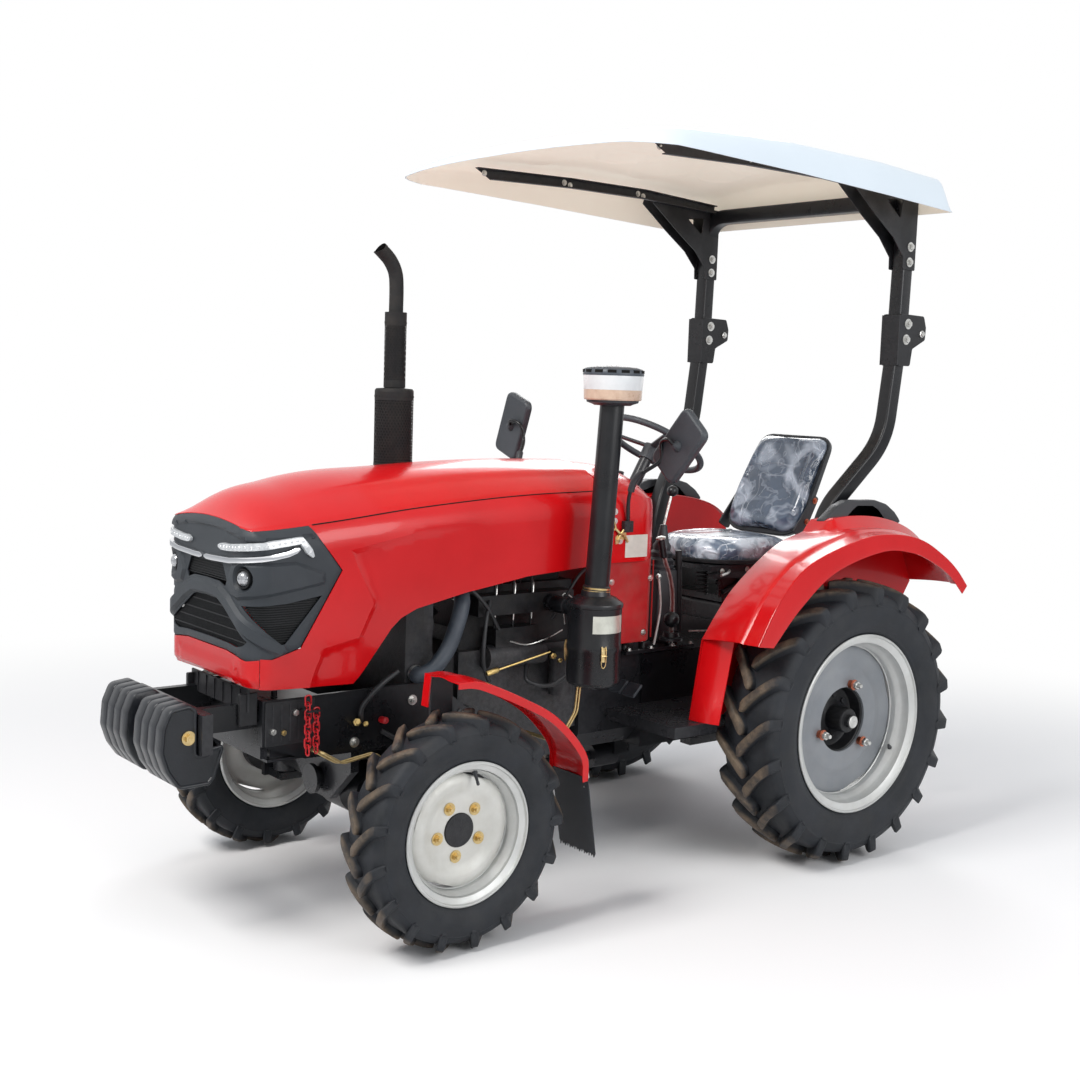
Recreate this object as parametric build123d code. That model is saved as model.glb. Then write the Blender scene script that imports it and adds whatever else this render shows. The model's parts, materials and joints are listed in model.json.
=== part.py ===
"""Compact four-wheel-drive farm tractor with a folding roll bar and a sun canopy.

Millimetres. The front faces -Y, the tractor's left side is +X and the ground is Z = 0.
Y = 0 is half way between the front weights and the ends of the lower links.
"""

import os
from math import cos, degrees, pi, radians, sin, tan

from build123d import *

# ---------------------------------------------------------------- driving dimensions
LENGTH = 3340
WHEELBASE = 1704
REAR_AXLE_Y = 830
FRONT_AXLE_Y = REAR_AXLE_Y - WHEELBASE

REAR_TYRE_R = 530
REAR_TYRE_HALF = 131
REAR_TRACK_HALF = 671
FRONT_TYRE_R = 373
FRONT_TYRE_HALF = 88
FRONT_TRACK_HALF = 619

# half width and radius of a rim's bead seat, then of its flange
REAR_BEAD = (101, 307, 105, 330)
FRONT_BEAD = (62, 204, 65, 222)

KINGPIN_X = 470
STEERING_ARM = 170
TIE_ROD_Z = 300

SHEET = 3
HOOD_HALF = 305
HOOD_REAR_Y = -20
NOSE_Y = -1415
NOSE_CORNER_R = 80

PLATFORM_Z = 553
SEAT_Z = 1060

ROPS_X = 540
ROPS_TUBE = 60
ROPS_PIVOT = (1318, 1985)

CANOPY_SHELL = 5

STACK_X = -130
STACK_Y = -655
CLEANER_X = 420
CLEANER_Y = -170

LINK_X_FRONT = 200
LINK_X_REAR = 342
LINK_PIVOT = (945, 420)
LINK_EYE_R = 30
LINK_EYE_Y = LENGTH / 2 - LINK_EYE_R
LINK_EYE_Z = 372
LIFT_REACH = 300
ROCKSHAFT_Z = 850

WHEEL_TILT = 31
WHEEL_CENTRE = Vector(0, 456, 1525)
WHEEL_AXIS = Vector(0, sin(radians(WHEEL_TILT)), cos(radians(WHEEL_TILT)))
COLUMN_FOOT = WHEEL_CENTRE - WHEEL_AXIS * 400
COLUMN_HEAD = WHEEL_CENTRE - WHEEL_AXIS * 72

PROPSHAFT_Z = 322
TRUNNION_Z = FRONT_TYRE_R + 35

RUNNING_GAP = 0.05


# ---------------------------------------------------------------- helpers
def block(x0, x1, y0, y1, z0, z1):
    centre = Pos((x0 + x1) / 2, (y0 + y1) / 2, (z0 + z1) / 2)
    return centre * Box(abs(x1 - x0), abs(y1 - y0), abs(z1 - z0))


def side_prism(points, x0, x1):
    """A (y, z) outline carried from x0 to x1."""
    face = Plane.YZ.offset(x0) * Polygon(*points, align=None)
    return extrude(face, amount=x1 - x0, dir=(1, 0, 0))


def front_prism(points, y0, y1):
    """An (x, z) outline carried from y0 to y1."""
    face = Plane.XZ.offset(-y0) * Polygon(*points, align=None)
    return extrude(face, amount=y1 - y0, dir=(0, 1, 0))


def plan_prism(points, z0, z1):
    """An (x, y) outline carried from z0 to z1."""
    face = Plane.XY.offset(z0) * Polygon(*points, align=None)
    return extrude(face, amount=z1 - z0, dir=(0, 0, 1))


def turned_x(points):
    """A closed (x, radius) outline turned about the X axis."""
    return revolve(Plane.XZ * Polygon(*points, align=None), Axis.X, 360)


def rod(start, end, radius):
    start, end = Vector(start), Vector(end)
    return Solid.make_cylinder(radius, (end - start).length, Plane(start, z_dir=end - start))


def bent_rod(points, bend, radius, bore=0):
    """A round bar or tube along straight runs joined by arcs."""
    path = FilletPolyline(*points, radius=bend)
    section = Circle(radius) - Circle(bore) if bore else Circle(radius)
    return sweep(Plane(path @ 0, z_dir=path % 0) * section, path=path)


def mirrored(shape):
    return mirror(shape, about=Plane.YZ)


def both_sides(shape):
    return [shape, mirrored(shape)]


def write(node, *shapes):
    solids = [solid for shape in shapes for solid in shape.solids()]
    export_step(Compound(label=node, children=solids), f"parts/{node}.step")


# ---------------------------------------------------------------- wheels
def tread_bar(inner, outer, top_half, base_half):
    """A straight bar that leans across the tread: one section carried from its inner end to its outer end.

    inner, outer: (x, lead along the tread, top height, base height) at the top of the wheel.
    """
    x, lead, top, base = inner
    corners = [(-base_half, base), (-top_half, top), (top_half, top), (base_half, base)]
    face = Plane.YZ.offset(x) * Polygon(*[(offset - lead, height) for offset, height in corners], align=None)
    run = Vector(outer[0] - x, lead - outer[1], outer[2] - top)
    return extrude(face, amount=run.length, dir=run)


def tyre(outline, bar, bars):
    """A ring of flat-sided sectors, two to each pair of tread bars, centred on the X axis."""
    step = 180 / bars
    half = max(x for x, _ in outline) + 5
    height = max(r for _, r in outline) + 5
    spread = height * tan(radians(step / 2))
    slab = extrude(Plane.XZ * Polygon(*outline, align=None), amount=spread + 5, both=True)
    sector = slab & side_prism([(0, 0), (spread, height), (-spread, height)], -half, half)
    ring = sector.fuse(*[Rot(X=step * number) * sector for number in range(1, 2 * bars)])
    facing_bar = Rot(X=step) * mirrored(bar)
    pairs = [Rot(X=2 * step * number) * side for number in range(bars) for side in (bar, facing_bar)]
    return ring.fuse(*pairs)


def tyre_outline(half, shoulder_r, bulge_r, bead, sides):
    """Half the section from the bead to the crown, then its mirror image.

    The bead stands clear of the round rim by what the flat sides would cut into it.
    """
    bead_half, bead_r, flange_half, flange_r = bead
    clear = 1 / cos(pi / sides)
    right = [
        (bead_half, bead_r * clear),
        (flange_half, flange_r * clear),
        (half, bulge_r),
        (half * 0.8, shoulder_r),
    ]
    return right + [(-x, r) for x, r in reversed(right)]


def rear_tyre():
    top = REAR_TYRE_R
    bar = tread_bar((-6, 62, top - 5.5, top - 66), (REAR_TYRE_HALF, -62, top - 22, top - 82), 17, 24)
    outline = tyre_outline(REAR_TYRE_HALF, top - 38, top - 130, REAR_BEAD, 40)
    return tyre(outline, bar, 20)


def front_tyre():
    top = FRONT_TYRE_R
    bar = tread_bar((-5, 44, top - 4.4, top - 42), (FRONT_TYRE_HALF, -44, top - 16, top - 54), 13, 18)
    outline = tyre_outline(FRONT_TYRE_HALF, top - 28, top - 88, FRONT_BEAD, 34)
    return tyre(outline, bar, 17)


def rim_band(bead, well_half, well_r, gauge):
    """The rolled steel band that a tyre sits on."""
    bead_half, bead_r, flange_half, flange_r = bead
    upper = [
        (flange_half + 7, flange_r),
        (flange_half, flange_r),
        (bead_half, bead_r),
        (well_half + 14, bead_r - 4),
        (well_half, well_r),
    ]
    lower = [
        (well_half + 3, well_r - gauge),
        (well_half + 16, bead_r - 4 - gauge),
        (bead_half + 6, bead_r - gauge),
        (flange_half + 7, flange_r - gauge),
    ]
    outer = [(-x, r) for x, r in upper] + upper[::-1]
    inner = lower[::-1] + [(-x, r) for x, r in lower]
    return turned_x(outer + inner)


def rear_rim():
    band = rim_band(REAR_BEAD, 50, 287, 5)
    disc = turned_x([
        (18, 122), (30, 122), (34, 190), (26, 232), (26, 283), (19, 283), (19, 230), (27, 188), (23, 130),
    ])
    holes = [Rot(X=90 + 120 * n) * Pos(0, 136, 0) * Rot(Y=90) * Cylinder(9.3, 120) for n in range(3)]
    for hole in holes:
        disc -= hole
    return band + disc


def rear_hub():
    """Hub flange and axle shaft of a rear wheel, x measured from the tyre's centre plane."""
    inboard = -REAR_TRACK_HALF + 330
    profile = [
        (inboard, 0), (inboard, 30), (-185, 30), (-185, 62), (-160, 62), (-120, 48), (-40, 60),
        (0, 118), (0, 152), (17.8, 152), (17.8, 112), (12, 70), (24, 46), (62, 44), (62, 24), (84, 22), (84, 0),
    ]
    hub = turned_x(profile)
    bolts = [Rot(X=90 + 120 * n) * Pos(60, 136, 0) * Rot(Y=90) * Cylinder(9, 84) for n in range(3)]
    return hub, bolts


def front_rim():
    band = rim_band(FRONT_BEAD, 30, 188, 4)
    disc = turned_x([(12, 54), (17, 54), (17, 112), (40, 150), (34, 185), (28, 185), (33, 152), (12, 116)])
    for n in range(5):
        disc -= Rot(X=90 + 72 * n) * Pos(15, 82, 0) * Rot(Y=90) * Cylinder(7, 30)
    return band + disc


def front_hub():
    hub = turned_x([
        (-100, 0), (-100, 26), (-46, 26), (-46, 70), (-30, 98), (11.9, 98), (11.9, 53.9), (28, 53), (34, 40), (34, 0),
    ])
    bolts = [Rot(X=90 + 72 * n) * Pos(20, 82, 0) * Rot(Y=90) * Cylinder(6.8, 24) for n in range(5)]
    return hub, bolts


def write_wheels():
    places = (
        # name, tyre, rim, hub, x, y, z
        ("rear", rear_tyre(), rear_rim(), rear_hub(), REAR_TRACK_HALF, REAR_AXLE_Y, REAR_TYRE_R),
        ("front", front_tyre(), front_rim(), front_hub(), FRONT_TRACK_HALF, FRONT_AXLE_Y, FRONT_TYRE_R),
    )
    for name, rubber, rim, (hub, bolts), x, y, z in places:
        place = Pos(x, y, z)
        hub_solid = hub.fuse(*bolts)
        for node, shape in (("tyre", rubber), ("rim", rim), ("hub", hub_solid)):
            write(f"{name}_{node}_left", place * shape)
            write(f"{name}_{node}_right", mirrored(place * shape))


# ---------------------------------------------------------------- hood and cowl
HOOD_ROWS = (
    # y, crown z, seam z, seam half width, side half width
    (-1430, 1296, 1282, 270, 300),
    (-1340, 1372, 1286, 278, 304),
    (-1200, 1412, 1298, 284, 306),
    (-800, 1448, 1340, 282, 308),
    (-210, 1467, 1374, 280, 310),
    (150, 1450, 1368, 280, 310),
    (380, 1400, 1330, 276, 306),
)


def hood_section(y, crown, seam, seam_half, side_half, inset=0):
    """Crown arc, shoulder arc and side line, closed along a level bottom edge."""
    crown, seam = crown - inset, seam - inset
    seam_half, side_half = seam_half - inset, side_half - inset
    low, hip = 700, seam - 90
    plane = Plane.XZ.offset(-y)
    top = ThreePointArc((-seam_half, seam), (0, crown), (seam_half, seam))
    right = ThreePointArc((seam_half, seam), (side_half - 6, seam - 34), (side_half, hip))
    down = Line((side_half, hip), (side_half, low))
    bottom = Line((side_half, low), (-side_half, low))
    up = Line((-side_half, low), (-side_half, hip))
    left = ThreePointArc((-side_half, hip), (-side_half + 6, seam - 34), (-seam_half, seam))
    return plane * make_face([top, right, down, bottom, up, left])


def hood_skin(outer_inset=0, inner_inset=SHEET):
    """A layer of the bodywork from the nose to the dash, open below, between two depths under its surface."""
    outer = loft([hood_section(*row, inset=outer_inset) for row in HOOD_ROWS])
    inner = loft([hood_section(*row, inset=inner_inset) for row in HOOD_ROWS])
    return (outer & nose_plan(outer_inset)) - (inner & nose_plan(inner_inset))


def nose_plan(inset):
    """A tall block whose two front corners follow the nose's plan."""
    half = HOOD_HALF + 6 - inset
    tall = block(-half, half, NOSE_Y + inset, 500, 500, 1700)
    front_corners = tall.edges().filter_by(Axis.Z).group_by(Axis.Y)[0]
    return fillet(front_corners, NOSE_CORNER_R)


SIDE_LOW_EDGE = (
    # y, z of the side panels' lower edge, front to rear
    (NOSE_Y - 20, 800),
    (-1055, 787),
    (-919, 954),
    (-826, 1011),
    (-630, 1053),
    (-381, 1092),
    (HOOD_REAR_Y, 1118),
)

GRILLE_SIDE = (
    # y, z outline of the dark nose moulding as it wraps on to each side
    (NOSE_Y - 20, 900),
    (-1345, 893),
    (-1250, 921),
    (-1108, 1152),
    (-1218, 1297),
    (NOSE_Y - 20, 1290),
)


SIDE_RECESS = (
    # y, z of the pressed recess in each side panel; it fades out towards the rear
    (-1078, 1213),
    (-557, 1297),
    (-540, 1000),
    (-880, 900),
    (-1000, 780),
    (-1214, 780),
    (-1205, 830),
    (-1170, 911),
    (-1043, 937),
    (-991, 1041),
)
RECESS_DEPTH = 8


def side_panel(panel):
    """The left side panel with its pressed recess: the sheet inside the outline swings in behind a wall."""
    outline = Polygon(*SIDE_RECESS, align=None)
    inner_outline = offset(outline, amount=-SHEET)
    zone, core = (extrude(Plane.YZ * face, amount=400, dir=(1, 0, 0)) for face in (outline, inner_outline))
    hinge = Pos(HOOD_HALF, -557, 0)
    swing = Rot(Z=-degrees(RECESS_DEPTH / 500))
    pressed = hinge * swing * hinge.inverse() * (panel & zone)
    wall = (hood_skin(0, RECESS_DEPTH + SHEET) & (zone - core)) & side_prism(hood_side_outline(), 0, 400)
    wall -= block(0, 400, -640, 0, 600, 1700)
    return (panel - zone) + (pressed & core) + wall


def hood_side_outline():
    return [*SIDE_LOW_EDGE, (HOOD_REAR_Y, 1600), (NOSE_Y - 20, 1600)]


# the nose's outlines are seen along its corner: distance round from the corner, and z
CORNER_VIEW = Plane(origin=(HOOD_HALF, NOSE_Y, 0), x_dir=(1, 1, 0), z_dir=(1, -1, 0))
LOWER_OPENING = [(-265, 945), (-235, 925), (235, 925), (265, 945), (75, 1048), (-75, 1048)]
UPPER_OPENING = [(-160, 1114), (160, 1114), (120, 1166), (-120, 1166)]
SIDE_OPENING = [(-45, 1046), (78, 944), (152, 1078)]
CENTRE_BAR = [(-100, 1050), (100, 1050), (80, 1104), (-80, 1104)]
DIAGONAL_BAR = [(-168, 1104), (-182, 1050), (-150, 1045), (28, 924), (62, 940), (-120, 1096)]
BRIGHT_STRIP = [(-209, 1172), (-60, 1186), (106, 1218), (97, 1229), (-60, 1203), (-209, 1191)]
LAMP_STRIP = [
    (-145, 1212), (0, 1222), (102, 1234), (133, 1193), (152, 1197), (118, 1275), (0, 1250), (-145, 1232),
]
LAMP_AXIS = (255, 1140)


def corner_prism(points):
    return extrude(CORNER_VIEW * Polygon(*points, align=None), amount=130, both=True)


def front_cut(points):
    return front_prism(points, NOSE_Y - 20, NOSE_Y + 40)


def write_nose(shell):
    """Nose moulding with slatted openings, raised V bar, bright strip, lamp strip and round lamps."""
    grille = shell & side_prism(GRILLE_SIDE, -400, 400)
    openings = [front_cut(LOWER_OPENING), front_cut(UPPER_OPENING), *both_sides(corner_prism(SIDE_OPENING))]
    backing = hood_skin(SHEET - 1, 2 * SHEET + 2)
    slats = [block(x - 2.5, x + 2.5, NOSE_Y - 5, NOSE_Y + 40, 915, 1175) for x in range(-266, 267, 19)]
    centre = backing & front_prism([(-280, 915), (280, 915), (170, 1175), (-170, 1175)], -1500, -1300)
    centre_mesh = [centre & slat for slat in slats]
    louvres = [block(180, 330, -1460, -1150, z - 2, z + 2) for z in range(953, 1072, 15)]
    corner = backing & corner_prism([(-60, 1060), (78, 930), (168, 1085)])
    side_mesh = [corner & louvre for louvre in louvres]
    raised = hood_skin(-7, 1)
    bars = [raised & front_cut(CENTRE_BAR), *both_sides(raised & corner_prism(DIAGONAL_BAR))]
    strips = both_sides(raised & corner_prism(BRIGHT_STRIP))
    lamp_x, lamp_z = LAMP_AXIS
    tube = rod((lamp_x, NOSE_Y - 3, lamp_z), (lamp_x, NOSE_Y + 60, lamp_z), 36)
    bore = rod((lamp_x, NOSE_Y - 50, lamp_z), (lamp_x, NOSE_Y + 50, lamp_z), 28)
    for opening in openings:
        grille -= opening
    side_mesh += [mirrored(louvre) for louvre in side_mesh]
    grille = grille.fuse(*centre_mesh, *side_mesh, *bars, *strips, tube, mirrored(tube))
    write("nose_grille", grille - bore - mirrored(bore))
    glass = rod((lamp_x, NOSE_Y + 8, lamp_z), (lamp_x, NOSE_Y + 49.9, lamp_z), 27.9)
    lens_zone = rod((lamp_x, NOSE_Y - 6, lamp_z), (lamp_x, NOSE_Y + 9, lamp_z), 24)
    bulge = Pos(lamp_x, NOSE_Y + 30, lamp_z) * Sphere(34) & lens_zone
    strip = hood_skin(-6, -0.1) & corner_prism(LAMP_STRIP)
    write("headlamps", *both_sides(glass + bulge), *both_sides(strip))


def write_hood():
    shell = hood_skin()
    hood = shell & side_prism(hood_side_outline(), -400, 400)
    grille_zone = side_prism(GRILLE_SIDE, -400, 400)
    seam_zone = loft([
        Plane.XZ.offset(-y) * Rectangle(2 * half, 500, align=(Align.CENTER, Align.MIN)).moved(Location((0, z)))
        for y, z, half in ((NOSE_Y - 20, 1290, 340), (-1218, 1297, 340), (HOOD_REAR_Y + 10, 1374, 340))
    ], ruled=True)
    top = (hood - grille_zone) & seam_zone
    sides = (hood - grille_zone) - seam_zone
    lip_zone = block(-400, 400, NOSE_Y - 20, -1379, 700, 1000)
    write("hood_top", top - rod((STACK_X, STACK_Y, 1300), (STACK_X, STACK_Y, 1500), 76))
    panel = side_panel((sides - lip_zone) & block(0, 400, -1600, 100, 600, 1700))
    write("hood_side_left", panel)
    write("hood_side_right", mirrored(panel))
    write("nose_lip", sides & lip_zone)
    write_nose(shell)
    cowl_outline = [
        (0, 815), (250, 815), (250, 1110), (318, 1190), (362, 1290), (330, 1370), (255, 1425), (0, 1500),
    ]
    cowl = shell & side_prism(cowl_outline, -400, 400)
    back = side_prism([
        (247, 815), (250, 815), (250, 1110), (318, 1190), (362, 1290), (330, 1370),
        (328, 1368), (358, 1290), (315, 1192), (247, 1112),
    ], -300, 300)
    inner = loft([hood_section(*row, inset=0.5) for row in HOOD_ROWS[-3:]])
    column_hole = rod(COLUMN_FOOT, COLUMN_HEAD, 26)
    write("cowl", cowl + (back & inner) - column_hole)


# ---------------------------------------------------------------- engine bay
def write_engine():
    half = 165
    y0, y1 = -560, -30
    crankcase = block(-half, half, y0, y1, 500, 820)
    head = block(-130, 130, y0 + 20, y1 - 10, 820, 1040)
    cover = fillet(block(-90, 90, y0 + 50, y1 - 40, 1040, 1110).edges().group_by(Axis.Z)[-1], 18)
    sump = front_prism([(-120, 505), (120, 505), (95, 385), (-95, 385)], y0 + 30, y1 - 30)
    timing = side_prism([(-600, 520), (-560, 470), (-560, 900), (-600, 860)], -140, 140)
    pump = rod((190, -470, 800), (190, -220, 800), 42) + block(150, 215, -440, -260, 790, 900)
    filter_can = rod((205, -140, 640), (205, -140, 800), 42)
    intake_log = block(110, 205, -510, -90, 945, 1015)
    exhaust_log = block(-200, -110, -520, -90, 930, 1000)
    starter = rod((-205, -300, 600), (-205, -60, 600), 48)
    alternator = rod((-205, -585, 900), (-205, -470, 900), 60)
    pulley = rod((0, -640, 640), (0, -595, 640), 75) + rod((0, -640, 900), (0, -595, 900), 62)
    fan = [Pos(0, -655, 900) * Rot(Y=60 * n) * Pos(0, 0, 108) * Rot(Z=28) * Box(52, 4, 128) for n in range(6)]
    engine = crankcase.fuse(
        head, cover, sump, timing, pump, filter_can, intake_log, exhaust_log, starter, alternator, pulley,
        rod((0, -662, 900), (0, -640, 900), 48), *fan,
    )
    injectors = [
        bent_rod([(190, y, 890), (190, y, 1085), (120, y, 1085), (120, y, 1030)], 20, 5)
        for y in (-430, -350, -270)
    ]
    water_outlet = bent_rod([(60, -500, 1030), (60, -500, 1090), (60, -600, 1130)], 30, 24)
    write("engine", engine.fuse(*injectors, water_outlet))


def write_radiator():
    core = block(-200, 200, -800, -730, 600, 1235)
    shroud = block(-195, 195, -730, -690, 700, 1200) - rod((0, -800, 905), (0, -600, 905), 185)
    cap = rod((60, -765, 1235), (60, -765, 1262), 26)
    write("radiator", core + shroud + cap)


def write_frame():
    plate_outline = [
        (-1330, 745), (-1330, 600), (-1180, 545), (-640, 535), (-560, 560), (-560, 640), (-690, 745),
    ]
    plate = side_prism(plate_outline, 205, 217)
    cross_front = block(-205, 205, -1330, -1306, 560, 745)
    tray = block(-205, 205, -1306, -700, 545, 553)
    saddle_face = [(-205, 553), (205, 553), (205, 470), (70, 350), (-70, 350), (-205, 470)]
    saddle = front_prism(saddle_face, -1004, -974) + front_prism(saddle_face, -774, -744)
    saddle -= rod((0, -1100, TRUNNION_Z), (0, -700, TRUNNION_Z), 38 + RUNNING_GAP)
    arms = [block(s * 165.2, s * 217, -640, -540, 560, 640) for s in (-1, 1)]
    bar = block(-262, 262, -1550.5, -1516, 612.5, 735)
    stays = [block(s * 150, s * 178, -1516, -1306, 655, 735) for s in (-1, 1)]
    hook = block(217, 276, -1202, -1160, 706, 712)
    frame = plate.fuse(mirrored(plate), cross_front, tray, saddle, *arms, bar, *stays, hook)
    write("front_frame", frame)
    battery = block(-190, 190, -1290, -1120, 553.2, 740)
    posts = [rod((s * 140, -1250, 740), (s * 140, -1250, 758), 10) for s in (-1, 1)]
    write("battery", battery.fuse(*posts))


def write_weights():
    front = -LENGTH / 2
    outline = [
        (front + 30, 757), (front + 95, 765), (-1553, 748), (-1553, 612), (-1513, 612), (-1513, 628),
        (-1472, 632), (-1466, 618), (-1495, 530), (-1512, 512), (front + 59, 510), (front + 20, 566),
        (front, 625), (front + 6, 700),
    ]
    slabs = []
    for inner_x in (-236, 28):
        for number in range(4):
            x0 = inner_x + 52.5 * number
            slabs.append(side_prism(outline, x0, x0 + 50.5))
    recess = [
        (front + 40, 735), (front + 92, 742), (-1567, 728), (-1567, 600), (-1500, 600), (-1522, 545),
        (front + 66, 532), (front + 42, 575), (front + 24, 628), (front + 30, 692),
    ]
    slabs[0] -= side_prism(recess, -240, -232)
    slabs[-1] -= side_prism(recess, 232, 240)
    write("front_weights", *slabs)


def write_driveline():
    bell_outline = [
        (-165, 812), (165, 812), (185, 700), (185, 470), (120, 400), (-120, 400), (-185, 470), (-185, 700),
    ]
    bell = front_prism(bell_outline, -30, 264)
    case = block(-200, 200, 264, 700, 390, 747)
    ribs = [block(-150, 150, 290 + 62 * n, 320 + 62 * n, 747, 762) for n in range(4)]
    centre = block(-190, 190, 700, 1010, 370, 830)
    lift_cover = fillet(block(-160, 160, 720, 1010, 830, 905).edges().group_by(Axis.Z)[-1], 20)
    pto_boss = rod((0, 1005, 560), (0, 1035, 560), 62)
    pto_shaft = rod((0, 1035, 560), (0, 1115, 560), 17.5)
    guard = block(-90, 90, 1010, 1110, 622, 628)
    guard += block(-90, -84, 1010, 1110, 560, 622) + block(84, 90, 1010, 1110, 560, 622)
    transfer = rod((0, 180, PROPSHAFT_Z), (0, 300, PROPSHAFT_Z), 48) + block(-60, 60, 264, 340, 330, 390)
    pins = rod((-238, LINK_PIVOT[0], LINK_PIVOT[1]), (238, LINK_PIVOT[0], LINK_PIVOT[1]), 11)
    top_bracket = [block(s * 24, s * 36, 1000, 1080, 760, 860) for s in (-1, 1)]
    top_hole = rod((-60, 1055, 815), (60, 1055, 815), 9.65)
    housing = bell.fuse(case, *ribs, centre, lift_cover, pto_boss, pto_shaft, guard, transfer, pins, *top_bracket)
    housing -= top_hole
    housing -= rod((-200, LINK_PIVOT[0], ROCKSHAFT_Z), (200, LINK_PIVOT[0], ROCKSHAFT_Z), 26 + RUNNING_GAP)
    write("transmission", housing)
    trumpet = turned_x([
        (190, 30 + RUNNING_GAP), (190, 130), (215, 130), (225, 98), (400, 66), (430, 66), (430, 88), (455, 88),
        (455, 30 + RUNNING_GAP),
    ])
    axle = Pos(0, REAR_AXLE_Y, REAR_TYRE_R) * trumpet
    write("rear_axle", *both_sides(axle))
    drawbar = block(-30, 30, 700, 1200, 300, 330) + block(-70, 70, 720, 800, 330, 369.8)
    drawbar -= rod((0, 1165, 280), (0, 1165, 360), 13)
    write("drawbar", drawbar)


def write_front_axle():
    y, z = FRONT_AXLE_Y, FRONT_TYRE_R
    beam = rod((-440, y, z), (440, y, z), 44)
    bulb = turned_x([(-130, 0), (-130, 60), (-70, 92), (70, 92), (130, 60), (130, 0)])
    bulb = Pos(0, y, z) * bulb
    sleeve = rod((KINGPIN_X, y, z - 62), (KINGPIN_X, y, z + 62), 46)
    bore = rod((KINGPIN_X, y, z - 80), (KINGPIN_X, y, z + 80), 22 + RUNNING_GAP)
    trunnion = rod((0, y - 150, TRUNNION_Z), (0, y + 150, TRUNNION_Z), 38)
    cap = rod((0, y - 165, TRUNNION_Z), (0, y - 150, TRUNNION_Z), 50)
    pinion = rod((0, y, PROPSHAFT_Z), (0, y + 120, PROPSHAFT_Z), 24)
    axle = beam.fuse(bulb, sleeve, mirrored(sleeve), trunnion, cap, pinion)
    axle = axle - bore - mirrored(bore)
    write("front_axle", axle)
    write("propshaft", rod((0, y + 120.2, PROPSHAFT_Z), (0, 179.8, PROPSHAFT_Z), 18))


def write_knuckles():
    """C-shaped steering knuckle with its kingpin, wheel spindle housing and steering arm."""
    y, z, x = FRONT_AXLE_Y, FRONT_TYRE_R, KINGPIN_X
    kingpin = rod((x, y, z - 90), (x, y, z + 90), 22)
    top = block(x - 44, x + 66, y - 42, y + 42, z + 66, z + 92)
    bottom = block(x - 44, x + 66, y - 42, y + 42, z - 92, z - 66)
    web = block(x + 50, x + 74, y - 60, y + 60, z - 92, z + 92)
    arm = block(x - 22, x + 22, y + 42, y + STEERING_ARM + 22, z - 92, z - 66)
    ball = rod((x, y + STEERING_ARM, TIE_ROD_Z + 18), (x, y + STEERING_ARM, z - 66), 9)
    housing = rod((x + 74, y, z), (x + 98, y, z), 60)
    knuckle = kingpin.fuse(top, bottom, web, arm, housing)
    knuckle -= rod((x + 30, y, z), (x + 200, y, z), 26 + RUNNING_GAP)
    knuckle -= rod((x, y + STEERING_ARM, z - 120), (x, y + STEERING_ARM, z), 9 + RUNNING_GAP)
    write("knuckle_left", knuckle)
    write("knuckle_right", mirrored(knuckle))
    fender = front_fender()
    write("front_fender_left", fender)
    write("front_fender_right", mirrored(fender))
    bar_z = z - 112
    tie = rod((-x + 10, y + STEERING_ARM, bar_z), (x - 10, y + STEERING_ARM, bar_z), 14)
    for s in (-1, 1):
        tie += rod((s * x, y + STEERING_ARM, bar_z - 16), (s * x, y + STEERING_ARM, bar_z + 12), 26)
        tie += rod((s * x, y + STEERING_ARM, bar_z), (s * x, y + STEERING_ARM, z - 67), 9)
    write("tie_rod", tie)


def front_fender():
    """Narrow mudguard over the back of a front tyre, with its stay and rubber flap."""
    y, z = FRONT_AXLE_Y, FRONT_TYRE_R
    x0, x1 = FRONT_TRACK_HALF - 92, FRONT_TRACK_HALF + 92
    outer = Spline((-940, 852), (-850, 846), (-694, 781), (-551, 700), (-434, 575), (-418, 480))
    inner = Spline((-939, 848), (-851, 842), (-697, 777), (-554, 697), (-438, 573), (-422, 480))
    ends = [Line(outer @ 0, inner @ 0), Line(outer @ 1, inner @ 1)]
    sheet = extrude(Plane.YZ.offset(x0) * make_face([outer, inner, *ends]), amount=x1 - x0, dir=(1, 0, 0))
    leg = side_prism([(-940, 852), (-936, 848), (-952, 752), (-957, 752)], x0, x0 + 30)
    flap = side_prism([(-418, 480), (-422, 480), (-378, 211), (-374, 211)], x0, x1)
    foot = side_prism([(y - 40, z + 92.2), (y + 40, z + 92.2), (y + 40, 837), (y - 40, 848)], x0 - 12, x0)
    tab = side_prism([(y - 40, 800), (y + 40, 800), (y + 40, 837), (y - 40, 848)], x0 - 12, x0 + 10)
    return sheet.fuse(leg, flap, foot, tab)


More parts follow.
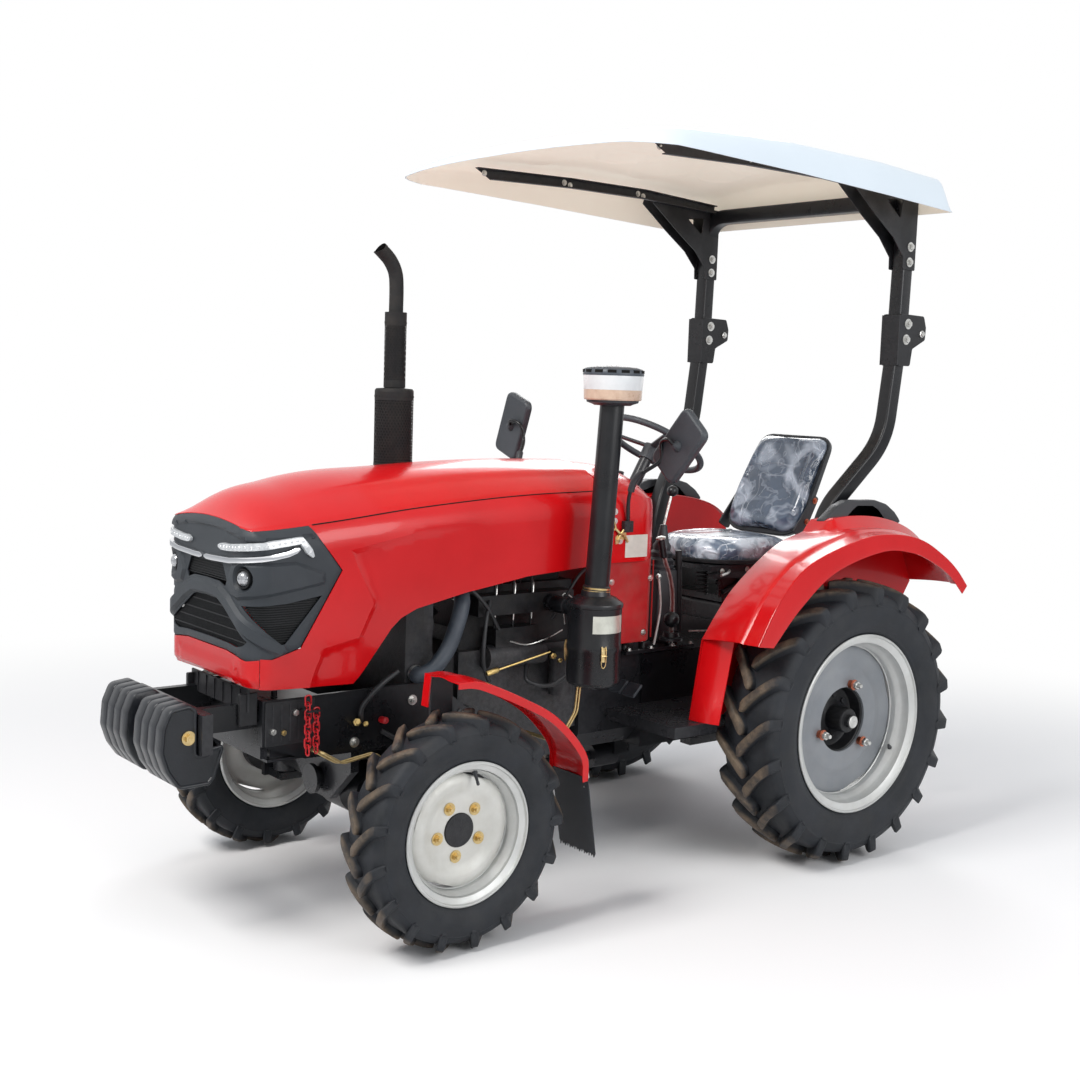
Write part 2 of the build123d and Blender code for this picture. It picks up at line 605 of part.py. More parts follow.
# ---------------------------------------------------------------- stack, air cleaner, hoses
def write_breathing():
    y, x = STACK_Y, STACK_X
    muffler = rod((x, y, 1425), (x, y, 1712), 68)
    guard = rod((x, y, 1712), (x, y, 1977), 38)
    pipe = bent_rod([(x, y, 1977), (x, y, 2100), (x, y - 75, 2190)], 70, 25, 22)
    elbow = bent_rod([(x, y, 1425), (x, y, 1130), (x - 30, -480, 1130), (x - 30, -480, 1000.2)], 50, 24)
    write("exhaust", muffler.fuse(guard, elbow, pipe))
    cx, cy = CLEANER_X, CLEANER_Y
    can = rod((cx, cy, 715), (cx, cy, 1005), 93) + rod((cx, cy, 1005), (cx, cy, 1030), 80)
    band = rod((cx, cy, 842), (cx, cy, 858), 97)
    riser = rod((cx, cy + 2, 1020), (cx, cy + 44, 1690), 42)
    riser -= block(cx - 90, cx + 90, cy - 90, cy + 150, 1680, 1750)
    duct = rod((205.2, cy - 30, 978), (cx - 40, cy - 30, 978), 30)
    write("air_cleaner", can.fuse(band, riser, duct))
    write("precleaner", Pos(cx, cy + 44, 1680) * revolve(Plane.XZ * Polygon(
        (0, 0), (70, 0), (92, 12), (98, 70), (98, 118), (90, 134), (0, 134), align=None), Axis.Z, 360))
    lower = bent_rod([(165.2, -585, 1035), (262, -600, 1035), (262, -640, 800), (262, -765, 776), (200.2, -765, 776)], 28, 27)
    write("radiator_hose", lower)


# ---------------------------------------------------------------- platform, seat and controls
def write_platform():
    plate = plan_prism([(205, 90), (570, 90), (570, 300), (490, 300), (490, 600), (205, 600)], PLATFORM_Z, PLATFORM_Z + 6)
    skirt = block(566, 570, 90, 300, PLATFORM_Z - 34, PLATFORM_Z) + block(205, 566, 90, 94, PLATFORM_Z - 34, PLATFORM_Z)
    bracket = block(200.2, 500, 180, 220, PLATFORM_Z - 34, PLATFORM_Z)
    side = plate.fuse(skirt, bracket)
    write("footplates", *both_sides(side))


FENDER_ARC = ((82, 889), (760, 1290), (1432, 983))


def fender_top(x0, x1):
    """The curved top sheet of a rear mudguard."""
    front, crown, back = FENDER_ARC
    outer = ThreePointArc(front, crown, back)
    inner = ThreePointArc((front[0] + SHEET, front[1]), (crown[0], crown[1] - SHEET), (back[0] - SHEET, back[1]))
    ends = [Line(outer @ 0, inner @ 0), Line(outer @ 1, inner @ 1)]
    return extrude(Plane.YZ.offset(x0) * make_face([outer, inner, *ends]), amount=x1 - x0, dir=(1, 0, 0))


def rear_fender():
    """Deep mudguard: curved top sheet, outer lip, inner wall and the apron ahead of the tyre."""
    x_in, x_out = 497, 806
    top = fender_top(x_in, x_out)
    lip_low = ThreePointArc((110, 872), (840, 1100), (1420, 965))
    lip_top = ThreePointArc(*FENDER_ARC)
    lip_face = make_face([lip_top, lip_low, Line(lip_top @ 0, lip_low @ 0), Line(lip_top @ 1, lip_low @ 1)])
    lip = extrude(Plane.YZ.offset(x_out - SHEET) * lip_face, amount=SHEET, dir=(1, 0, 0))
    wall_top = ThreePointArc(*FENDER_ARC)
    wall_low = Polyline(
        (1432, 983), (1300, 760), (1100, 700), (560, 700), (400, 560), (221, 560), (300, 800), (82, 889)
    )
    wall = extrude(Plane.YZ.offset(x_in) * make_face([wall_top, wall_low]), amount=SHEET, dir=(1, 0, 0))
    apron = side_prism([(340, 850), (343, 850), (224, 560), (221, 560)], x_in, 620)
    apron += side_prism([(340, 850), (343, 850), (360, 1080), (357, 1080)], x_in, 620)
    leg_notch = block(x_in - 5, 540, 930, 1110, 1240, 1400)
    return top.fuse(lip, wall, apron) - leg_notch


def write_fenders():
    fender = rear_fender()
    write("rear_fender_left", fender)
    write("rear_fender_right", mirrored(fender))
    lamp = fillet(block(430, 496.9, 1335, 1385, 900, 960).edges().filter_by(Axis.Y), 12)
    write("tail_lamps", *both_sides(lamp))
    handle = bent_rod([(560, 880, 1292), (560, 900, 1335), (560, 1180, 1322), (560, 1200, 1272)], 26, 12)
    write("grab_handles", *both_sides(handle))


def write_seat():
    plinth = block(-150, 150, 720, 1010, 905.2, 930)
    risers = [block(s * 150, s * 140, 700, 1010, 925, 1040) for s in (-1, 1)]
    pan = block(-200, 200, 600, 1060, 1040, SEAT_Z - 0.3)
    write("seat_frame", plinth.fuse(*risers, pan))
    cushion = fillet(block(-240, 240, 570, 1075, SEAT_Z, 1165).edges(), 25)
    write("seat_cushion", cushion)
    back = Box(440, 90, 420)
    back = fillet(back.edges(), 28)
    write("seat_back", Pos(0, 1180, 1375) * Rot(X=-27) * back)


def mirror_on_arm(centre, lean):
    """A rear-view mirror of the left side, on a bent arm from the cowl's side."""
    x, y, z = centre.X, centre.Y, centre.Z
    foot = block(310.1, 324, 35, 75, 1232, 1264)
    arm = bent_rod([(318, 55, 1247), (332, 45, 1355), (0.4 * x + 200, 55, z - 80), (x - 25, y - 12, z - 5)], 24, 7)
    head = fillet(Box(150, 26, 250).edges().filter_by(Axis.Y), 34)
    return foot.fuse(arm, Pos(x, y, z) * Rot(Y=lean) * head)


def pedal(x):
    """A foot pedal on a bent arm from the side of the gear case."""
    side = 1 if x > 0 else -1
    arm = bent_rod([(side * 200.3, 430, 640), (x, 430, 640), (x, 270, 690), (x, 235, 735)], 14, 8)
    pad = Pos(x, 232, 741) * Rot(X=52) * Box(66, 54, 9)
    return arm + pad


def chain_link(x, y, z, turned):
    """One oval link of the tow chain, 44 mm high, from a square bar."""
    link = Box(7, 28, 44) - Box(9, 14, 30)
    return Pos(x, y, z) * Rot(Z=90 if turned else 0) * link


def write_chain():
    """The tow chain that hangs from the front frame in two strands."""
    strands = []
    for y, links in ((-1196, 6), (-1166, 5)):
        strands.append([chain_link(262, y, 683.8 - 30 * n, n % 2) for n in range(links)])
    write("lift_chain", *[first.fuse(*rest) for first, *rest in strands])


def write_pipes():
    """Steering pipes from the front frame down to the axle."""
    y, z = FRONT_AXLE_Y, FRONT_TYRE_R
    pipes = []
    for n in range(2):
        top = (217.2, -1080 + 40 * n, 600)
        pipes.append(bent_rod([
            top, (250 + 14 * n, top[1], 600), (250 + 14 * n, top[1] + 60, z + 110), (250 + 14 * n, y - 20 + 30 * n, z + 90),
            (250 + 14 * n, y - 20 + 30 * n, z + 44.1),
        ], 18, 6))
    write("steering_pipes", *pipes)


def write_controls():
    column = rod(COLUMN_FOOT, COLUMN_HEAD, 24)
    write("steering_column", column)
    place = Pos(*WHEEL_CENTRE) * Rot(X=-WHEEL_TILT)
    ring = place * Torus(200, 13)
    hub = place * Pos(0, 0, -40) * Cylinder(30, 60)
    spokes = [place * Rot(Z=90 + 120 * n) * Pos(100, 0, -14) * Box(190, 26, 8) for n in range(3)]
    knob = place * Pos(-140, -140, 34) * Cylinder(20, 44)
    write("steering_wheel", ring.fuse(hub, *spokes, knob))
    lever = bent_rod([(170, 300, 762.2), (170, 330, 900), (250, 330, 1120), (235, 420, 1230)], 60, 9)
    pedals = [pedal(x) for x in (232, -232)]
    write("levers", lever + Pos(235, 420, 1245) * Sphere(24), *pedals)
    near = mirror_on_arm(Vector(517, 105, 1545), 42)
    far = mirror_on_arm(Vector(457, 115, 1573), -20)
    write("mirrors", near, mirrored(far))


# ---------------------------------------------------------------- roll bar and canopy
def write_roll_bar():
    t, x = ROPS_TUBE, ROPS_X
    pivot_y, pivot_z = ROPS_PIVOT
    leg_path = FilletPolyline(
        (465, 890, 660), (465, 945, 1225), (470, 1010, 1330), (x, 1215, 1600), (x, 1268, 1955), radius=60
    )
    leg = sweep(Plane(leg_path @ 0, x_dir=(1, 0, 0), z_dir=leg_path % 0) * Rectangle(t, t), path=leg_path)
    foot = block(430, 480, 790, 930, 618.2, 664)
    cheek = [(1228, 1860), (1300, 1860), (1342, 1965), (1342, 2010), (1318, 2040), (1236, 2060)]
    cheeks = [side_prism(cheek, x + dx, x + dx + 8) for dx in (-42, 34)]
    web = block(x - 34, x + 34, 1232, 1300, 1862, 1950)
    pin = rod((x - 50, pivot_y, pivot_z), (x + 50, pivot_y, pivot_z), 8)
    bolts = [rod((x + s * 42, y, z), (x + s * 54, y, z), 12) for s in (-1, 1) for y, z in ((1262, 1885), (1300, 2025))]
    lower = leg.fuse(foot, *cheeks, web, pin, *bolts)
    write("roll_bar_lower", *both_sides(lower))
    hoop_path = FilletPolyline(
        (x, 1268, 1963), (x, 1236, 2470), (-x, 1236, 2470), (-x, 1268, 1963), radius=90
    )
    hoop = sweep(Plane(hoop_path @ 0, x_dir=(1, 0, 0), z_dir=hoop_path % 0) * Rectangle(t, t), path=hoop_path)
    lug = block(x - 24, x + 24, 1290, 1336, 1966, 2006) - rod((0, pivot_y, pivot_z), (900, pivot_y, pivot_z), 8.3)
    rail = side_prism([(-60, 2524), (1206, 2462), (1206, 2498), (-60, 2560)], 485, 525)
    gusset = side_prism([(1206, 2290), (1206, 2470), (1040, 2480)], x - 40, x - 34)
    gusset -= side_prism([(1186, 2370), (1186, 2450), (1112, 2455)], x - 45, x - 30)
    upper = hoop.fuse(lug, mirrored(lug), rail, mirrored(rail), gusset, mirrored(gusset))
    write("roll_bar_upper", upper)


CANOPY_ROWS = (
    # y, half width, edge z, shoulder half width, shoulder z, crown z
    (-320, 735, 2522, 690, 2545, 2545),
    (-60, 735, 2510, 690, 2572, 2618),
    (420, 735, 2490, 684, 2585, 2655),
    (900, 728, 2464, 676, 2575, 2650),
    (1320, 712, 2440, 660, 2550, 2618),
)
CANOPY_REAR_Y = 1292


def canopy_section(y, half, edge, shoulder, shoulder_z, crown, inset=0):
    """Crown arc and sloping skirts, closed below; the inner one drops past the outer's edge."""
    shoulder, shoulder_z, crown = shoulder - inset, shoulder_z - inset, crown - inset
    low = edge - 4 * inset
    low_half = half - inset + 4 * inset * (half - shoulder - inset) / (shoulder_z + inset - edge)
    arc = ThreePointArc((-shoulder, shoulder_z), (0, crown + 0.01), (shoulder, shoulder_z))
    right = Line((shoulder, shoulder_z), (low_half, low))
    bottom = Line((low_half, low), (-low_half, low))
    left = Line((-low_half, low), (-shoulder, shoulder_z))
    return Plane.XZ.offset(-y) * make_face([arc, right, bottom, left])


def canopy_plan(inset):
    """The canopy's outline from above: bowed front edge, rounded front corners, straight back."""
    half, rear = 760 - inset, CANOPY_REAR_Y - inset
    front = ThreePointArc((-half + 90, -150 + inset), (0, -285 + inset), (half - 90, -150 + inset))
    right = ThreePointArc((half - 90, -150 + inset), (half - 28, -110 + inset), (half, -30 + inset))
    left = ThreePointArc((-half, -30 + inset), (-half + 28, -110 + inset), (-half + 90, -150 + inset))
    back = Polyline((half, -30 + inset), (half, rear), (-half, rear), (-half, -30 + inset))
    face = make_face([front, right, *back.edges(), left])
    return extrude(Plane.XY.offset(2300) * face, amount=500)


def write_canopy():
    outer = loft([canopy_section(*row) for row in CANOPY_ROWS], ruled=True)
    inner = loft([canopy_section(*row, inset=CANOPY_SHELL) for row in CANOPY_ROWS], ruled=True)
    write("canopy", (outer & canopy_plan(0)) - (inner & canopy_plan(CANOPY_SHELL)))


# ---------------------------------------------------------------- rear linkage
def write_linkage():
    pivot_y, pivot_z = LINK_PIVOT
    spread = LINK_X_REAR - LINK_X_FRONT
    length = LINK_EYE_Y - pivot_y
    share = LIFT_REACH / length
    pin_x = LINK_X_FRONT + 4 + spread * share
    pin_z = pivot_z + (LINK_EYE_Z - pivot_z) * share
    pin_y = pivot_y + LIFT_REACH
    start = Plane.XZ.offset(-(pivot_y + 18)) * Pos(LINK_X_FRONT + 8, pivot_z - 1) * Rectangle(16, 44)
    end = Plane.XZ.offset(-(LINK_EYE_Y - 18)) * Pos(LINK_X_REAR - 3, LINK_EYE_Z + 1) * Rectangle(16, 44)
    bar = loft([start, end], ruled=True)
    front_eye = rod((LINK_X_FRONT - 8, pivot_y, pivot_z), (LINK_X_FRONT + 26, pivot_y, pivot_z), 27)
    rear_eye = rod((LINK_X_REAR - 17.5, LINK_EYE_Y, LINK_EYE_Z), (LINK_X_REAR + 17.5, LINK_EYE_Y, LINK_EYE_Z), LINK_EYE_R)
    pin = rod((pin_x - 48, pin_y, pin_z), (pin_x, pin_y, pin_z), 10)
    link = bar.fuse(front_eye, rear_eye, pin)
    link -= rod((0, pivot_y, pivot_z), (500, pivot_y, pivot_z), 11 + RUNNING_GAP)
    link -= rod((0, LINK_EYE_Y, LINK_EYE_Z), (500, LINK_EYE_Y, LINK_EYE_Z), 11.2)
    write("lower_link_left", link)
    write("lower_link_right", mirrored(link))
    arm_z = pin_z + ROCKSHAFT_Z - pivot_z
    arm_outline = [
        (pivot_y - 30, ROCKSHAFT_Z - 30), (pivot_y + 30, ROCKSHAFT_Z - 38), (pin_y + 18, arm_z - 20), (pin_y + 22, arm_z + 16),
        (pivot_y + 30, ROCKSHAFT_Z + 38), (pivot_y - 30, ROCKSHAFT_Z + 30),
    ]
    arm = side_prism(arm_outline, 196, 216) + rod((216, pin_y, arm_z), (pin_x - 8, pin_y, arm_z), 10)
    shaft = rod((-200, pivot_y, ROCKSHAFT_Z), (200, pivot_y, ROCKSHAFT_Z), 26)
    write("lift_arms", shaft.fuse(arm, mirrored(arm)))
    x0, x1 = pin_x - 42, pin_x - 18
    lift = [rod((x0, pin_y, z), (x1, pin_y, z), 24) for z in (pin_z, arm_z)]
    middle = (x0 + x1) / 2
    lift.append(rod((middle, pin_y, pin_z + 18), (middle, pin_y, arm_z - 18), 9))
    lift.append(rod((middle, pin_y, pin_z + 130), (middle, pin_y, arm_z - 110), 16))
    lift_rod = lift[0].fuse(*lift[1:])
    for z in (pin_z, arm_z):
        lift_rod -= rod((0, pin_y, z), (500, pin_y, z), 10 + RUNNING_GAP)
    write("lift_rod_left", lift_rod)
    write("lift_rod_right", mirrored(lift_rod))


def write_all():
    os.makedirs("parts", exist_ok=True)
    write_wheels()
    write_hood()
    write_engine()
    write_radiator()
    write_frame()
    write_weights()
    write_driveline()
    write_front_axle()
    write_knuckles()
    write_breathing()
    write_platform()
    write_fenders()
    write_seat()
    write_controls()
    write_roll_bar()
    write_canopy()
    write_linkage()
    write_chain()
    write_pipes()


write_all()
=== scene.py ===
"""Finishes, fabrics and fine forms of a compact farm tractor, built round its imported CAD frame.

Metres, with millimetres inside mm(). The front faces -Y, the tractor's left side is +X and
the ground is Z = 0.
"""

import json
from math import acos, asin, cos, hypot, pi, radians, sin, tau

import bmesh
import bpy
import numpy as np
from mathutils import Matrix, Vector, noise
from mathutils.geometry import delaunay_2d_cdt


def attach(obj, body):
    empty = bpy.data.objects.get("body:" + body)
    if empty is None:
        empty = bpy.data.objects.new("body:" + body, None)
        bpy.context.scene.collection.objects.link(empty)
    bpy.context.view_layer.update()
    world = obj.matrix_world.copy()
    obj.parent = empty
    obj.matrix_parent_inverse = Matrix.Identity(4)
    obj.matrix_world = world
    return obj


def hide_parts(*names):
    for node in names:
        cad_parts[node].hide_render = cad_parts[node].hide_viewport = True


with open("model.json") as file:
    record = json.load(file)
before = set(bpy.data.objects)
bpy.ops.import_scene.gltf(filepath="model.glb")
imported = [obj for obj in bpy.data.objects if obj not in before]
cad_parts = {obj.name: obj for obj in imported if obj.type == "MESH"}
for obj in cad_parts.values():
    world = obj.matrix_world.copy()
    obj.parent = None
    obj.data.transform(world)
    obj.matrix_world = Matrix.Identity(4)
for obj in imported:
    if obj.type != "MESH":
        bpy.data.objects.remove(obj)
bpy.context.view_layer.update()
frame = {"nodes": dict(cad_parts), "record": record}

# ---------------------------------------------------------------- sizes shared with the CAD part
REAR_AXLE = Vector((0.671, 0.83, 0.53))
FRONT_AXLE = Vector((0.619, -0.874, 0.373))
NOSE_Y = -1.415
STACK = Vector((-0.13, -0.655, 0))
FRAME_SIDE = 0.2172  # outer face of the front frame's side plates
SIDES = (("left", 1), ("right", -1))
AXLE, UP = (1, 0, 0), (0, 0, 1)

FLOOR_REACH = 60
SHADOW_FLOOR = (2.2, 5.2)  # the floor fades from pale to plain white between these distances


# ---------------------------------------------------------------- nodes
def add_node(tree, kind, settings=None, **inputs):
    """A node with settings, and inputs given as plain values or as other nodes' outputs."""
    node = tree.nodes.new(kind)
    for key, value in (settings or {}).items():
        setattr(node, key, value)
    for key, value in inputs.items():
        key = int(key[1:]) if key[0] == "_" else key.replace("_", " ")
        if isinstance(value, bpy.types.NodeSocket):
            tree.links.new(value, node.inputs[key])
        else:
            node.inputs[key].default_value = value
    return node


# ---------------------------------------------------------------- camera, floor and lamps
def set_camera():
    """The three-quarter view from the tractor's left front."""
    azimuth, elevation, roll = radians(51.7), radians(6.22), radians(1.86)
    back = Vector((sin(azimuth) * cos(elevation), -cos(azimuth) * cos(elevation), sin(elevation)))
    level = Vector((cos(azimuth), sin(azimuth), 0))
    up = back.cross(level)
    right = level * cos(roll) + up * sin(roll)
    up = up * cos(roll) - level * sin(roll)
    data = bpy.data.cameras.new("camera")
    data.sensor_width = 36
    data.lens = 48.62
    data.clip_end = 400
    camera = bpy.data.objects.new("camera", data)
    camera.matrix_world = Matrix.Translation((4.2, -3.407, 1.755)) @ Matrix((right, up, back)).transposed(
        ).to_4x4()
    bpy.context.scene.collection.objects.link(camera)
    bpy.context.scene.camera = camera


def cleared_tree(owner):
    """The empty node tree of a world or a material."""
    owner.use_nodes = True
    owner.node_tree.nodes.clear()
    return owner.node_tree


def set_stage():
    """A pale floor that keeps the shadow, and a world that is plain white behind it."""
    scene = bpy.context.scene
    scene.view_settings.view_transform = "Standard"
    scene.world = bpy.data.worlds.new("studio")
    tree = cleared_tree(scene.world)
    path = add_node(tree, "ShaderNodeLightPath").outputs
    seen = add_node(tree, "ShaderNodeMath", {"operation": "MAXIMUM"}, _0=path["Is Camera Ray"])
    through = add_node(tree, "ShaderNodeMath", {"operation": "MAXIMUM"},
                       _0=path["Is Glossy Ray"], _1=path["Is Transmission Ray"])
    tree.links.new(through.outputs[0], seen.inputs[1])
    ambient = add_node(tree, "ShaderNodeBackground", Color=(0.93, 0.96, 1, 1), Strength=0.5)
    backdrop = add_node(tree, "ShaderNodeBackground", Color=(1, 1, 1, 1), Strength=1)
    mix = add_node(tree, "ShaderNodeMixShader", _0=seen.outputs[0], _1=ambient.outputs[0],
                   _2=backdrop.outputs[0])
    add_node(tree, "ShaderNodeOutputWorld", Surface=mix.outputs[0])

    floor_mesh = bpy.data.meshes.new("floor")
    corners = [(x * FLOOR_REACH, y * FLOOR_REACH, 0) for x, y in ((-1, -1), (1, -1), (1, 1), (-1, 1))]
    floor_mesh.from_pydata(corners, [], [(0, 1, 2, 3)])
    floor = bpy.data.objects.new("floor", floor_mesh)
    scene.collection.objects.link(floor)
    material = bpy.data.materials.new("floor")
    tree = cleared_tree(material)
    place = add_node(tree, "ShaderNodeTexCoord")
    reach = add_node(tree, "ShaderNodeVectorMath", {"operation": "LENGTH"}, _0=place.outputs["Object"])
    fade = add_node(tree, "ShaderNodeMapRange", {"interpolation_type": "SMOOTHSTEP"},
                    From_Min=SHADOW_FLOOR[0], From_Max=SHADOW_FLOOR[1], Value=reach.outputs["Value"])
    path = add_node(tree, "ShaderNodeLightPath")
    seen = add_node(tree, "ShaderNodeMath", {"operation": "MULTIPLY"},
                    _0=path.outputs["Is Camera Ray"], _1=fade.outputs["Result"])
    pale = add_node(tree, "ShaderNodeBsdfDiffuse", Color=(0.9, 0.9, 0.91, 1))
    white = add_node(tree, "ShaderNodeEmission")
    mix = add_node(tree, "ShaderNodeMixShader", _0=seen.outputs[0], _1=pale.outputs[0], _2=white.outputs[0])
    add_node(tree, "ShaderNodeOutputMaterial", Surface=mix.outputs[0])
    floor_mesh.materials.append(material)


def add_softbox(name, place, target, size, watts, tint=(1, 1, 1)):
    data = bpy.data.lights.new(name, "AREA")
    data.shape = "RECTANGLE"
    data.size, data.size_y = size
    data.energy = watts
    data.color = tint
    lamp = bpy.data.objects.new(name, data)
    lamp.location = place
    lamp.rotation_mode = "QUATERNION"
    lamp.rotation_quaternion = (Vector(target) - Vector(place)).to_track_quat("-Z", "Y")
    bpy.context.scene.collection.objects.link(lamp)


def set_lamps():
    middle = (0, -0.1, 1.0)
    add_softbox("key_softbox", (0.6, -5.2, 6.0), middle, (2.6, 2.6), 400, (1, 0.98, 0.95))
    add_softbox("side_softbox", (6.2, 0.8, 3.2), middle, (3.5, 2.4), 150)
    add_softbox("back_softbox", (-4.5, 4.6, 4.4), middle, (3, 2.4), 130)


set_camera()
set_stage()
set_lamps()


# ---------------------------------------------------------------- shared surface effects
def new_group(name, inputs, outputs):
    """An empty shader group with its sockets, its two end nodes and a way to add linked nodes."""
    group = bpy.data.node_groups.new(name, "ShaderNodeTree")
    for label, kind, value in inputs:
        socket = group.interface.new_socket(label, in_out="INPUT", socket_type=kind)
        socket.default_value = value
    for label, kind in outputs:
        group.interface.new_socket(label, in_out="OUTPUT", socket_type=kind)
    return group, group.nodes.new("NodeGroupInput"), group.nodes.new("NodeGroupOutput")


def math(tree, operation, a, b=0.0, c=None, clamp=False):
    third = {} if c is None else {"_2": c}
    node = add_node(tree, "ShaderNodeMath", {"operation": operation, "use_clamp": clamp}, _0=a, _1=b,
                    **third)
    return node.outputs[0]


def mix_colour(tree, factor, a, b):
    node = add_node(tree, "ShaderNodeMix", {"data_type": "RGBA"}, Factor=factor, _6=a, _7=b)
    return node.outputs[2]


FLOAT, COLOUR, VECTOR, MATERIAL = (f"NodeSocket{kind}" for kind in ("Float", "Color", "Vector", "Material"))


def make_mottle():
    """Slow drift of a colour between two shades."""
    group, start, end = new_group(
        "mottle",
        [("Dark", COLOUR, (0, 0, 0, 1)), ("Light", COLOUR, (1, 1, 1, 1)), ("Scale", FLOAT, 8),
         ("Contrast", FLOAT, 1)],
        [("Color", COLOUR), ("Mask", FLOAT)],
    )
    place = add_node(group, "ShaderNodeTexCoord").outputs["Object"]
    cloud = add_node(group, "ShaderNodeTexNoise", Vector=place, Scale=start.outputs["Scale"], Detail=5.0,
                     Roughness=0.6)
    centred = math(group, "SUBTRACT", cloud.outputs["Fac"], 0.5)
    spread = math(group, "MULTIPLY_ADD", centred, start.outputs["Contrast"], 0.5)
    mask = math(group, "MULTIPLY", spread, 1.0, clamp=True)
    group.links.new(mix_colour(group, mask, start.outputs["Dark"], start.outputs["Light"]),
                    end.inputs["Color"])
    group.links.new(mask, end.inputs["Mask"])
    return group


def make_grain():
    """Fine height: even noise, with rounded cells for cast skin when Cells is above 0."""
    group, start, end = new_group("grain", [("Scale", FLOAT, 400), ("Cells", FLOAT, 0)],
                                  [("Height", FLOAT)])
    place = add_node(group, "ShaderNodeTexCoord").outputs["Object"]
    fine = add_node(group, "ShaderNodeTexNoise", Vector=place, Scale=start.outputs["Scale"], Detail=3.0)
    cells = add_node(group, "ShaderNodeTexVoronoi", Vector=place, Scale=start.outputs["Scale"])
    cells = math(group, "MULTIPLY", cells.outputs["Distance"], start.outputs["Cells"])
    group.links.new(math(group, "ADD", fine.outputs["Fac"], cells), end.inputs["Height"])
    return group


def make_dust():
    """Dust that settles in patches on what faces up, as a colour and a mask."""
    group, start, end = new_group(
        "settled_dust",
        [("Color", COLOUR, (0, 0, 0, 1)), ("Dust", COLOUR, (0.3, 0.25, 0.2, 1)), ("Amount", FLOAT, 0.3),
         ("Scale", FLOAT, 14)],
        [("Color", COLOUR), ("Mask", FLOAT)],
    )
    place = add_node(group, "ShaderNodeTexCoord").outputs["Object"]
    cloud = add_node(group, "ShaderNodeTexNoise", Vector=place, Scale=start.outputs["Scale"], Detail=8.0,
                     Roughness=0.65)
    facing = add_node(group, "ShaderNodeNewGeometry").outputs["Normal"]
    up = add_node(group, "ShaderNodeSeparateXYZ", Vector=facing).outputs["Z"]
    lie = math(group, "MULTIPLY_ADD", up, 0.35, 0.65)
    patch = add_node(group, "ShaderNodeMapRange", Value=cloud.outputs["Fac"], From_Min=0.42,
                     From_Max=0.72).outputs["Result"]
    mask = math(group, "MULTIPLY", math(group, "MULTIPLY", patch, lie), start.outputs["Amount"], clamp=True)
    group.links.new(mix_colour(group, mask, start.outputs["Color"], start.outputs["Dust"]),
                    end.inputs["Color"])
    group.links.new(mask, end.inputs["Mask"])
    return group


def make_edge_lightening():
    """Lighter colour in patches along sharp convex edges, as a colour and a mask."""
    group, start, end = new_group(
        "lighter_sharp_edges",
        [("Color", COLOUR, (0, 0, 0, 1)), ("Rubbed", COLOUR, (0.4, 0.4, 0.4, 1)), ("Amount", FLOAT, 0.5)],
        [("Color", COLOUR), ("Mask", FLOAT)],
    )
    sharpness = add_node(group, "ShaderNodeNewGeometry").outputs["Pointiness"]
    edge = add_node(group, "ShaderNodeMapRange", Value=sharpness, From_Min=0.52,
                    From_Max=0.6).outputs["Result"]
    place = add_node(group, "ShaderNodeTexCoord").outputs["Object"]
    patches = add_node(group, "ShaderNodeTexNoise", Vector=place, Scale=60.0, Detail=4.0).outputs["Fac"]
    mask = math(group, "MULTIPLY", math(group, "MULTIPLY", edge, patches), start.outputs["Amount"],
                clamp=True)
    group.links.new(mix_colour(group, mask, start.outputs["Color"], start.outputs["Rubbed"]),
                    end.inputs["Color"])
    group.links.new(mask, end.inputs["Mask"])
    return group


MOTTLE = make_mottle()
GRAIN = make_grain()
DUST = make_dust()
EDGE_LIGHTENING = make_edge_lightening()


# ---------------------------------------------------------------- finishes
def rgb(*values):
    return (*values, 1.0)


def place_group(tree, group, **inputs):
    return add_node(tree, "ShaderNodeGroup", {"node_tree": group}, **inputs)


def finish(name, slot, dark, light, rough, metal=0.0, coat=0.0, specular=0.5, drift=8.0, contrast=2.5,
           grain=(900.0, 0.0), bump=0.0, dust=(0.0, (0.3, 0.26, 0.2)), rubbed=(0.0, (0.4, 0.4, 0.4)),
           rough_spread=0.08):
    """A painted, cast, moulded or plated surface, from the shared effects."""
    material = bpy.data.materials.new(name)
    material.use_nodes = True
    material["slot"] = slot
    tree = material.node_tree
    shader = tree.nodes["Principled BSDF"]
    shader.inputs["Metallic"].default_value = metal
    shader.inputs["Coat Weight"].default_value = coat
    shader.inputs["Coat Roughness"].default_value = 0.04
    shader.inputs["Specular IOR Level"].default_value = specular
    base = place_group(tree, MOTTLE, Dark=rgb(*dark), Light=rgb(*light), Scale=drift, Contrast=contrast)
    edged_base = place_group(tree, EDGE_LIGHTENING, Color=base.outputs["Color"], Rubbed=rgb(*rubbed[1]), Amount=rubbed[0])
    dusty = place_group(tree, DUST, Color=edged_base.outputs["Color"], Dust=rgb(*dust[1]), Amount=dust[0])
    tree.links.new(dusty.outputs["Color"], shader.inputs["Base Color"])
    roughness = math(tree, "MULTIPLY_ADD", base.outputs["Mask"], rough_spread, rough)
    dulled = math(tree, "MULTIPLY_ADD", dusty.outputs["Mask"], 0.5, roughness)
    tree.links.new(dulled, shader.inputs["Roughness"])
    if bump:
        height = place_group(tree, GRAIN, Scale=grain[0], Cells=grain[1])
        rise = add_node(tree, "ShaderNodeBump", Strength=1.0, Distance=bump,
                        Height=height.outputs["Height"])
        tree.links.new(rise.outputs["Normal"], shader.inputs["Normal"])
    return material


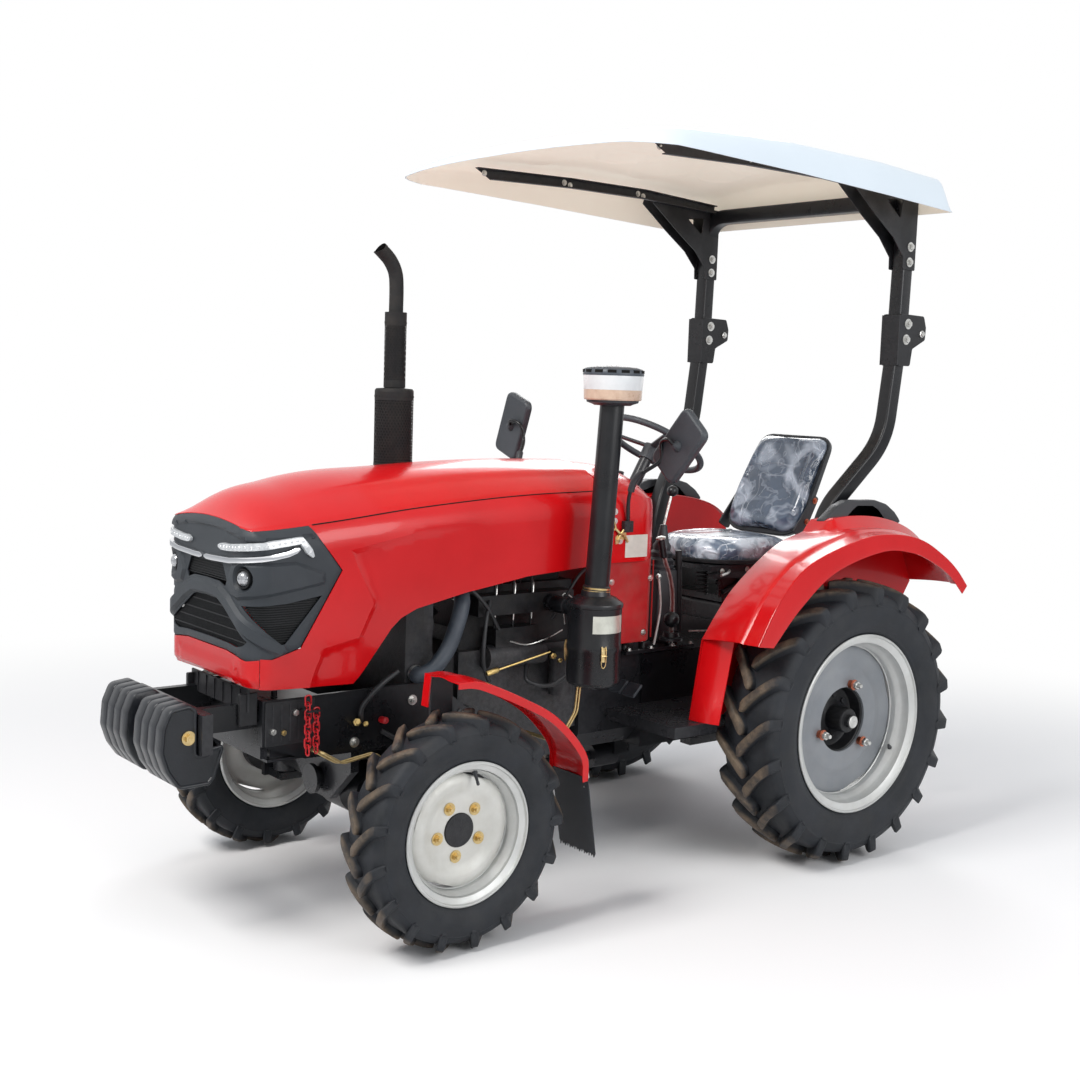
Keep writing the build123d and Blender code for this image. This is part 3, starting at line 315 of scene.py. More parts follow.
def around_axle(tree, centre):
    """Distance from a wheel's axle line, and height above it, for any point of the wheel."""
    place = add_node(tree, "ShaderNodeTexCoord").outputs["Object"]
    local = add_node(tree, "ShaderNodeVectorMath", {"operation": "SUBTRACT"}, _0=place, _1=tuple(centre))
    flat = add_node(tree, "ShaderNodeVectorMath", {"operation": "MULTIPLY"}, _0=local.outputs[0],
                    _1=(0, 1, 1))
    return add_node(tree, "ShaderNodeVectorMath", {"operation": "LENGTH"},
                    _0=flat.outputs[0]).outputs["Value"]


def tyre_finish(name, centre, dust_from, dust_to, amount):
    """Black rubber, with dried soil on the tops of its bars."""
    material = finish(name, "tyre_rubber", (0.008, 0.01, 0.013), (0.019, 0.022, 0.028), 0.5, specular=0.3,
                      grain=(700.0, 0.4), bump=0.0006, dust=(0.18, (0.1, 0.095, 0.09)))
    tree = material.node_tree
    shader = tree.nodes["Principled BSDF"]
    dusty = shader.inputs["Base Color"].links[0].from_socket
    reach = around_axle(tree, centre)
    top = add_node(tree, "ShaderNodeMapRange", Value=reach, From_Min=dust_from,
                   From_Max=dust_to).outputs["Result"]
    place = add_node(tree, "ShaderNodeTexCoord").outputs["Object"]
    crumbs = add_node(tree, "ShaderNodeTexNoise", Vector=place, Scale=11.0, Detail=9.0,
                      Roughness=0.72).outputs["Fac"]
    patch = add_node(tree, "ShaderNodeMapRange", Value=crumbs, From_Min=0.36,
                     From_Max=0.62).outputs["Result"]
    mask = math(tree, "MULTIPLY", math(tree, "MULTIPLY", top, patch), amount, clamp=True)
    soiled = mix_colour(tree, mask, dusty, rgb(0.17, 0.125, 0.085))
    tree.links.new(soiled, shader.inputs["Base Color"])
    return material


RED = finish("red_enamel", "red_paint", (0.52, 0.002, 0.004), (0.6, 0.004, 0.007), 0.22, coat=0.25,
             specular=0.3, drift=3.0, grain=(160.0, 0.0), bump=0.00012, rough_spread=0.05)
# A darker copy of the red paint for the lower cowl under the dash overhang and for the rear fender stays:
# painted shade, with real dust.
RED_IN_SHADE = finish("red_enamel_painted_shade", "red_paint", (0.34, 0.004, 0.006), (0.45, 0.008, 0.01), 0.42,
                   drift=9.0, dust=(0.35, (0.16, 0.12, 0.09)))
BLACK = finish("black_enamel", "black_paint", (0.005, 0.0055, 0.007), (0.011, 0.012, 0.014), 0.25,
               specular=0.35, grain=(240.0, 0.0), bump=0.00018, rubbed=(0.35, (0.09, 0.09, 0.1)))
BLACK_SATIN = finish("black_satin_steel", "black_paint", (0.006, 0.0065, 0.008), (0.013, 0.014, 0.016),
                     0.38, specular=0.3, grain=(500.0, 0.2), bump=0.00025, rubbed=(0.4, (0.1, 0.1, 0.11)),
                     dust=(0.1, (0.1, 0.09, 0.08)))
CAST_BLACK = finish("black_casting", "black_paint", (0.005, 0.0055, 0.0065), (0.013, 0.014, 0.017), 0.36,
                    drift=16.0, specular=0.3, grain=(260.0, 0.8), bump=0.0009,
                    rubbed=(0.5, (0.09, 0.09, 0.1)), dust=(0.14, (0.1, 0.09, 0.08)))
ENGINE_BLACK = finish("engine_black", "engine_black", (0.005, 0.0055, 0.0065), (0.016, 0.017, 0.02), 0.36,
                      drift=18.0, specular=0.3, grain=(240.0, 0.7), bump=0.0008,
                      rubbed=(0.6, (0.13, 0.13, 0.14)), dust=(0.2, (0.13, 0.11, 0.09)))
HEATPROOF = finish("heatproof_black", "exhaust_black", (0.007, 0.007, 0.008), (0.018, 0.018, 0.019), 0.6,
                   specular=0.25, grain=(900.0, 0.3), bump=0.0003, dust=(0.3, (0.09, 0.075, 0.06)))
SILVER = finish("silver_wheel_paint", "rim_silver", (0.5, 0.51, 0.5), (0.62, 0.63, 0.62), 0.36, metal=0.35,
                drift=6.0, grain=(1500.0, 0.2), bump=0.00015, dust=(0.25, (0.34, 0.31, 0.27)))
SILVER_DISC = finish("silver_disc_paint", "rim_silver", (0.52, 0.52, 0.49), (0.66, 0.66, 0.63), 0.4,
                     metal=0.25, drift=5.0, grain=(900.0, 0.3), bump=0.0002, dust=(0.3, (0.4, 0.37, 0.31)))
# A darker copy of the silver disc paint for the rear discs, which sit deep inside the rear wheels: painted
# shade.
REAR_DISC_SHADE = finish("rear_disc_painted_shade", "rim_silver", (0.19, 0.205, 0.225), (0.25, 0.265, 0.285), 0.38,
                   metal=0.1, drift=6.0, grain=(900.0, 0.3), bump=0.0002, dust=(0.15, (0.3, 0.27, 0.23)))
NOSE_PLASTIC = finish("nose_moulding", "grille_plastic", (0.026, 0.031, 0.037), (0.04, 0.046, 0.054), 0.42,
                      drift=5.0, grain=(1300.0, 0.6), bump=0.0002, specular=0.3)
NOSE_DARK = finish("nose_inset", "grille_plastic", (0.007, 0.008, 0.009), (0.014, 0.015, 0.017), 0.5,
                   drift=9.0, specular=0.25, grain=(1300.0, 0.6), bump=0.0002)
SOFT_BLACK = finish("soft_black_moulding", "mirror_plastic", (0.016, 0.018, 0.022), (0.028, 0.031, 0.037),
                    0.42, drift=9.0, grain=(1500.0, 0.5), bump=0.00018)
MIRROR_SHELL = finish("mirror_shell", "mirror_plastic", (0.03, 0.036, 0.044), (0.044, 0.051, 0.061), 0.4,
                      drift=12.0, grain=(1300.0, 0.7), bump=0.0003)
CHROME = finish("chrome_strip", "lamp_lens", (0.8, 0.81, 0.83), (0.9, 0.91, 0.92), 0.1, metal=1.0,
                drift=4.0)
GOLD_ZINC = finish("yellow_zinc", "zinc", (0.5, 0.36, 0.15), (0.66, 0.52, 0.27), 0.3, metal=1.0, drift=60.0,
                   grain=(1500.0, 0.0), bump=0.0001)
WHITE_ZINC = finish("white_zinc", "zinc", (0.52, 0.52, 0.5), (0.72, 0.72, 0.7), 0.3, metal=1.0, drift=60.0,
                    grain=(1500.0, 0.0), bump=0.0001)
AMBER = finish("amber_lens", "lamp_lens", (0.75, 0.22, 0.01), (0.85, 0.3, 0.02), 0.12, coat=1.0)
COPPER = finish("copper_washer", "zinc", (0.42, 0.12, 0.07), (0.58, 0.2, 0.12), 0.38, metal=1.0, drift=70.0)
HOSE = finish("moulded_hose", "hose_rubber", (0.03, 0.04, 0.055), (0.055, 0.07, 0.092), 0.46, drift=14.0,
              grain=(500.0, 0.3), bump=0.0004, dust=(0.25, (0.12, 0.12, 0.12)))
BLACK_HOSE = finish("black_hose", "hose_rubber", (0.012, 0.013, 0.015), (0.028, 0.03, 0.034), 0.45,
                    drift=20.0, grain=(700.0, 0.3), bump=0.0003)
CHAIN_RED = finish("red_chain_plastic", "red_paint", (0.5, 0.006, 0.012), (0.62, 0.012, 0.02), 0.34,
                   drift=20.0)
BLANK_LABEL = finish("bare_white_plate", "rim_silver", (0.56, 0.55, 0.5), (0.68, 0.66, 0.6), 0.35,
                     drift=30.0)
BLANK_FOIL = finish("bare_foil_plate", "rim_silver", (0.5, 0.51, 0.45), (0.66, 0.67, 0.6), 0.28, metal=0.6,
                    drift=24.0)
# Near-black: painted shade in the hood seam, the gap round the nose moulding and the bowl's vent slots, and
# the colour of the collar round the stack.
GAP_SHADE_BLACK = finish("gap_shade_black", "engine_black", (0.004, 0.004, 0.004), (0.008, 0.008, 0.008), 0.8,
                  specular=0.2)
BRASS = finish("brass", "zinc", (0.48, 0.34, 0.12), (0.62, 0.46, 0.2), 0.32, metal=1.0, drift=40.0)
LAMP_CLEAR = finish("clear_lamp_cover", "lamp_lens", (0.42, 0.44, 0.46), (0.6, 0.62, 0.64), 0.1, coat=1.0,
                    drift=60.0, contrast=3.0)
LAMP_CELL = finish("lamp_cells", "lamp_lens", (0.7, 0.72, 0.74), (0.85, 0.86, 0.87), 0.12, metal=0.5,
                   coat=1.0)
LAMP_GLASS = finish("lamp_lens", "lamp_lens", (0.2, 0.21, 0.23), (0.46, 0.47, 0.49), 0.05, metal=0.55,
                    coat=1.0, drift=40.0, contrast=4.0)
WEIGHT_BLACK = finish("weight_enamel", "black_paint", (0.006, 0.0075, 0.01), (0.013, 0.0155, 0.02), 0.3,
                      drift=9.0, specular=0.4, grain=(120.0, 0.0), bump=0.0005,
                      rubbed=(0.4, (0.08, 0.085, 0.1)))
BOWL_MILKY = finish("milky_bowl", "precleaner_plastic", (0.6, 0.62, 0.64), (0.74, 0.75, 0.76), 0.16,
                    coat=0.4, drift=8.0)
BOWL_DUST = finish("dust_in_bowl", "precleaner_plastic", (0.5, 0.34, 0.25), (0.62, 0.46, 0.35), 0.25,
                   coat=0.4, drift=30.0)
BOWL_CAP = finish("cap_plastic", "mirror_plastic", (0.045, 0.055, 0.07), (0.075, 0.088, 0.105), 0.36,
                  drift=14.0)
RUBBER_MAT = finish("platform_rubber", "black_paint", (0.02, 0.024, 0.03), (0.04, 0.046, 0.055), 0.5,
                    drift=20.0, specular=0.3)


def make_film():
    """Clear film drawn over a pad: its wrinkle lines as a height, and a painted sheen as a colour, pale
    lines and patches that stand in for the film's highlights and reflections.
    """
    group, start, end = new_group(
        "wrinkled_film_painted_sheen",
        [("Under", COLOUR, (0, 0, 0, 1)), ("Ridge", COLOUR, (0.6, 0.6, 0.6, 1)), ("Scale", FLOAT, 9),
         ("Amount", FLOAT, 0.7)],
        [("Color", COLOUR), ("Height", FLOAT)],
    )
    place = add_node(group, "ShaderNodeTexCoord").outputs["Object"]
    total = None
    # Thin pale lines along the wrinkles: painted highlights, also used as the wrinkles' height.
    for factor, width, weight in ((1.0, 0.022, 0.45), (2.3, 0.03, 0.35)):
        size = math(group, "MULTIPLY", start.outputs["Scale"], factor)
        noise = add_node(group, "ShaderNodeTexNoise", Vector=place, Scale=size, Detail=2.0, Roughness=0.5,
                         Distortion=0.8)
        away = math(group, "ABSOLUTE", math(group, "SUBTRACT", noise.outputs["Fac"], 0.5), 0.0)
        line = add_node(group, "ShaderNodeMapRange", Value=away, From_Min=0.0, From_Max=width, To_Min=1.0,
                        To_Max=0.0)
        line.interpolation_type = "SMOOTHSTEP"
        part = math(group, "MULTIPLY", line.outputs["Result"], weight)
        total = part if total is None else math(group, "ADD", total, part)
    # Larger pale patches: painted reflections on the film.
    cloud = add_node(group, "ShaderNodeTexNoise", Vector=place, Scale=5.0, Detail=2.0, Roughness=0.5,
                     Distortion=1.5)
    patch = add_node(group, "ShaderNodeMapRange", Value=cloud.outputs["Fac"], From_Min=0.46, From_Max=0.6,
                     To_Min=0.0, To_Max=0.85)
    lit = math(group, "MULTIPLY", math(group, "ADD", total, patch.outputs["Result"]),
               start.outputs["Amount"])
    group.links.new(mix_colour(group, lit, start.outputs["Under"], start.outputs["Ridge"]),
                    end.inputs["Color"])
    group.links.new(total, end.inputs["Height"])
    return group


FILM = make_film()


def film_finish(name, under, ridge, scale, amount, rise):
    """Dark vinyl under clear wrinkled film, with the film's highlights and reflections painted on as pale
    sheen.
    """
    material = finish(name, "seat_vinyl", under, tuple(2.0 * c for c in under), 0.24, coat=0.8,
                      specular=0.5, drift=7.0)
    tree = material.node_tree
    shader = tree.nodes["Principled BSDF"]
    below = shader.inputs["Base Color"].links[0].from_socket
    film = place_group(tree, FILM, Under=below, Ridge=rgb(*ridge), Scale=scale, Amount=amount)
    tree.links.new(film.outputs["Color"], shader.inputs["Base Color"])
    bump = add_node(tree, "ShaderNodeBump", Strength=1.0, Distance=rise, Height=film.outputs["Height"])
    tree.links.new(bump.outputs["Normal"], shader.inputs["Normal"])
    return material


# The pale sheen colours are painted highlights and reflections of the film; the back's darker copy with a
# dimmer sheen is painted shade on the upright back.
SEAT_FILM = film_finish("film_on_cushion", (0.07, 0.1, 0.145), (0.72, 0.79, 0.88), 4.2, 0.9, 0.005)
BACK_FILM = film_finish("film_on_back", (0.03, 0.05, 0.085), (0.48, 0.55, 0.66), 4.6, 0.8, 0.005)
CANOPY_TOP = finish("canopy_gel_coat", "canopy_white", (0.62, 0.7, 0.77), (0.68, 0.76, 0.83), 0.3, coat=0.2,
                    drift=2.5, contrast=1.0)
CANOPY_UNDER = finish("canopy_underside", "canopy_white", (0.72, 0.65, 0.54), (0.82, 0.76, 0.66), 0.5,
                      drift=3.0, contrast=1.2)
# Painted light: both sides of the shell glow though they are no lamps, faintly bluish on top and warm
# underneath, standing in for light through the translucent shell.
for shell_look, painted_glow, painted_glow_strength in ((CANOPY_TOP, rgb(0.86, 0.94, 1.0), 0.06),
        (CANOPY_UNDER, rgb(1.0, 0.93, 0.8), 0.26)):
    shader = shell_look.node_tree.nodes["Principled BSDF"]
    shader.inputs["Emission Color"].default_value = painted_glow
    shader.inputs["Emission Strength"].default_value = painted_glow_strength


# ---------------------------------------------------------------- forms
def settle(form):
    """Merge doubles and point every face outwards."""
    bmesh.ops.remove_doubles(form, verts=form.verts, dist=1e-6)
    bmesh.ops.recalc_face_normals(form, faces=form.faces)


def ease_edges(form, width, angle=35, segments=2):
    """Round every edge that turns by more than the angle."""
    sharp = [e for e in form.edges if len(e.link_faces) == 2 and e.calc_face_angle(0) > radians(angle)]
    if sharp:
        bmesh.ops.bevel(form, geom=sharp, offset=width, segments=segments, affect="EDGES", profile=0.7,
                        clamp_overlap=True)


def as_mesh(name, form):
    mesh = bpy.data.meshes.new(name)
    form.to_mesh(mesh)
    form.free()
    return mesh


def piece(name, mesh, material, body="chassis", sharp=32, in_place_of=(), ease=None, settled=False):
    """A finished piece: its material, its shading and the CAD body it rides on.

    A form is settled first, and ease gives the width, angle and steps to round its edges.
    """
    if isinstance(mesh, bmesh.types.BMesh):
        if not settled:
            settle(mesh)
        if ease:
            ease_edges(mesh, *ease)
        mesh = as_mesh(name, mesh)
    for one in (material if isinstance(material, (list, tuple)) else [material]):
        mesh.materials.append(one)
    mesh.shade_smooth()
    mesh.set_sharp_from_angle(angle=radians(sharp))
    obj = bpy.data.objects.new(name, mesh)
    bpy.context.scene.collection.objects.link(obj)
    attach(obj, body)
    if in_place_of:
        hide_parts(*in_place_of)
    return obj


def mm(value):
    """Sizes written in millimetres, as metres."""
    if isinstance(value, (list, tuple)):
        return type(value)(mm(v) for v in value)
    return round(value / 1000, 7)


def new_form():
    return bmesh.new()


def add_faces(form, points, faces):
    corners = [form.verts.new(p) for p in points]
    for face in faces:
        form.faces.new([corners[i] for i in face])
    return corners


BOX_FACES = [(0, 1, 3, 2), (4, 6, 7, 5), (0, 4, 5, 1), (2, 3, 7, 6), (0, 2, 6, 4), (1, 5, 7, 3)]


def add_box(form, low, high, turn=None, about=None):
    (x0, y0, z0), (x1, y1, z1) = low, high
    points = [Vector((x, y, z)) for x in (x0, x1) for y in (y0, y1) for z in (z0, z1)]
    if turn is not None:
        about = Vector(about) if about is not None else (Vector(low) + Vector(high)) / 2
        points = [about + turn @ (p - about) for p in points]
    return add_faces(form, points, BOX_FACES)


def add_slab(form, outline, place, depth):
    """A closed flat outline carried along a depth; place turns (a, b, d) into a point."""
    count = len(outline)
    points = [place(a, b, 0) for a, b in outline] + [place(a, b, depth) for a, b in outline]
    faces = [tuple(range(count))[::-1], tuple(range(count, 2 * count))]
    faces += [(i, (i + 1) % count, count + (i + 1) % count, count + i) for i in range(count)]
    return add_faces(form, points, faces)


def across(x0):
    """Outlines given as (y, z), carried along X from x0."""
    return lambda a, b, d: Vector((x0 + d, a, b))


def above(z0):
    """Outlines given as (x, y), carried along Z from z0."""
    return lambda a, b, d: Vector((a, b, z0 + d))


def outwards(side, x0):
    """Places (y, z) outlines in the fore-and-aft plane, standing out to one side."""
    return lambda a, b, d: Vector((side * (x0 + d), a, b))


def rounded(outline, radius, steps=5):
    """A closed outline with each corner turned into an arc; radius is one value or one for each corner."""
    count = len(outline)
    radii = radius if isinstance(radius, (list, tuple)) else [radius] * count
    result = []
    for i, corner in enumerate(outline):
        here, before, after = Vector(corner), Vector(outline[i - 1]), Vector(outline[(i + 1) % count])
        to_before, to_after = (before - here), (after - here)
        reach = min(to_before.length, to_after.length) * 0.49
        turn = pi - to_before.angle(to_after)
        if radii[i] <= 0 or turn < 0.02:
            result.append((here.x, here.y))
            continue
        cut = min(radii[i] * abs(sin(turn / 2) / cos(turn / 2)), reach)
        a, b = here + to_before.normalized() * cut, here + to_after.normalized() * cut
        for k in range(steps + 1):
            t = k / steps
            p = a * (1 - t) ** 2 + here * 2 * t * (1 - t) + b * t * t
            result.append((p.x, p.y))
    return result


def turn_to(axis):
    return Vector((0, 0, 1)).rotation_difference(Vector(axis)).to_matrix()


def add_turned(form, outline, centre, axis, sides=48, closed=False):
    """A lathe form: outline is (height, radius) from the foot up; a ring has no closed ends."""
    centre, turn = Vector(centre), turn_to(axis)
    rings = []
    for height, radius in outline:
        if radius < 1e-6:
            rings.append([form.verts.new(centre + turn @ Vector((0, 0, height)))])
            continue
        rings.append([
            form.verts.new(centre + turn @ Vector((radius * cos(tau * k / sides),
                radius * sin(tau * k / sides), height)))
            for k in range(sides)
        ])
    pairs = list(zip(rings, rings[1:]))
    if closed:
        pairs.append((rings[-1], rings[0]))
    for lower, upper in pairs:
        for k in range(sides):
            n = (k + 1) % sides
            if len(lower) == 1 and len(upper) == 1:
                continue
            if len(lower) == 1:
                form.faces.new((lower[0], upper[n], upper[k]))
            elif len(upper) == 1:
                form.faces.new((lower[k], lower[n], upper[0]))
            else:
                form.faces.new((lower[k], lower[n], upper[n], upper[k]))
    if not closed:
        if len(rings[0]) > 1:
            form.faces.new(rings[0][::-1])
        if len(rings[-1]) > 1:
            form.faces.new(rings[-1])


def smooth_line(points, steps=6):
    """A line through all the points, smooth at each."""
    points = [Vector(p) for p in points]
    padded = [2 * points[0] - points[1], *points, 2 * points[-1] - points[-2]]
    line = []
    for i in range(1, len(padded) - 2):
        p0, p1, p2, p3 = padded[i - 1:i + 3]
        for k in range(steps):
            t = k / steps
            line.append(0.5 * (2 * p1 + (p2 - p0) * t + (2 * p0 - 5 * p1 + 4 * p2 - p3) * t * t
                               + (3 * p1 - p0 - 3 * p2 + p3) * t ** 3))
    line.append(points[-1])
    return line


def bent_line(points, bend, steps=7):
    """Straight runs joined by bends."""
    points = [Vector(p) for p in points]
    line = [points[0]]
    for before, here, after in zip(points, points[1:], points[2:]):
        a, b = (before - here), (after - here)
        cut = min(bend, a.length * 0.49, b.length * 0.49)
        start, finish_point = here + a.normalized() * cut, here + b.normalized() * cut
        for k in range(steps + 1):
            t = k / steps
            line.append(start * (1 - t) ** 2 + here * 2 * t * (1 - t) + finish_point * t * t)
    line.append(points[-1])
    return line


def frames_along(line):
    """A steady pair of side directions at each point of a line."""
    tangents = []
    for i in range(len(line)):
        before, after = line[max(i - 1, 0)], line[min(i + 1, len(line) - 1)]
        tangents.append((after - before).normalized())
    side = tangents[0].orthogonal().normalized()
    for axis in (Vector((1, 0, 0)), Vector((0, 0, 1))):
        if abs(tangents[0].dot(axis)) < 0.5:
            side = (axis - tangents[0] * axis.dot(tangents[0])).normalized()
            break
    frames = []
    for i, tangent in enumerate(tangents):
        if i:
            side = tangents[i - 1].rotation_difference(tangent) @ side
        side = (side - tangent * side.dot(tangent)).normalized()
        frames.append((side, tangent.cross(side)))
    return frames


def add_swept(form, line, section, caps=True):
    """A section carried along a line: (a, b) points, or a function of the share of the way along."""
    line = [Vector(p) for p in line]
    frames = frames_along(line)
    rings = []
    for i, (point, (side, other)) in enumerate(zip(line, frames)):
        outline = section(i / (len(line) - 1)) if callable(section) else section
        rings.append([form.verts.new(point + side * a + other * b) for a, b in outline])
    count = len(rings[0])
    for lower, upper in zip(rings, rings[1:]):
        for k in range(count):
            n = (k + 1) % count
            form.faces.new((lower[k], lower[n], upper[n], upper[k]))
    if caps:
        form.faces.new(rings[0][::-1])
        form.faces.new(rings[-1])


def circle(radius, sides=14):
    return [(radius * cos(tau * k / sides), radius * sin(tau * k / sides)) for k in range(sides)]


def add_pipe(form, points, radius, bend=None, sides=14):
    line = bent_line(points, bend) if bend else smooth_line(points)
    add_swept(form, line, circle(radius, sides))


def add_loft(form, rows, closed_rows=True, caps=True):
    """A skin over rows of points, each row the same length."""
    rings = [[form.verts.new(p) for p in row] for row in rows]
    count = len(rings[0])
    spans = count if closed_rows else count - 1
    for lower, upper in zip(rings, rings[1:]):
        for k in range(spans):
            n = (k + 1) % count
            form.faces.new((lower[k], lower[n], upper[n], upper[k]))
    if caps and closed_rows:
        form.faces.new(rings[0][::-1])
        form.faces.new(rings[-1])


def inside(point, outline):
    x, y = point
    hit = False
    for (x0, y0), (x1, y1) in zip(outline, outline[1:] + outline[:1]):
        if (y0 > y) != (y1 > y) and x < (x1 - x0) * (y - y0) / (y1 - y0) + x0:
            hit = not hit
    return hit


def away_from(points, line):
    """Distance of each of many points from a polyline."""
    points = np.asarray(points, float)
    best = np.full(len(points), 1e9)
    for a, b in zip(line, line[1:]):
        a, b = np.array(a, float), np.array(b, float)
        span = b - a
        t = np.clip(((points - a) @ span) / max(span @ span, 1e-12), 0, 1)
        best = np.minimum(best, np.hypot(*(points - a - t[:, None] * span).T))
    return best


def divided(line, step):
    """The same polyline with points no further apart than step."""
    result = [tuple(line[0])]
    for a, b in zip(line, line[1:]):
        count = max(1, int(np.ceil(hypot(b[0] - a[0], b[1] - a[1]) / step)))
        result += [(a[0] + (b[0] - a[0]) * k / count, a[1] + (b[1] - a[1]) * k / count)
                   for k in range(1, count + 1)]
    return result


def panel_points(outline, creases, step, holes=()):
    """Flat triangles that fill an outline and follow its creases."""
    loops = [divided([*loop, loop[0]], step)[:-1] for loop in (outline, *holes)]
    lines = [divided(line, step) for line in creases]
    points, edges = [], []
    for loop in loops:
        first = len(points)
        points += loop
        edges += [(first + i, first + (i + 1) % len(loop)) for i in range(len(loop))]
    for line in lines:
        first = len(points)
        points += line
        edges += [(first + i, first + i + 1) for i in range(len(line) - 1)]
    low, high = np.min(outline, 0), np.max(outline, 0)
    grid = [
        (a + (step / 2 if row % 2 else 0), b)
        for row, b in enumerate(np.arange(low[1], high[1], step * 0.87))
        for a in np.arange(low[0], high[0], step)
    ]
    keep = np.full(len(grid), True)
    for line in [[*loop, loop[0]] for loop in loops] + lines:
        keep &= away_from(grid, line) > step * 0.55
    points += [g for g, k in zip(grid, keep) if k and inside(g, outline)]
    flat, _, faces, *_ = delaunay_2d_cdt([Vector(p) for p in points], edges, [], 0, 1e-7)
    chosen = []
    for face in faces:
        middle = sum((flat[i] for i in face), Vector((0, 0))) / len(face)
        if inside(middle, outline) and not any(inside(middle, hole) for hole in holes):
            chosen.append(tuple(face))
    return [(p.x, p.y) for p in flat], chosen


def double_sheet(faces):
    """The points that faces use, and the faces of a closed sheet over them: front, back and rims."""
    edges = {}
    for face in faces:
        for a, b in zip(face, face[1:] + face[:1]):
            edges[frozenset((a, b))] = None if frozenset((a, b)) in edges else (a, b)
    used = sorted({i for face in faces for i in face})
    rank, count = {i: k for k, i in enumerate(used)}, len(used)
    sheets = [tuple(rank[i] for i in face) for face in faces]
    sheets += [tuple(count + rank[i] for i in face)[::-1] for face in faces]
    sheets += [(rank[b], rank[a], count + rank[a], count + rank[b])
               for a, b in filter(None, edges.values())]
    return used, sheets


def add_panel(form, outline, place, gauge, creases=(), step=0.02, holes=(), rim=0.002):
    """A sheet over an outline with creases; place(a, b) gives its outer face, and gauge lies inwards."""
    flat, faces = panel_points(outline, creases, step, holes)
    outer = [Vector(place(a, b)) for a, b in flat]
    normals = [Vector() for _ in outer]
    for face in faces:
        a, b, c = (outer[i] for i in face)
        normal = (b - a).cross(c - a)
        for i in face:
            normals[i] += normal
    used, sheets = double_sheet(faces)
    return add_faces(form, [outer[i] for i in used] + [outer[i] - normals[i].normalized() * gauge
        for i in used], sheets)


# ---------------------------------------------------------------- repeats made by nodes
def new_tree(name, sockets):
    tree = bpy.data.node_groups.new(name, "GeometryNodeTree")
    tree.interface.new_socket("Geometry", in_out="INPUT", socket_type="NodeSocketGeometry")
    tree.interface.new_socket("Geometry", in_out="OUTPUT", socket_type="NodeSocketGeometry")
    for label, kind in sockets:
        tree.interface.new_socket(label, in_out="INPUT", socket_type=kind)
    return tree, tree.nodes.new("NodeGroupInput"), tree.nodes.new("NodeGroupOutput")


def evaluated(obj):
    """The mesh of an object with its modifiers applied."""
    return bpy.data.meshes.new_from_object(obj.evaluated_get(bpy.context.evaluated_depsgraph_get()))


def grown(start_mesh, tree, values):
    """Runs a node tree on a mesh and gives the result as a plain mesh."""
    holder = bpy.data.objects.new("work", start_mesh)
    bpy.context.scene.collection.objects.link(holder)
    growth = holder.modifiers.new("growth", "NODES")
    growth.node_group = tree
    for item in tree.interface.items_tree:
        if item.item_type == "SOCKET" and item.in_out == "INPUT" and item.name in values:
            growth[item.identifier] = values[item.name]
    bpy.context.view_layer.update()
    result = evaluated(holder)
    bpy.data.objects.remove(holder)
    result.materials.clear()
    return result


CORNER_SHARE = 0.577  # corner radius of a hexagon, for its width across flats


def make_bolt_tree():
    """Hexagon heads on washers, one at each point, standing along the point's axis attribute."""
    tree, start, end = new_tree("hexagon_bolts", [
        ("Across", FLOAT), ("Head", FLOAT), ("Washer", FLOAT), ("Finish", MATERIAL),
    ])
    across, tall, thin = (start.outputs[key] for key in ("Across", "Head", "Washer"))
    half = math(tree, "MULTIPLY", across, CORNER_SHARE)
    head = add_node(tree, "GeometryNodeMeshCylinder", Vertices=6, Radius=half, Depth=tall)
    lift = math(tree, "MULTIPLY_ADD", tall, 0.5, thin)
    up = add_node(tree, "ShaderNodeCombineXYZ", Z=lift)
    head = add_node(tree, "GeometryNodeTransform", Geometry=head.outputs["Mesh"], Translation=up.outputs[0])
    wide = math(tree, "MULTIPLY", across, 0.92)
    washer = add_node(tree, "GeometryNodeMeshCylinder", Vertices=16, Radius=wide, Depth=thin)
    lift = math(tree, "MULTIPLY", thin, 0.5)
    up = add_node(tree, "ShaderNodeCombineXYZ", Z=lift)
    washer = add_node(tree, "GeometryNodeTransform", Geometry=washer.outputs["Mesh"],
                      Translation=up.outputs[0])
    thread_radius = math(tree, "MULTIPLY", across, 0.3)
    thread_height = math(tree, "MULTIPLY", tall, 3.0)
    thread = add_node(tree, "GeometryNodeMeshCylinder", Vertices=12, Radius=thread_radius,
                      Depth=thread_height)
    bolt = tree.nodes.new("GeometryNodeJoinGeometry")
    for part in (head, washer, thread):
        tree.links.new(part.outputs[0], bolt.inputs[0])
    axis = add_node(tree, "GeometryNodeInputNamedAttribute", {"data_type": "FLOAT_VECTOR"}, Name="axis")
    turn = add_node(tree, "FunctionNodeAlignRotationToVector", {"axis": "Z"}, Vector=axis.outputs[0])
    spots = add_node(tree, "GeometryNodeMeshToPoints", Mesh=start.outputs["Geometry"])
    set_out = add_node(tree, "GeometryNodeInstanceOnPoints", Points=spots.outputs[0],
                       Instance=bolt.outputs[0], Rotation=turn.outputs[0])
    whole = add_node(tree, "GeometryNodeRealizeInstances", Geometry=set_out.outputs[0])
    dressed = add_node(tree, "GeometryNodeSetMaterial", Geometry=whole.outputs[0],
                       Material=start.outputs["Finish"])
    tree.links.new(dressed.outputs[0], end.inputs[0])
    return tree


BOLT_TREE = make_bolt_tree()


def bolts(name, spots, across, material, body="chassis", head=None, washer=0.002):
    """Bolt heads at (place, direction) spots."""
    mesh = bpy.data.meshes.new(name)
    mesh.from_pydata([tuple(place) for place, _ in spots], [], [])
    axis = mesh.attributes.new("axis", "FLOAT_VECTOR", "POINT")
    axis.data.foreach_set("vector", [c for _, direction in spots for c in Vector(direction).normalized()])
    values = {"Across": across, "Head": head or across * 0.62, "Washer": washer, "Finish": material}
    return piece(name, grown(mesh, BOLT_TREE, values), material, body, sharp=30)


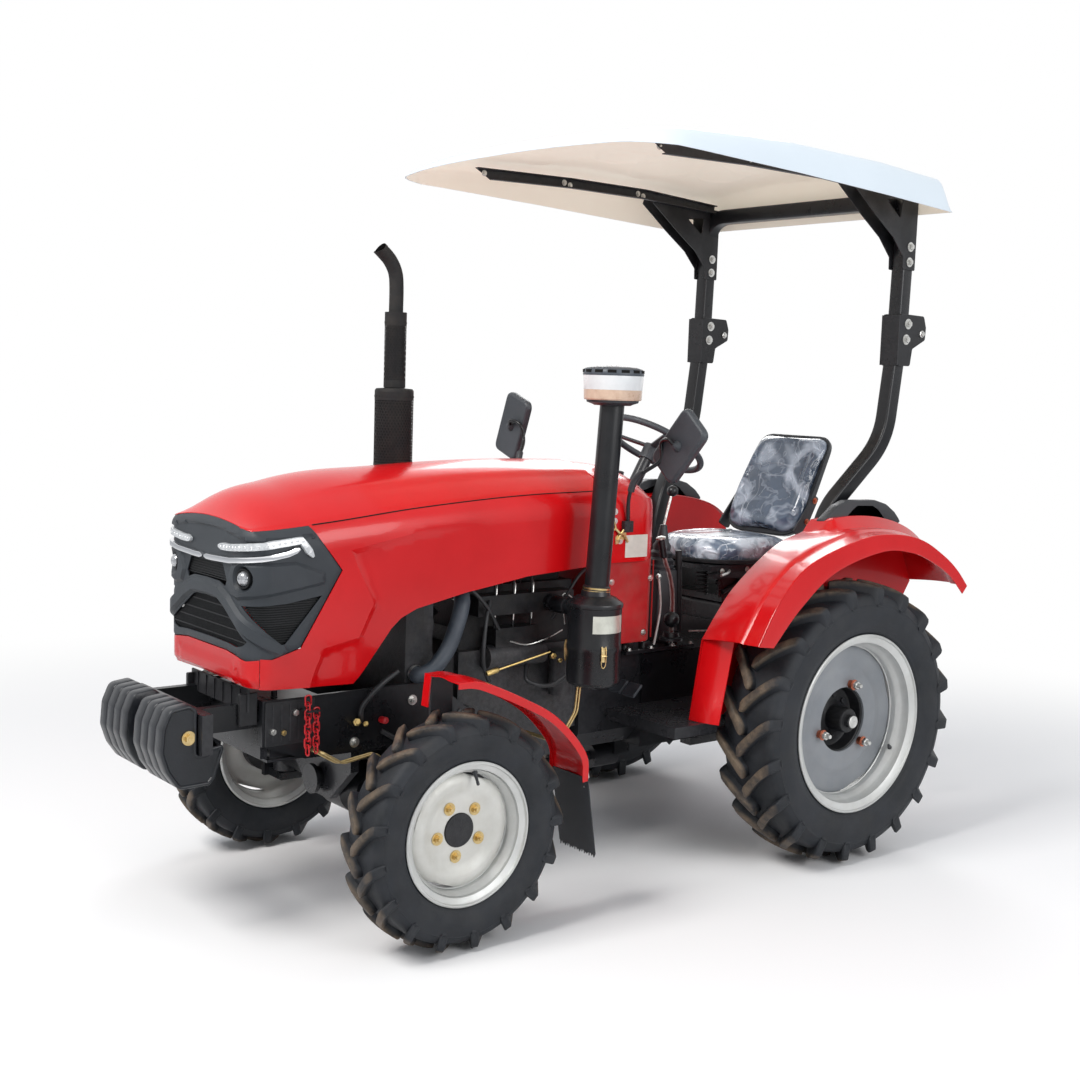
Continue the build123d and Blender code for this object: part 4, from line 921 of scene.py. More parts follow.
def make_ring_tree():
    """Copies of one object, turned evenly about an axle line."""
    tree, start, end = new_tree("round_an_axle", [
        ("Piece", "NodeSocketObject"), ("Count", "NodeSocketInt"), ("Step", FLOAT), ("First", FLOAT),
        ("Axle", VECTOR), ("Finish", MATERIAL),
    ])
    line = add_node(tree, "GeometryNodeMeshLine", Count=start.outputs["Count"], Offset=(0, 0, 0),
                    Start_Location=(0, 0, 0))
    place = add_node(tree, "GeometryNodeTransform", Geometry=line.outputs[0],
                     Translation=start.outputs["Axle"])
    spots = add_node(tree, "GeometryNodeMeshToPoints", Mesh=place.outputs[0])
    index = tree.nodes.new("GeometryNodeInputIndex")
    angle = math(tree, "MULTIPLY_ADD", index.outputs[0], start.outputs["Step"], start.outputs["First"])
    turn = add_node(tree, "ShaderNodeCombineXYZ", X=angle)
    source = add_node(tree, "GeometryNodeObjectInfo", Object=start.outputs["Piece"])
    copies = add_node(tree, "GeometryNodeInstanceOnPoints", Points=spots.outputs[0],
                      Instance=source.outputs["Geometry"], Rotation=turn.outputs[0])
    whole = add_node(tree, "GeometryNodeRealizeInstances", Geometry=copies.outputs[0])
    joined = tree.nodes.new("GeometryNodeJoinGeometry")
    tree.links.new(whole.outputs[0], joined.inputs[0])
    tree.links.new(start.outputs["Geometry"], joined.inputs[0])
    dressed = add_node(tree, "GeometryNodeSetMaterial", Geometry=joined.outputs[0],
                       Material=start.outputs["Finish"])
    tree.links.new(dressed.outputs[0], end.inputs[0])
    return tree


RING_TREE = make_ring_tree()


def ring_of(base, form, count, step, first, axle, material):
    """A mesh with copies of a form turned round an axle through a point."""
    source = bpy.data.objects.new("repeat", as_mesh("repeat", form))
    bpy.context.scene.collection.objects.link(source)
    values = {"Piece": source, "Count": count, "Step": step, "First": first, "Axle": tuple(axle),
              "Finish": material}
    result = grown(base, RING_TREE, values)
    bpy.data.objects.remove(source)
    return result


# ---------------------------------------------------------------- wheels
# half sections in mm, from the bead to the crown: (x, radius)
REAR_TYRE_SECTION = mm((
    (90, 307.5), (101, 308), (104.5, 318), (105, 331), (108.5, 340), (115, 346), (116.5, 350),
    (116.8, 353.5), (121.5, 360), (126.8, 378), (130, 398), (130.8, 415), (129.8, 436), (128.2, 447),
    (129.2, 449.2), (127.8, 451.8), (124, 464), (117, 476), (106, 484.5), (90, 488.5),
    (60, 492), (30, 493.8), (0, 494.2),
))
FRONT_TYRE_SECTION = mm((
    (55, 204.5), (62, 205), (64.8, 212), (65.2, 222.5), (68, 229), (72.5, 232.5), (73.8, 235),
    (74.2, 237.5), (78.5, 245), (84, 262), (87.2, 280), (87.6, 292), (86.6, 306), (85.4, 312.5),
    (86.4, 314.2), (84.8, 316.5), (81.5, 325), (75, 334), (67, 340), (56, 343),
    (38, 345), (18, 346), (0, 346.3),
))

# tread bar stations in mm: (x, lead along the tread, top radius, half widths at top and base, base radius)
REAR_BAR = mm((
    (-13, 66, 523, 7.8, 12.4, 480),
    (-9, 64, 528.5, 17.5, 22.9, 480),
    (-1, 58, 529.7, 23.7, 29.1, 480),
    (12, 45, 529.8, 23.4, 29.1, 480),
    (30, 24, 529.3, 20.8, 27.9, 480),
    (52, 2, 528, 19.8, 27.3, 478),
    (74, -20, 525.6, 19.8, 27.9, 476),
    (95, -39, 522.2, 20.2, 28.5, 472),
    (113, -53, 517.5, 20.5, 29.1, 462),
    (125.5, -60, 512, 19.5, 27.9, 452),
    (131.2, -63, 501, 15.9, 22.8, 448),
    (132.2, -64, 484, 14, 19.2, 446),
    (130.8, -65, 462, 11.6, 15, 440),
    (128, -65, 448, 7.3, 9.6, 436),
))
FRONT_BAR = mm((
    (-10.5, 47, 367.5, 5.8, 9.2, 335),
    (-7.5, 45.5, 371.5, 12.8, 16.5, 335),
    (-1, 41, 372.8, 17.7, 21.7, 335),
    (8.5, 31, 372.9, 17.4, 21.7, 335),
    (21, 16, 372.6, 15.6, 20.7, 335),
    (36, 0.5, 371.6, 14.8, 20.5, 334),
    (51, -15, 369.8, 14.8, 20.7, 332),
    (64.5, -28, 367.2, 15.1, 21.2, 328),
    (76.5, -38.5, 363.5, 15.1, 21.5, 320),
    (85, -43, 359, 14.3, 20.5, 312),
    (88.8, -45, 350.5, 11.8, 16.8, 310),
    (89.3, -45.5, 337, 10.3, 14.2, 308),
    (88, -46, 323, 8.4, 11.2, 304),
    (85.8, -46, 313, 5.4, 7.1, 300),
))


def tread_bar(form, stations, outer_radius, side, turn):
    """One curved bar from the tread's centre to the shoulder, at an angle round the axle."""
    rows = []
    for x, lead, top, half_top, half_base, base in stations:
        drop = min(0.0045, (top - base) * 0.3)
        section = (
            (-half_base, base), (-half_top - 0.0008, top - drop), (-half_top + 0.0028, top),
            (half_top - 0.0028, top), (half_top + 0.0008, top - drop), (half_base, base),
        )
        row = []
        for offset, radius in section:
            angle = turn + (offset - lead) / outer_radius
            row.append(Vector((side * x, radius * sin(angle), radius * cos(angle))))
        rows.append(row)
    add_loft(form, rows)


def make_tyre(name, centre, section, stations, outer_radius, bars, side, material, body, node):
    """A carcass turned about the axle with its two rows of facing bars."""
    step = tau / bars
    form = new_form()
    whole = [(x, r) for x, r in section] + [(-x, r) for x, r in reversed(section[:-1])]
    add_turned(form, whole, centre, AXLE, sides=bars * 8, closed=True)
    settle(form)
    bar = new_form()
    tread_bar(bar, stations, outer_radius, side, 0)
    tread_bar(bar, stations, outer_radius, -side, -step / 2)
    settle(bar)
    ease_edges(bar, 0.0012, 50, 1)
    mesh = ring_of(as_mesh(name, form), bar, bars, step, 0.0, centre, material)
    piece(name, mesh, material, body, sharp=40, in_place_of=[node])


def rim_section(flange, bead, well, gauge):
    """Rolled flange, bead seat and drop centre, as one closed smooth outline."""
    (flange_x, flange_r), (bead_x, bead_r), (well_x, well_r) = flange, bead, well
    lip = 0.0052
    outer = [
        (flange_x + 2.3 * lip, flange_r + lip * 0.2), (flange_x + 1.7 * lip, flange_r + lip),
        (flange_x + 0.7 * lip, flange_r + 0.9 * lip),
        (flange_x, flange_r - 0.002), (bead_x + 0.0008, bead_r + 0.008), (bead_x - 0.004, bead_r + 0.0008),
        (bead_x - 0.012, bead_r - 0.001),
        (well_x + 0.026, bead_r - 0.004), (well_x + 0.018, bead_r - 0.0075),
        (well_x + 0.006, well_r + 0.003), (well_x - 0.002, well_r),
    ]
    inner = [
        (flange_x + 2.3 * lip, flange_r - lip * 0.5), (flange_x + 1.6 * lip, flange_r - gauge * 0.7),
        (flange_x + gauge, flange_r - 0.0055),
        (bead_x + gauge, bead_r + 0.005), (bead_x - 0.0012, bead_r - gauge),
        (bead_x - 0.013, bead_r - gauge - 0.001),
        (well_x + 0.024, bead_r - 0.004 - gauge), (well_x + 0.015, bead_r - 0.0085 - gauge),
        (well_x + 0.004, well_r - gauge + 0.002),
        (well_x - 0.004, well_r - gauge),
    ]
    return outer[::-1] + inner + [(-x, r) for x, r in reversed(inner)] + [(-x, r) for x, r in outer]


def add_disc(form, outline, gauge, centre, side, sides=96, flats=(), flat_r=0.0):
    """A pressed disc: outline is (radius, x) from the hole outwards; its edge is cut straight at flats."""
    rows = []
    for face in (0, 1):
        rings = []
        for radius, x in outline:
            ring = []
            for k in range(sides):
                angle = tau * k / sides
                reach = radius
                for flat in flats:
                    lean = cos(angle - flat)
                    if lean > 0.5:
                        reach = min(reach, flat_r / lean)
                ring.append(Vector(centre) + Vector((side * (x - face * gauge), reach * cos(angle),
                    reach * sin(angle))))
            rings.append(ring)
        rows += rings if face == 0 else rings[::-1]
    add_loft(form, rows + [rows[0]], caps=False)


def weld_ring(form, centre, side, x, radius, bead, start=0.0, sweep=tau, count=64):
    """A rippled bead of weld round a circle."""
    line = [off_axle(centre, side, x, radius, start + sweep * k / count) for k in range(count + 1)]
    add_swept(form, line, lambda t: circle(bead * (1 + 0.18 * sin(t * sweep * radius / 0.0035)), 6))


REAR_STUDS = (0.0318, 0.136, (77, 197, 317))  # x, radius and angles
REAR_FLATS, FRONT_FLATS = (20, 110, 200, 290), (70, 160, 250, 340)  # angles of the discs' straight edges


def off_axle(centre, side, x, radius, angle):
    """A point outwards from a wheel's centre by x, and out from its axle at an angle."""
    return Vector(centre) + Vector((side * x, radius * cos(angle), radius * sin(angle)))


def make_rear_wheel(side_name, side):
    body = f"rear_wheel_{side_name}"
    centre = Vector((side * REAR_AXLE.x, REAR_AXLE.y, REAR_AXLE.z))
    rubber = tyre_finish(f"rear_rubber_{side_name}", centre, 0.507, 0.521, 0.85)
    make_tyre(f"rear_tyre_cover_{side_name}", centre, REAR_TYRE_SECTION, REAR_BAR, 0.53, 20, side, rubber,
              body, f"rear_tyre_{side_name}")

    form = new_form()
    add_turned(form, rim_section((0.105, 0.33), (0.101, 0.307), (0.05, 0.287), 0.005), centre, AXLE,
               sides=144, closed=True)
    settle(form)
    weld_ring(form, centre, side, 0.0265, 0.2815, 0.0032)
    piece(f"rear_rim_band_{side_name}", form, SILVER, body, in_place_of=[f"rear_rim_{side_name}"],
          settled=True)

    form = new_form()
    flats = [radians(a) for a in REAR_FLATS]
    outline = mm((
        (121.5, 26.5), (122.5, 30), (130, 31.2), (150, 31.6), (176, 33), (188, 32.5), (198, 30),
        (208, 26.2), (222, 25), (262, 25), (276, 24), (281.5, 20),
    ))
    add_disc(form, outline, 0.0065, centre, side, flats=flats, flat_r=0.269)
    piece(f"rear_disc_{side_name}", form, REAR_DISC_SHADE, body)

    form = new_form()
    hub = mm([
        (-341, 30), (-185, 30), (-185, 60), (-180, 63), (-162, 63), (-150, 56), (-120, 49),
        (-90, 52), (-62, 66), (-50, 100), (-44, 118), (-40, 124), (-12, 134),
        (-3, 150), (0, 152), (15, 152), (17.8, 149), (17.8, 122), (14, 118),
        (-28, 112), (-32, 104), (-32, 72), (-26, 58), (-14, 48.5), (52, 46.5),
        (58, 44), (59.5, 30), (59.5, 25), (76, 25),
    ])
    outward = (side, 0, 0)
    add_turned(form, hub, centre, outward, sides=64)
    for k in range(9):
        spot = off_axle(centre, side, -0.036, 0.084, tau * k / 9)
        add_turned(form, mm([(0, 10.5), (10, 10.5), (11.5, 9)]), spot, outward, sides=6)
    piece(f"rear_hub_casting_{side_name}", form, CAST_BLACK, body, in_place_of=[f"rear_hub_{side_name}"],
          ease=(0.0012, 40, 2))

    form = new_form()
    cap = mm([(0, 23.5), (7.5, 23.5), (9.5, 21.5), (9.5, 7.5), (7, 6), (7, 0)])
    add_turned(form, [(h + 0.074, r) for h, r in cap], centre, outward, sides=40)
    stud_x, stud_reach, stud_angles = REAR_STUDS
    studs = [off_axle(centre, side, stud_x, stud_reach, radians(angle)) for angle in stud_angles]
    for spot in studs:
        add_turned(form, mm([(-36, 8.8), (51, 8.8), (54, 7)]), spot, outward, sides=14)
        add_turned(form, mm([(20, 15), (21.5, 15.8), (35.5, 15.8), (37, 15)]), spot, outward, sides=6)
    piece(f"rear_wheel_nuts_{side_name}", form, WHITE_ZINC, body)
    form = new_form()
    for spot in studs:
        add_turned(form, mm([(16.5, 9.5), (16.5, 19.5), (19.8, 19.5), (19.8, 9.5)]), spot, outward,
                   sides=28, closed=True)
        add_turned(form, mm([(0, 9.5), (0, 15.5), (16.5, 15), (16.5, 9.5)]), spot, outward, sides=28,
                   closed=True)
    piece(f"rear_stud_sleeves_{side_name}", form, COPPER, body)

    angle = radians(-28)
    foot = off_axle(centre, side, 0.06, 0.283, angle)
    make_valve(f"rear_valve_{side_name}", foot, Vector((side * 0.55, -cos(angle), -sin(angle))), body)


def make_valve(name, foot, direction, body):
    form = new_form()
    stem = mm([(-4, 8.5), (0, 8.5), (3, 6.5), (18, 5), (30, 4.2), (31, 5), (40, 5), (42, 4)])
    add_turned(form, stem, foot, direction, sides=18)
    piece(name, form, SOFT_BLACK, body)


def make_front_wheel(side_name, side):
    body = f"front_wheel_{side_name}"
    centre = Vector((side * FRONT_AXLE.x, FRONT_AXLE.y, FRONT_AXLE.z))
    rubber = tyre_finish(f"front_rubber_{side_name}", centre, 0.355, 0.367, 0.8)
    make_tyre(f"front_tyre_cover_{side_name}", centre, FRONT_TYRE_SECTION, FRONT_BAR, 0.373, 17, side,
              rubber, body, f"front_tyre_{side_name}")

    form = new_form()
    add_turned(form, rim_section((0.065, 0.222), (0.062, 0.204), (0.03, 0.188), 0.004), centre, AXLE,
               sides=128, closed=True)
    settle(form)
    weld_ring(form, centre, side, 0.0145, 0.183, 0.0026)
    piece(f"front_rim_band_{side_name}", form, SILVER, body, in_place_of=[f"front_rim_{side_name}"],
          settled=True)

    form = new_form()
    outline = mm((
        (53.8, 15), (54.5, 17.2), (60, 17.8), (104, 17.8), (114, 19.2), (126, 25), (138, 30.8),
        (148, 32.8), (158, 31.8), (170, 26.2), (180, 19), (185, 13),
    ))
    add_disc(form, outline, 0.0052, centre, side, flats=[radians(a) for a in FRONT_FLATS], flat_r=0.1715)
    piece(f"front_disc_{side_name}", form, SILVER_DISC, body)

    form = new_form()
    outward = (side, 0, 0)
    hub = mm([
        (-100, 26), (-46, 26), (-46, 68), (-44, 71), (-30, 96), (-27, 98), (11.5, 98),
        (11.9, 60), (11.9, 53.8), (19.5, 53.6), (21.5, 52), (21.8, 0),
    ])
    add_turned(form, hub, centre, outward, sides=64)
    piece(f"front_hub_casting_{side_name}", form, CAST_BLACK, body, in_place_of=[f"front_hub_{side_name}"])

    spots = [(off_axle(centre, side, 0.0178, 0.082, radians(118 + 72 * k)), outward) for k in range(5)]
    bolts(f"front_wheel_bolts_{side_name}", spots, 0.022, GOLD_ZINC, body, head=0.01, washer=0.0035)
    form = new_form()
    for spot, _ in spots:
        add_turned(form, mm([(-10, 6.8), (19, 6.8), (20.5, 5.2)]), spot, outward, sides=14)
    piece(f"front_wheel_studs_{side_name}", form, GOLD_ZINC, body)

    angle = radians(78)
    foot = off_axle(centre, side, 0.041, 0.1845, angle)
    make_valve(f"front_valve_{side_name}", foot, Vector((side * 0.9, -cos(angle), -sin(angle))), body)


for side_name, side in SIDES:
    make_rear_wheel(side_name, side)
    make_front_wheel(side_name, side)


# ---------------------------------------------------------------- hood, side panels and nose
# stations in mm: (y, crown z, seam z, seam half width, side half width)
HOOD_ROWS = mm((
    (-1430, 1296, 1282, 270, 300),
    (-1340, 1372, 1286, 278, 304),
    (-1200, 1412, 1298, 284, 306),
    (-800, 1448, 1340, 282, 308),
    (-210, 1467, 1374, 280, 310),
    (150, 1450, 1368, 280, 310),
    (380, 1400, 1330, 276, 306),
))
NOSE_HALF, NOSE_CORNER = 0.305, 0.08
FRONT_RUN, ARC_RUN = NOSE_HALF - NOSE_CORNER, NOSE_CORNER * pi / 2
HOOD_TABLE = np.array(HOOD_ROWS)


def hood_size(y, column):
    """A smooth reading of the hood's table at one station."""
    rows = HOOD_TABLE
    place = int(np.clip(np.searchsorted(rows[:, 0], y) - 1, 0, len(rows) - 2))
    y0, y1 = rows[place, 0], rows[place + 1, 0]
    slopes = np.gradient(rows[:, column], rows[:, 0])
    span, t = y1 - y0, min(max((y - y0) / (y1 - y0), -0.2), 1.2)
    a, b = rows[place, column], rows[place + 1, column]
    ta, tb = slopes[place] * span, slopes[place + 1] * span
    return a * (2 * t ** 3 - 3 * t * t + 1) + ta * (t ** 3 - 2 * t * t + t) + b * (3 * t * t - 2
        * t ** 3) + tb * (t ** 3 - t * t)


def crown_height(x, y):
    """Height of the hood's crown over a point."""
    crown, seam, half = hood_size(y, 1), hood_size(y, 2), hood_size(y, 3)
    rise = max(crown - seam, 0.004)
    radius = (half * half + rise * rise) / (2 * rise)
    return crown - radius + max(radius * radius - x * x, 0.0) ** 0.5


HIP_DROP = 0.09  # height under the seam over which the side leans in


def side_reach(y, z):
    """Half width of the bodywork at a station and height."""
    seam, half, wide = hood_size(y, 2), hood_size(y, 3), hood_size(y, 4)
    hip = seam - HIP_DROP
    if z <= hip:
        return wide
    t = min((z - hip) / (seam - hip), 1.0)
    return wide - (wide - half) * (0.18 * t + 0.82 * t ** 2.6)


def nose_path(distance, z, side=1):
    """A point on the nose at a distance round from its middle line, at a height."""
    if distance < FRONT_RUN:
        x, y = distance, NOSE_Y
    elif distance < FRONT_RUN + ARC_RUN:
        angle = (distance - FRONT_RUN) / NOSE_CORNER
        x = FRONT_RUN + NOSE_CORNER * sin(angle)
        y = NOSE_Y + NOSE_CORNER * (1 - cos(angle))
    else:
        x, y = NOSE_HALF, NOSE_Y + NOSE_CORNER + distance - FRONT_RUN - ARC_RUN
    return Vector((side * min(x, side_reach(y, z)), y, z))


def run_of(x=None, y=None):
    """Distance round the nose from the middle line to a front x or a side y."""
    if x is not None:
        return x if x < FRONT_RUN else FRONT_RUN + NOSE_CORNER * asin(min((x - FRONT_RUN) / NOSE_CORNER, 1))
    if y < NOSE_Y + NOSE_CORNER:
        return FRONT_RUN + NOSE_CORNER * acos(max(1 - (y - NOSE_Y) / NOSE_CORNER, -1))
    return FRONT_RUN + ARC_RUN + y - NOSE_Y - NOSE_CORNER


SIDE_LOW = mm((
    (-1415, 800), (-1055, 787), (-1020, 826), (-919, 954), (-885, 984), (-826, 1011), (-630, 1053),
    (-381, 1092), (-20, 1118),
))
RECESS_TOP = mm(((-1078, 1213), (-820, 1262), (-557, 1297)))
RECESS_FRONT = mm(((-1078, 1213), (-991, 1041), (-1043, 937), (-1170, 911), (-1205, 830), (-1218, 780)))
SEAM = tuple((y, hood_size(y, 2)) for y in np.linspace(-1.218, -0.02, 14))


RECESS_DEPTH, RECESS_EDGE, RECESS_FADE = 0.0085, 0.016, 0.42


def recess_depth(y, z):
    """Depth of a side panel's pressed recess: a sharp front and top edge, fading rearwards."""
    loop = [*RECESS_TOP, (-0.54, 1.0), (-0.88, 0.9), (-1.0, 0.7), (-1.218, 0.7), *RECESS_FRONT[::-1]]
    if not inside((y, z), loop):
        return 0.0
    edge = float(away_from([(y, z)], [*RECESS_FRONT[::-1], *RECESS_TOP])[0])
    fade = min(max((RECESS_TOP[-1][0] - y) / RECESS_FADE, 0.0), 1.0)
    return RECESS_DEPTH * (fade ** 0.7) * min(edge / RECESS_EDGE, 1.0)


def make_side_panel(side_name, side):
    gap = 0.0018
    outline = [
        *((y, z) for y, z in SIDE_LOW if y > -1.379), *((y, z - gap) for y, z in reversed(SEAM)),
        (-1.108 + gap, 1.152), (-1.25 + gap, 0.921 - gap), (-1.345, 0.893 - gap), (-1.379, 0.896 - gap),
        (-1.379, 0.7995),
    ]

    def place(y, z):
        x = side_reach(y, z) - recess_depth(y, z)
        run = run_of(y=y)
        if y < NOSE_Y + NOSE_CORNER:
            x, y = nose_path(run, z).x, nose_path(run, z).y
        low = min(abs(z - lz) for ly, lz in SIDE_LOW if abs(ly - y) < 1.0) if z < 0.8 else 1
        return Vector((side * x, y, z)) - Vector((side * 0.004, 0, 0)) * max(0.0, 1 - low / 0.006)

    form = new_form()
    creases = [RECESS_FRONT[:-1], RECESS_TOP, [(y + 0.016, z - 0.008) for y, z in RECESS_FRONT[:-1]],
               [(y + 0.012, z - 0.016) for y, z in RECESS_TOP]]
    add_panel(form, outline, place, 0.0028 * side, creases, step=0.017)
    piece(f"hood_side_panel_{side_name}", form, RED, sharp=24, in_place_of=[f"hood_side_{side_name}"],
          ease=(0.001, 60, 1))


def make_hood_top():
    """The crown sheet with its raised middle, its front lip and a collar round the stack."""
    rows = np.concatenate([np.linspace(-1.415, -1.33, 12), np.linspace(-1.31, -0.023, 70)])
    shares = np.concatenate([np.linspace(-1, -0.93, 6), np.linspace(-0.9, 0.9, 44),
                             np.linspace(0.93, 1, 6)])
    form = new_form()
    sheets = []
    for depth in (0.0, 0.003):
        grid = []
        for y in rows:
            half = hood_size(y, 3) + 0.0005
            if y < NOSE_Y + NOSE_CORNER:
                spread = (NOSE_Y + NOSE_CORNER - y) / NOSE_CORNER
                half = min(half, NOSE_HALF - NOSE_CORNER + NOSE_CORNER * max(1 - spread * spread, 0) ** 0.5)
            line = []
            for share in shares:
                x = half * share
                z = crown_height(x, y)
                edge = 1 - abs(share)
                z -= 0.0022 * (1 - smooth(edge / 0.055))
                z += 0.006 * smooth((edge - 0.3) / 0.1) * smooth((y + 1.3) / 0.35)
                line.append(Vector((x, y, z - depth)))
            grid.append(line)
        sheets.append(grid)
    for grid in sheets:
        add_loft(form, grid, closed_rows=False, caps=False)
    rims = [[*g[0], *[row[-1] for row in g[1:]], *g[-1][-2::-1], *[row[0] for row in g[-2:0:-1]]]
            for g in sheets]
    add_loft(form, rims, caps=False)
    piece("hood_top_sheet", form, RED, sharp=28, in_place_of=["hood_top"], ease=(0.0008, 60, 1))
    form = new_form()
    # A near-black tube along each edge of the crown sheet: painted shade in the seam gap.
    for side in (-1, 1):
        line = []
        for k in range(60):
            y = -1.205 + 1.185 * k / 59
            half = hood_size(y, 3) + 0.0012
            line.append(Vector((side * half, y, crown_height(half, y) - 0.0012)))
        add_swept(form, line, circle(0.0021, 6))
    piece("hood_seam", form, GAP_SHADE_BLACK)
    form = new_form()
    x, y, z = STACK.x, STACK.y, 1.444
    add_turned(form, mm([(-10, 79), (4.5, 79), (6, 77.5), (6, 71.5), (-10, 70)]), (x, y, z),
               (-0.09, -0.05, 1), sides=56, closed=True)
    piece("stack_collar", form, GAP_SHADE_BLACK)


def smooth(t):
    t = min(max(t, 0.0), 1.0)
    return t * t * (3 - 2 * t)


def wrapped(depth_out=0.0, side=1):
    """Places (run round the nose, z) outlines on the nose, standing out by a depth."""
    def place(run, z, d):
        here = nose_path(abs(run), z, 1)
        ahead, behind = nose_path(abs(run) + 0.002, z, 1), nose_path(max(abs(run) - 0.002, 0), z, 1)
        along_run = (ahead - behind).normalized()
        out = Vector((-along_run.y, along_run.x, 0)) * -1
        point = here + out * (depth_out - d)
        point.x *= side * (-1 if run < 0 else 1)
        return point
    return place


def nose_solid(form, outline, out, thick, side=1, step=0.018, creases=(), profile=None, holes=()):
    """A moulding on the nose: outline in (run, z), standing out by out or by profile(run, z)."""
    lift = profile or (lambda run, z: out)

    def place(run, z):
        return wrapped(lift(run, z), side)(run, z, 0)
    add_panel(form, outline, place, thick * side, creases, step=step, holes=holes)


def beside(line, reach):
    """A polyline moved sideways by a reach, to its left."""
    moved = []
    for i, (a, b) in enumerate(line):
        (a0, b0), (a1, b1) = line[max(i - 1, 0)], line[min(i + 1, len(line) - 1)]
        length = hypot(a1 - a0, b1 - b0)
        moved.append((a - (b1 - b0) / length * reach, b + (a1 - a0) / length * reach))
    return moved


def ramp(t):
    return min(max(t, 0.0), 1.0)


R = run_of
NOSE_TOP = [(R(y=y), hood_size(y, 2) - 0.003) for y in (-1.216, -1.28, -1.34, -1.375)]
NOSE_TOP += [(x, crown_height(x, NOSE_Y + 0.004) - 0.004) for x in (0.262, 0.225, 0.18, 0.12, 0.06, 0.0)]
NOSE_EDGE = [
    (0.0, 0.903), (0.14, 0.903), (0.205, 0.896), (R(x=0.25), 0.888), (R(y=-1.345), 0.893),
    (R(y=-1.25), 0.921),
    (R(y=-1.108), 1.152), *NOSE_TOP,
]
LOWER_MESH = mm([(0, 928), (145, 926), (205, 921), (245, 930), (262, 944), (98, 1046), (70, 1054),
                 (0, 1056)])
UPPER_MESH = mm([(0, 1112), (86, 1110), (130, 1098), (140, 1118), (112, 1168), (0, 1168)])
SIDE_MESH = [(R(x=0.236), 1.052), (R(y=-1.322), 0.938), (R(y=-1.3), 0.938), (R(y=-1.178), 1.078),
             (R(y=-1.3), 1.06)]
LAMP_POD = [
    (0.148, 1.118), (0.176, 1.176), (0.262, 1.186), (R(y=-1.27), 1.188), (R(y=-1.168), 1.15),
    (R(y=-1.166), 1.112),
    (R(y=-1.31), 1.09), (0.215, 1.066), (0.17, 1.076),
]
V_BAR = [(0.0, 1.082), (0.092, 1.078), (0.15, 1.052), (R(x=0.3), 0.945), (R(y=-1.318), 0.921)]
STRIP_LINE = [(0.098, 1.221), (0.165, 1.222), (R(x=0.29), 1.236), (R(y=-1.3), 1.246), (R(y=-1.252), 1.252),
              (R(y=-1.214), 1.2)]
CHROME_LINE = [(0.006, 1.18), (0.06, 1.18), (0.18, 1.1845), (R(x=0.295), 1.2), (R(y=-1.3), 1.213),
               (R(y=-1.262), 1.227)]


def both(outline):
    """A half outline of the nose carried across the middle line."""
    return [*outline, *[(-run, z) for run, z in reversed(outline) if run > 1e-6]]


LAMP_RUN, LAMP_RING, LAMP_DIP = (0.24, 1.135), (0.03, 0.044), 0.026
V_BAR_RISE, BROW_RISE, POD_RISE, POD_SLOPE = 0.0125, 0.008, 0.0085, 0.011
BROW = [(run, z - 0.034) for run, z in NOSE_TOP[::-1]]
POD_LOOP = [*LAMP_POD, LAMP_POD[0]]
POD_FLOOR = beside(POD_LOOP, -POD_SLOPE)


def nose_lift(run, z):
    """The sculpted front of the dark moulding: rim, brow, V bar and pods in one surface."""
    a = abs(run)
    here = np.array([(a, z)])
    lift = 0.0015 - 0.0035 * (1 - ramp(float(away_from(here, NOSE_EDGE)[0]) / 0.004))
    lift += V_BAR_RISE * (1 - ramp((float(away_from(here, V_BAR)[0]) - 0.015) / 0.01))
    brow = float(away_from(here, BROW)[0])
    if z > np.interp(a, [p[0] for p in BROW], [p[1] for p in BROW]):
        lift += BROW_RISE * ramp(brow / 0.006) - BROW_RISE * ramp((brow - 0.012) / 0.022)
    if inside((a, z), LAMP_POD):
        lift += POD_RISE * ramp(float(away_from(here, POD_LOOP)[0]) / POD_SLOPE)
        lift -= LAMP_DIP * (1 - ramp((hypot(a - LAMP_RUN[0], z - LAMP_RUN[1]) - LAMP_RING[0]) / 0.014))
    return lift


def slats_tree():
    """Slats set side by side inside a mesh's box, each one a thin bar."""
    tree, start, end = new_tree("slats", [("Count", "NodeSocketInt"), ("Pitch", VECTOR), ("Size", VECTOR),
                                          ("First", VECTOR), ("Finish", MATERIAL)])
    line = add_node(tree, "GeometryNodeMeshLine", {"mode": "OFFSET"}, Count=start.outputs["Count"],
                    Start_Location=start.outputs["First"], Offset=start.outputs["Pitch"])
    bar = add_node(tree, "GeometryNodeMeshCube", Size=start.outputs["Size"])
    row = add_node(tree, "GeometryNodeInstanceOnPoints", Points=line.outputs[0], Instance=bar.outputs[0])
    whole = add_node(tree, "GeometryNodeRealizeInstances", Geometry=row.outputs[0])
    dressed = add_node(tree, "GeometryNodeSetMaterial", Geometry=whole.outputs[0],
                       Material=start.outputs["Finish"])
    tree.links.new(dressed.outputs[0], end.inputs[0])
    return tree


SLATS_TREE = slats_tree()


def clear_of(lines, holes):
    """The parts of crease lines that stay outside the holes."""
    kept = []
    for line in lines:
        run = []
        for point in divided(line, 0.006):
            if any(inside(point, hole) for hole in holes):
                if len(run) > 1:
                    kept.append(run)
                run = []
            else:
                run.append(point)
        if len(run) > 1:
            kept.append(run)
    return kept


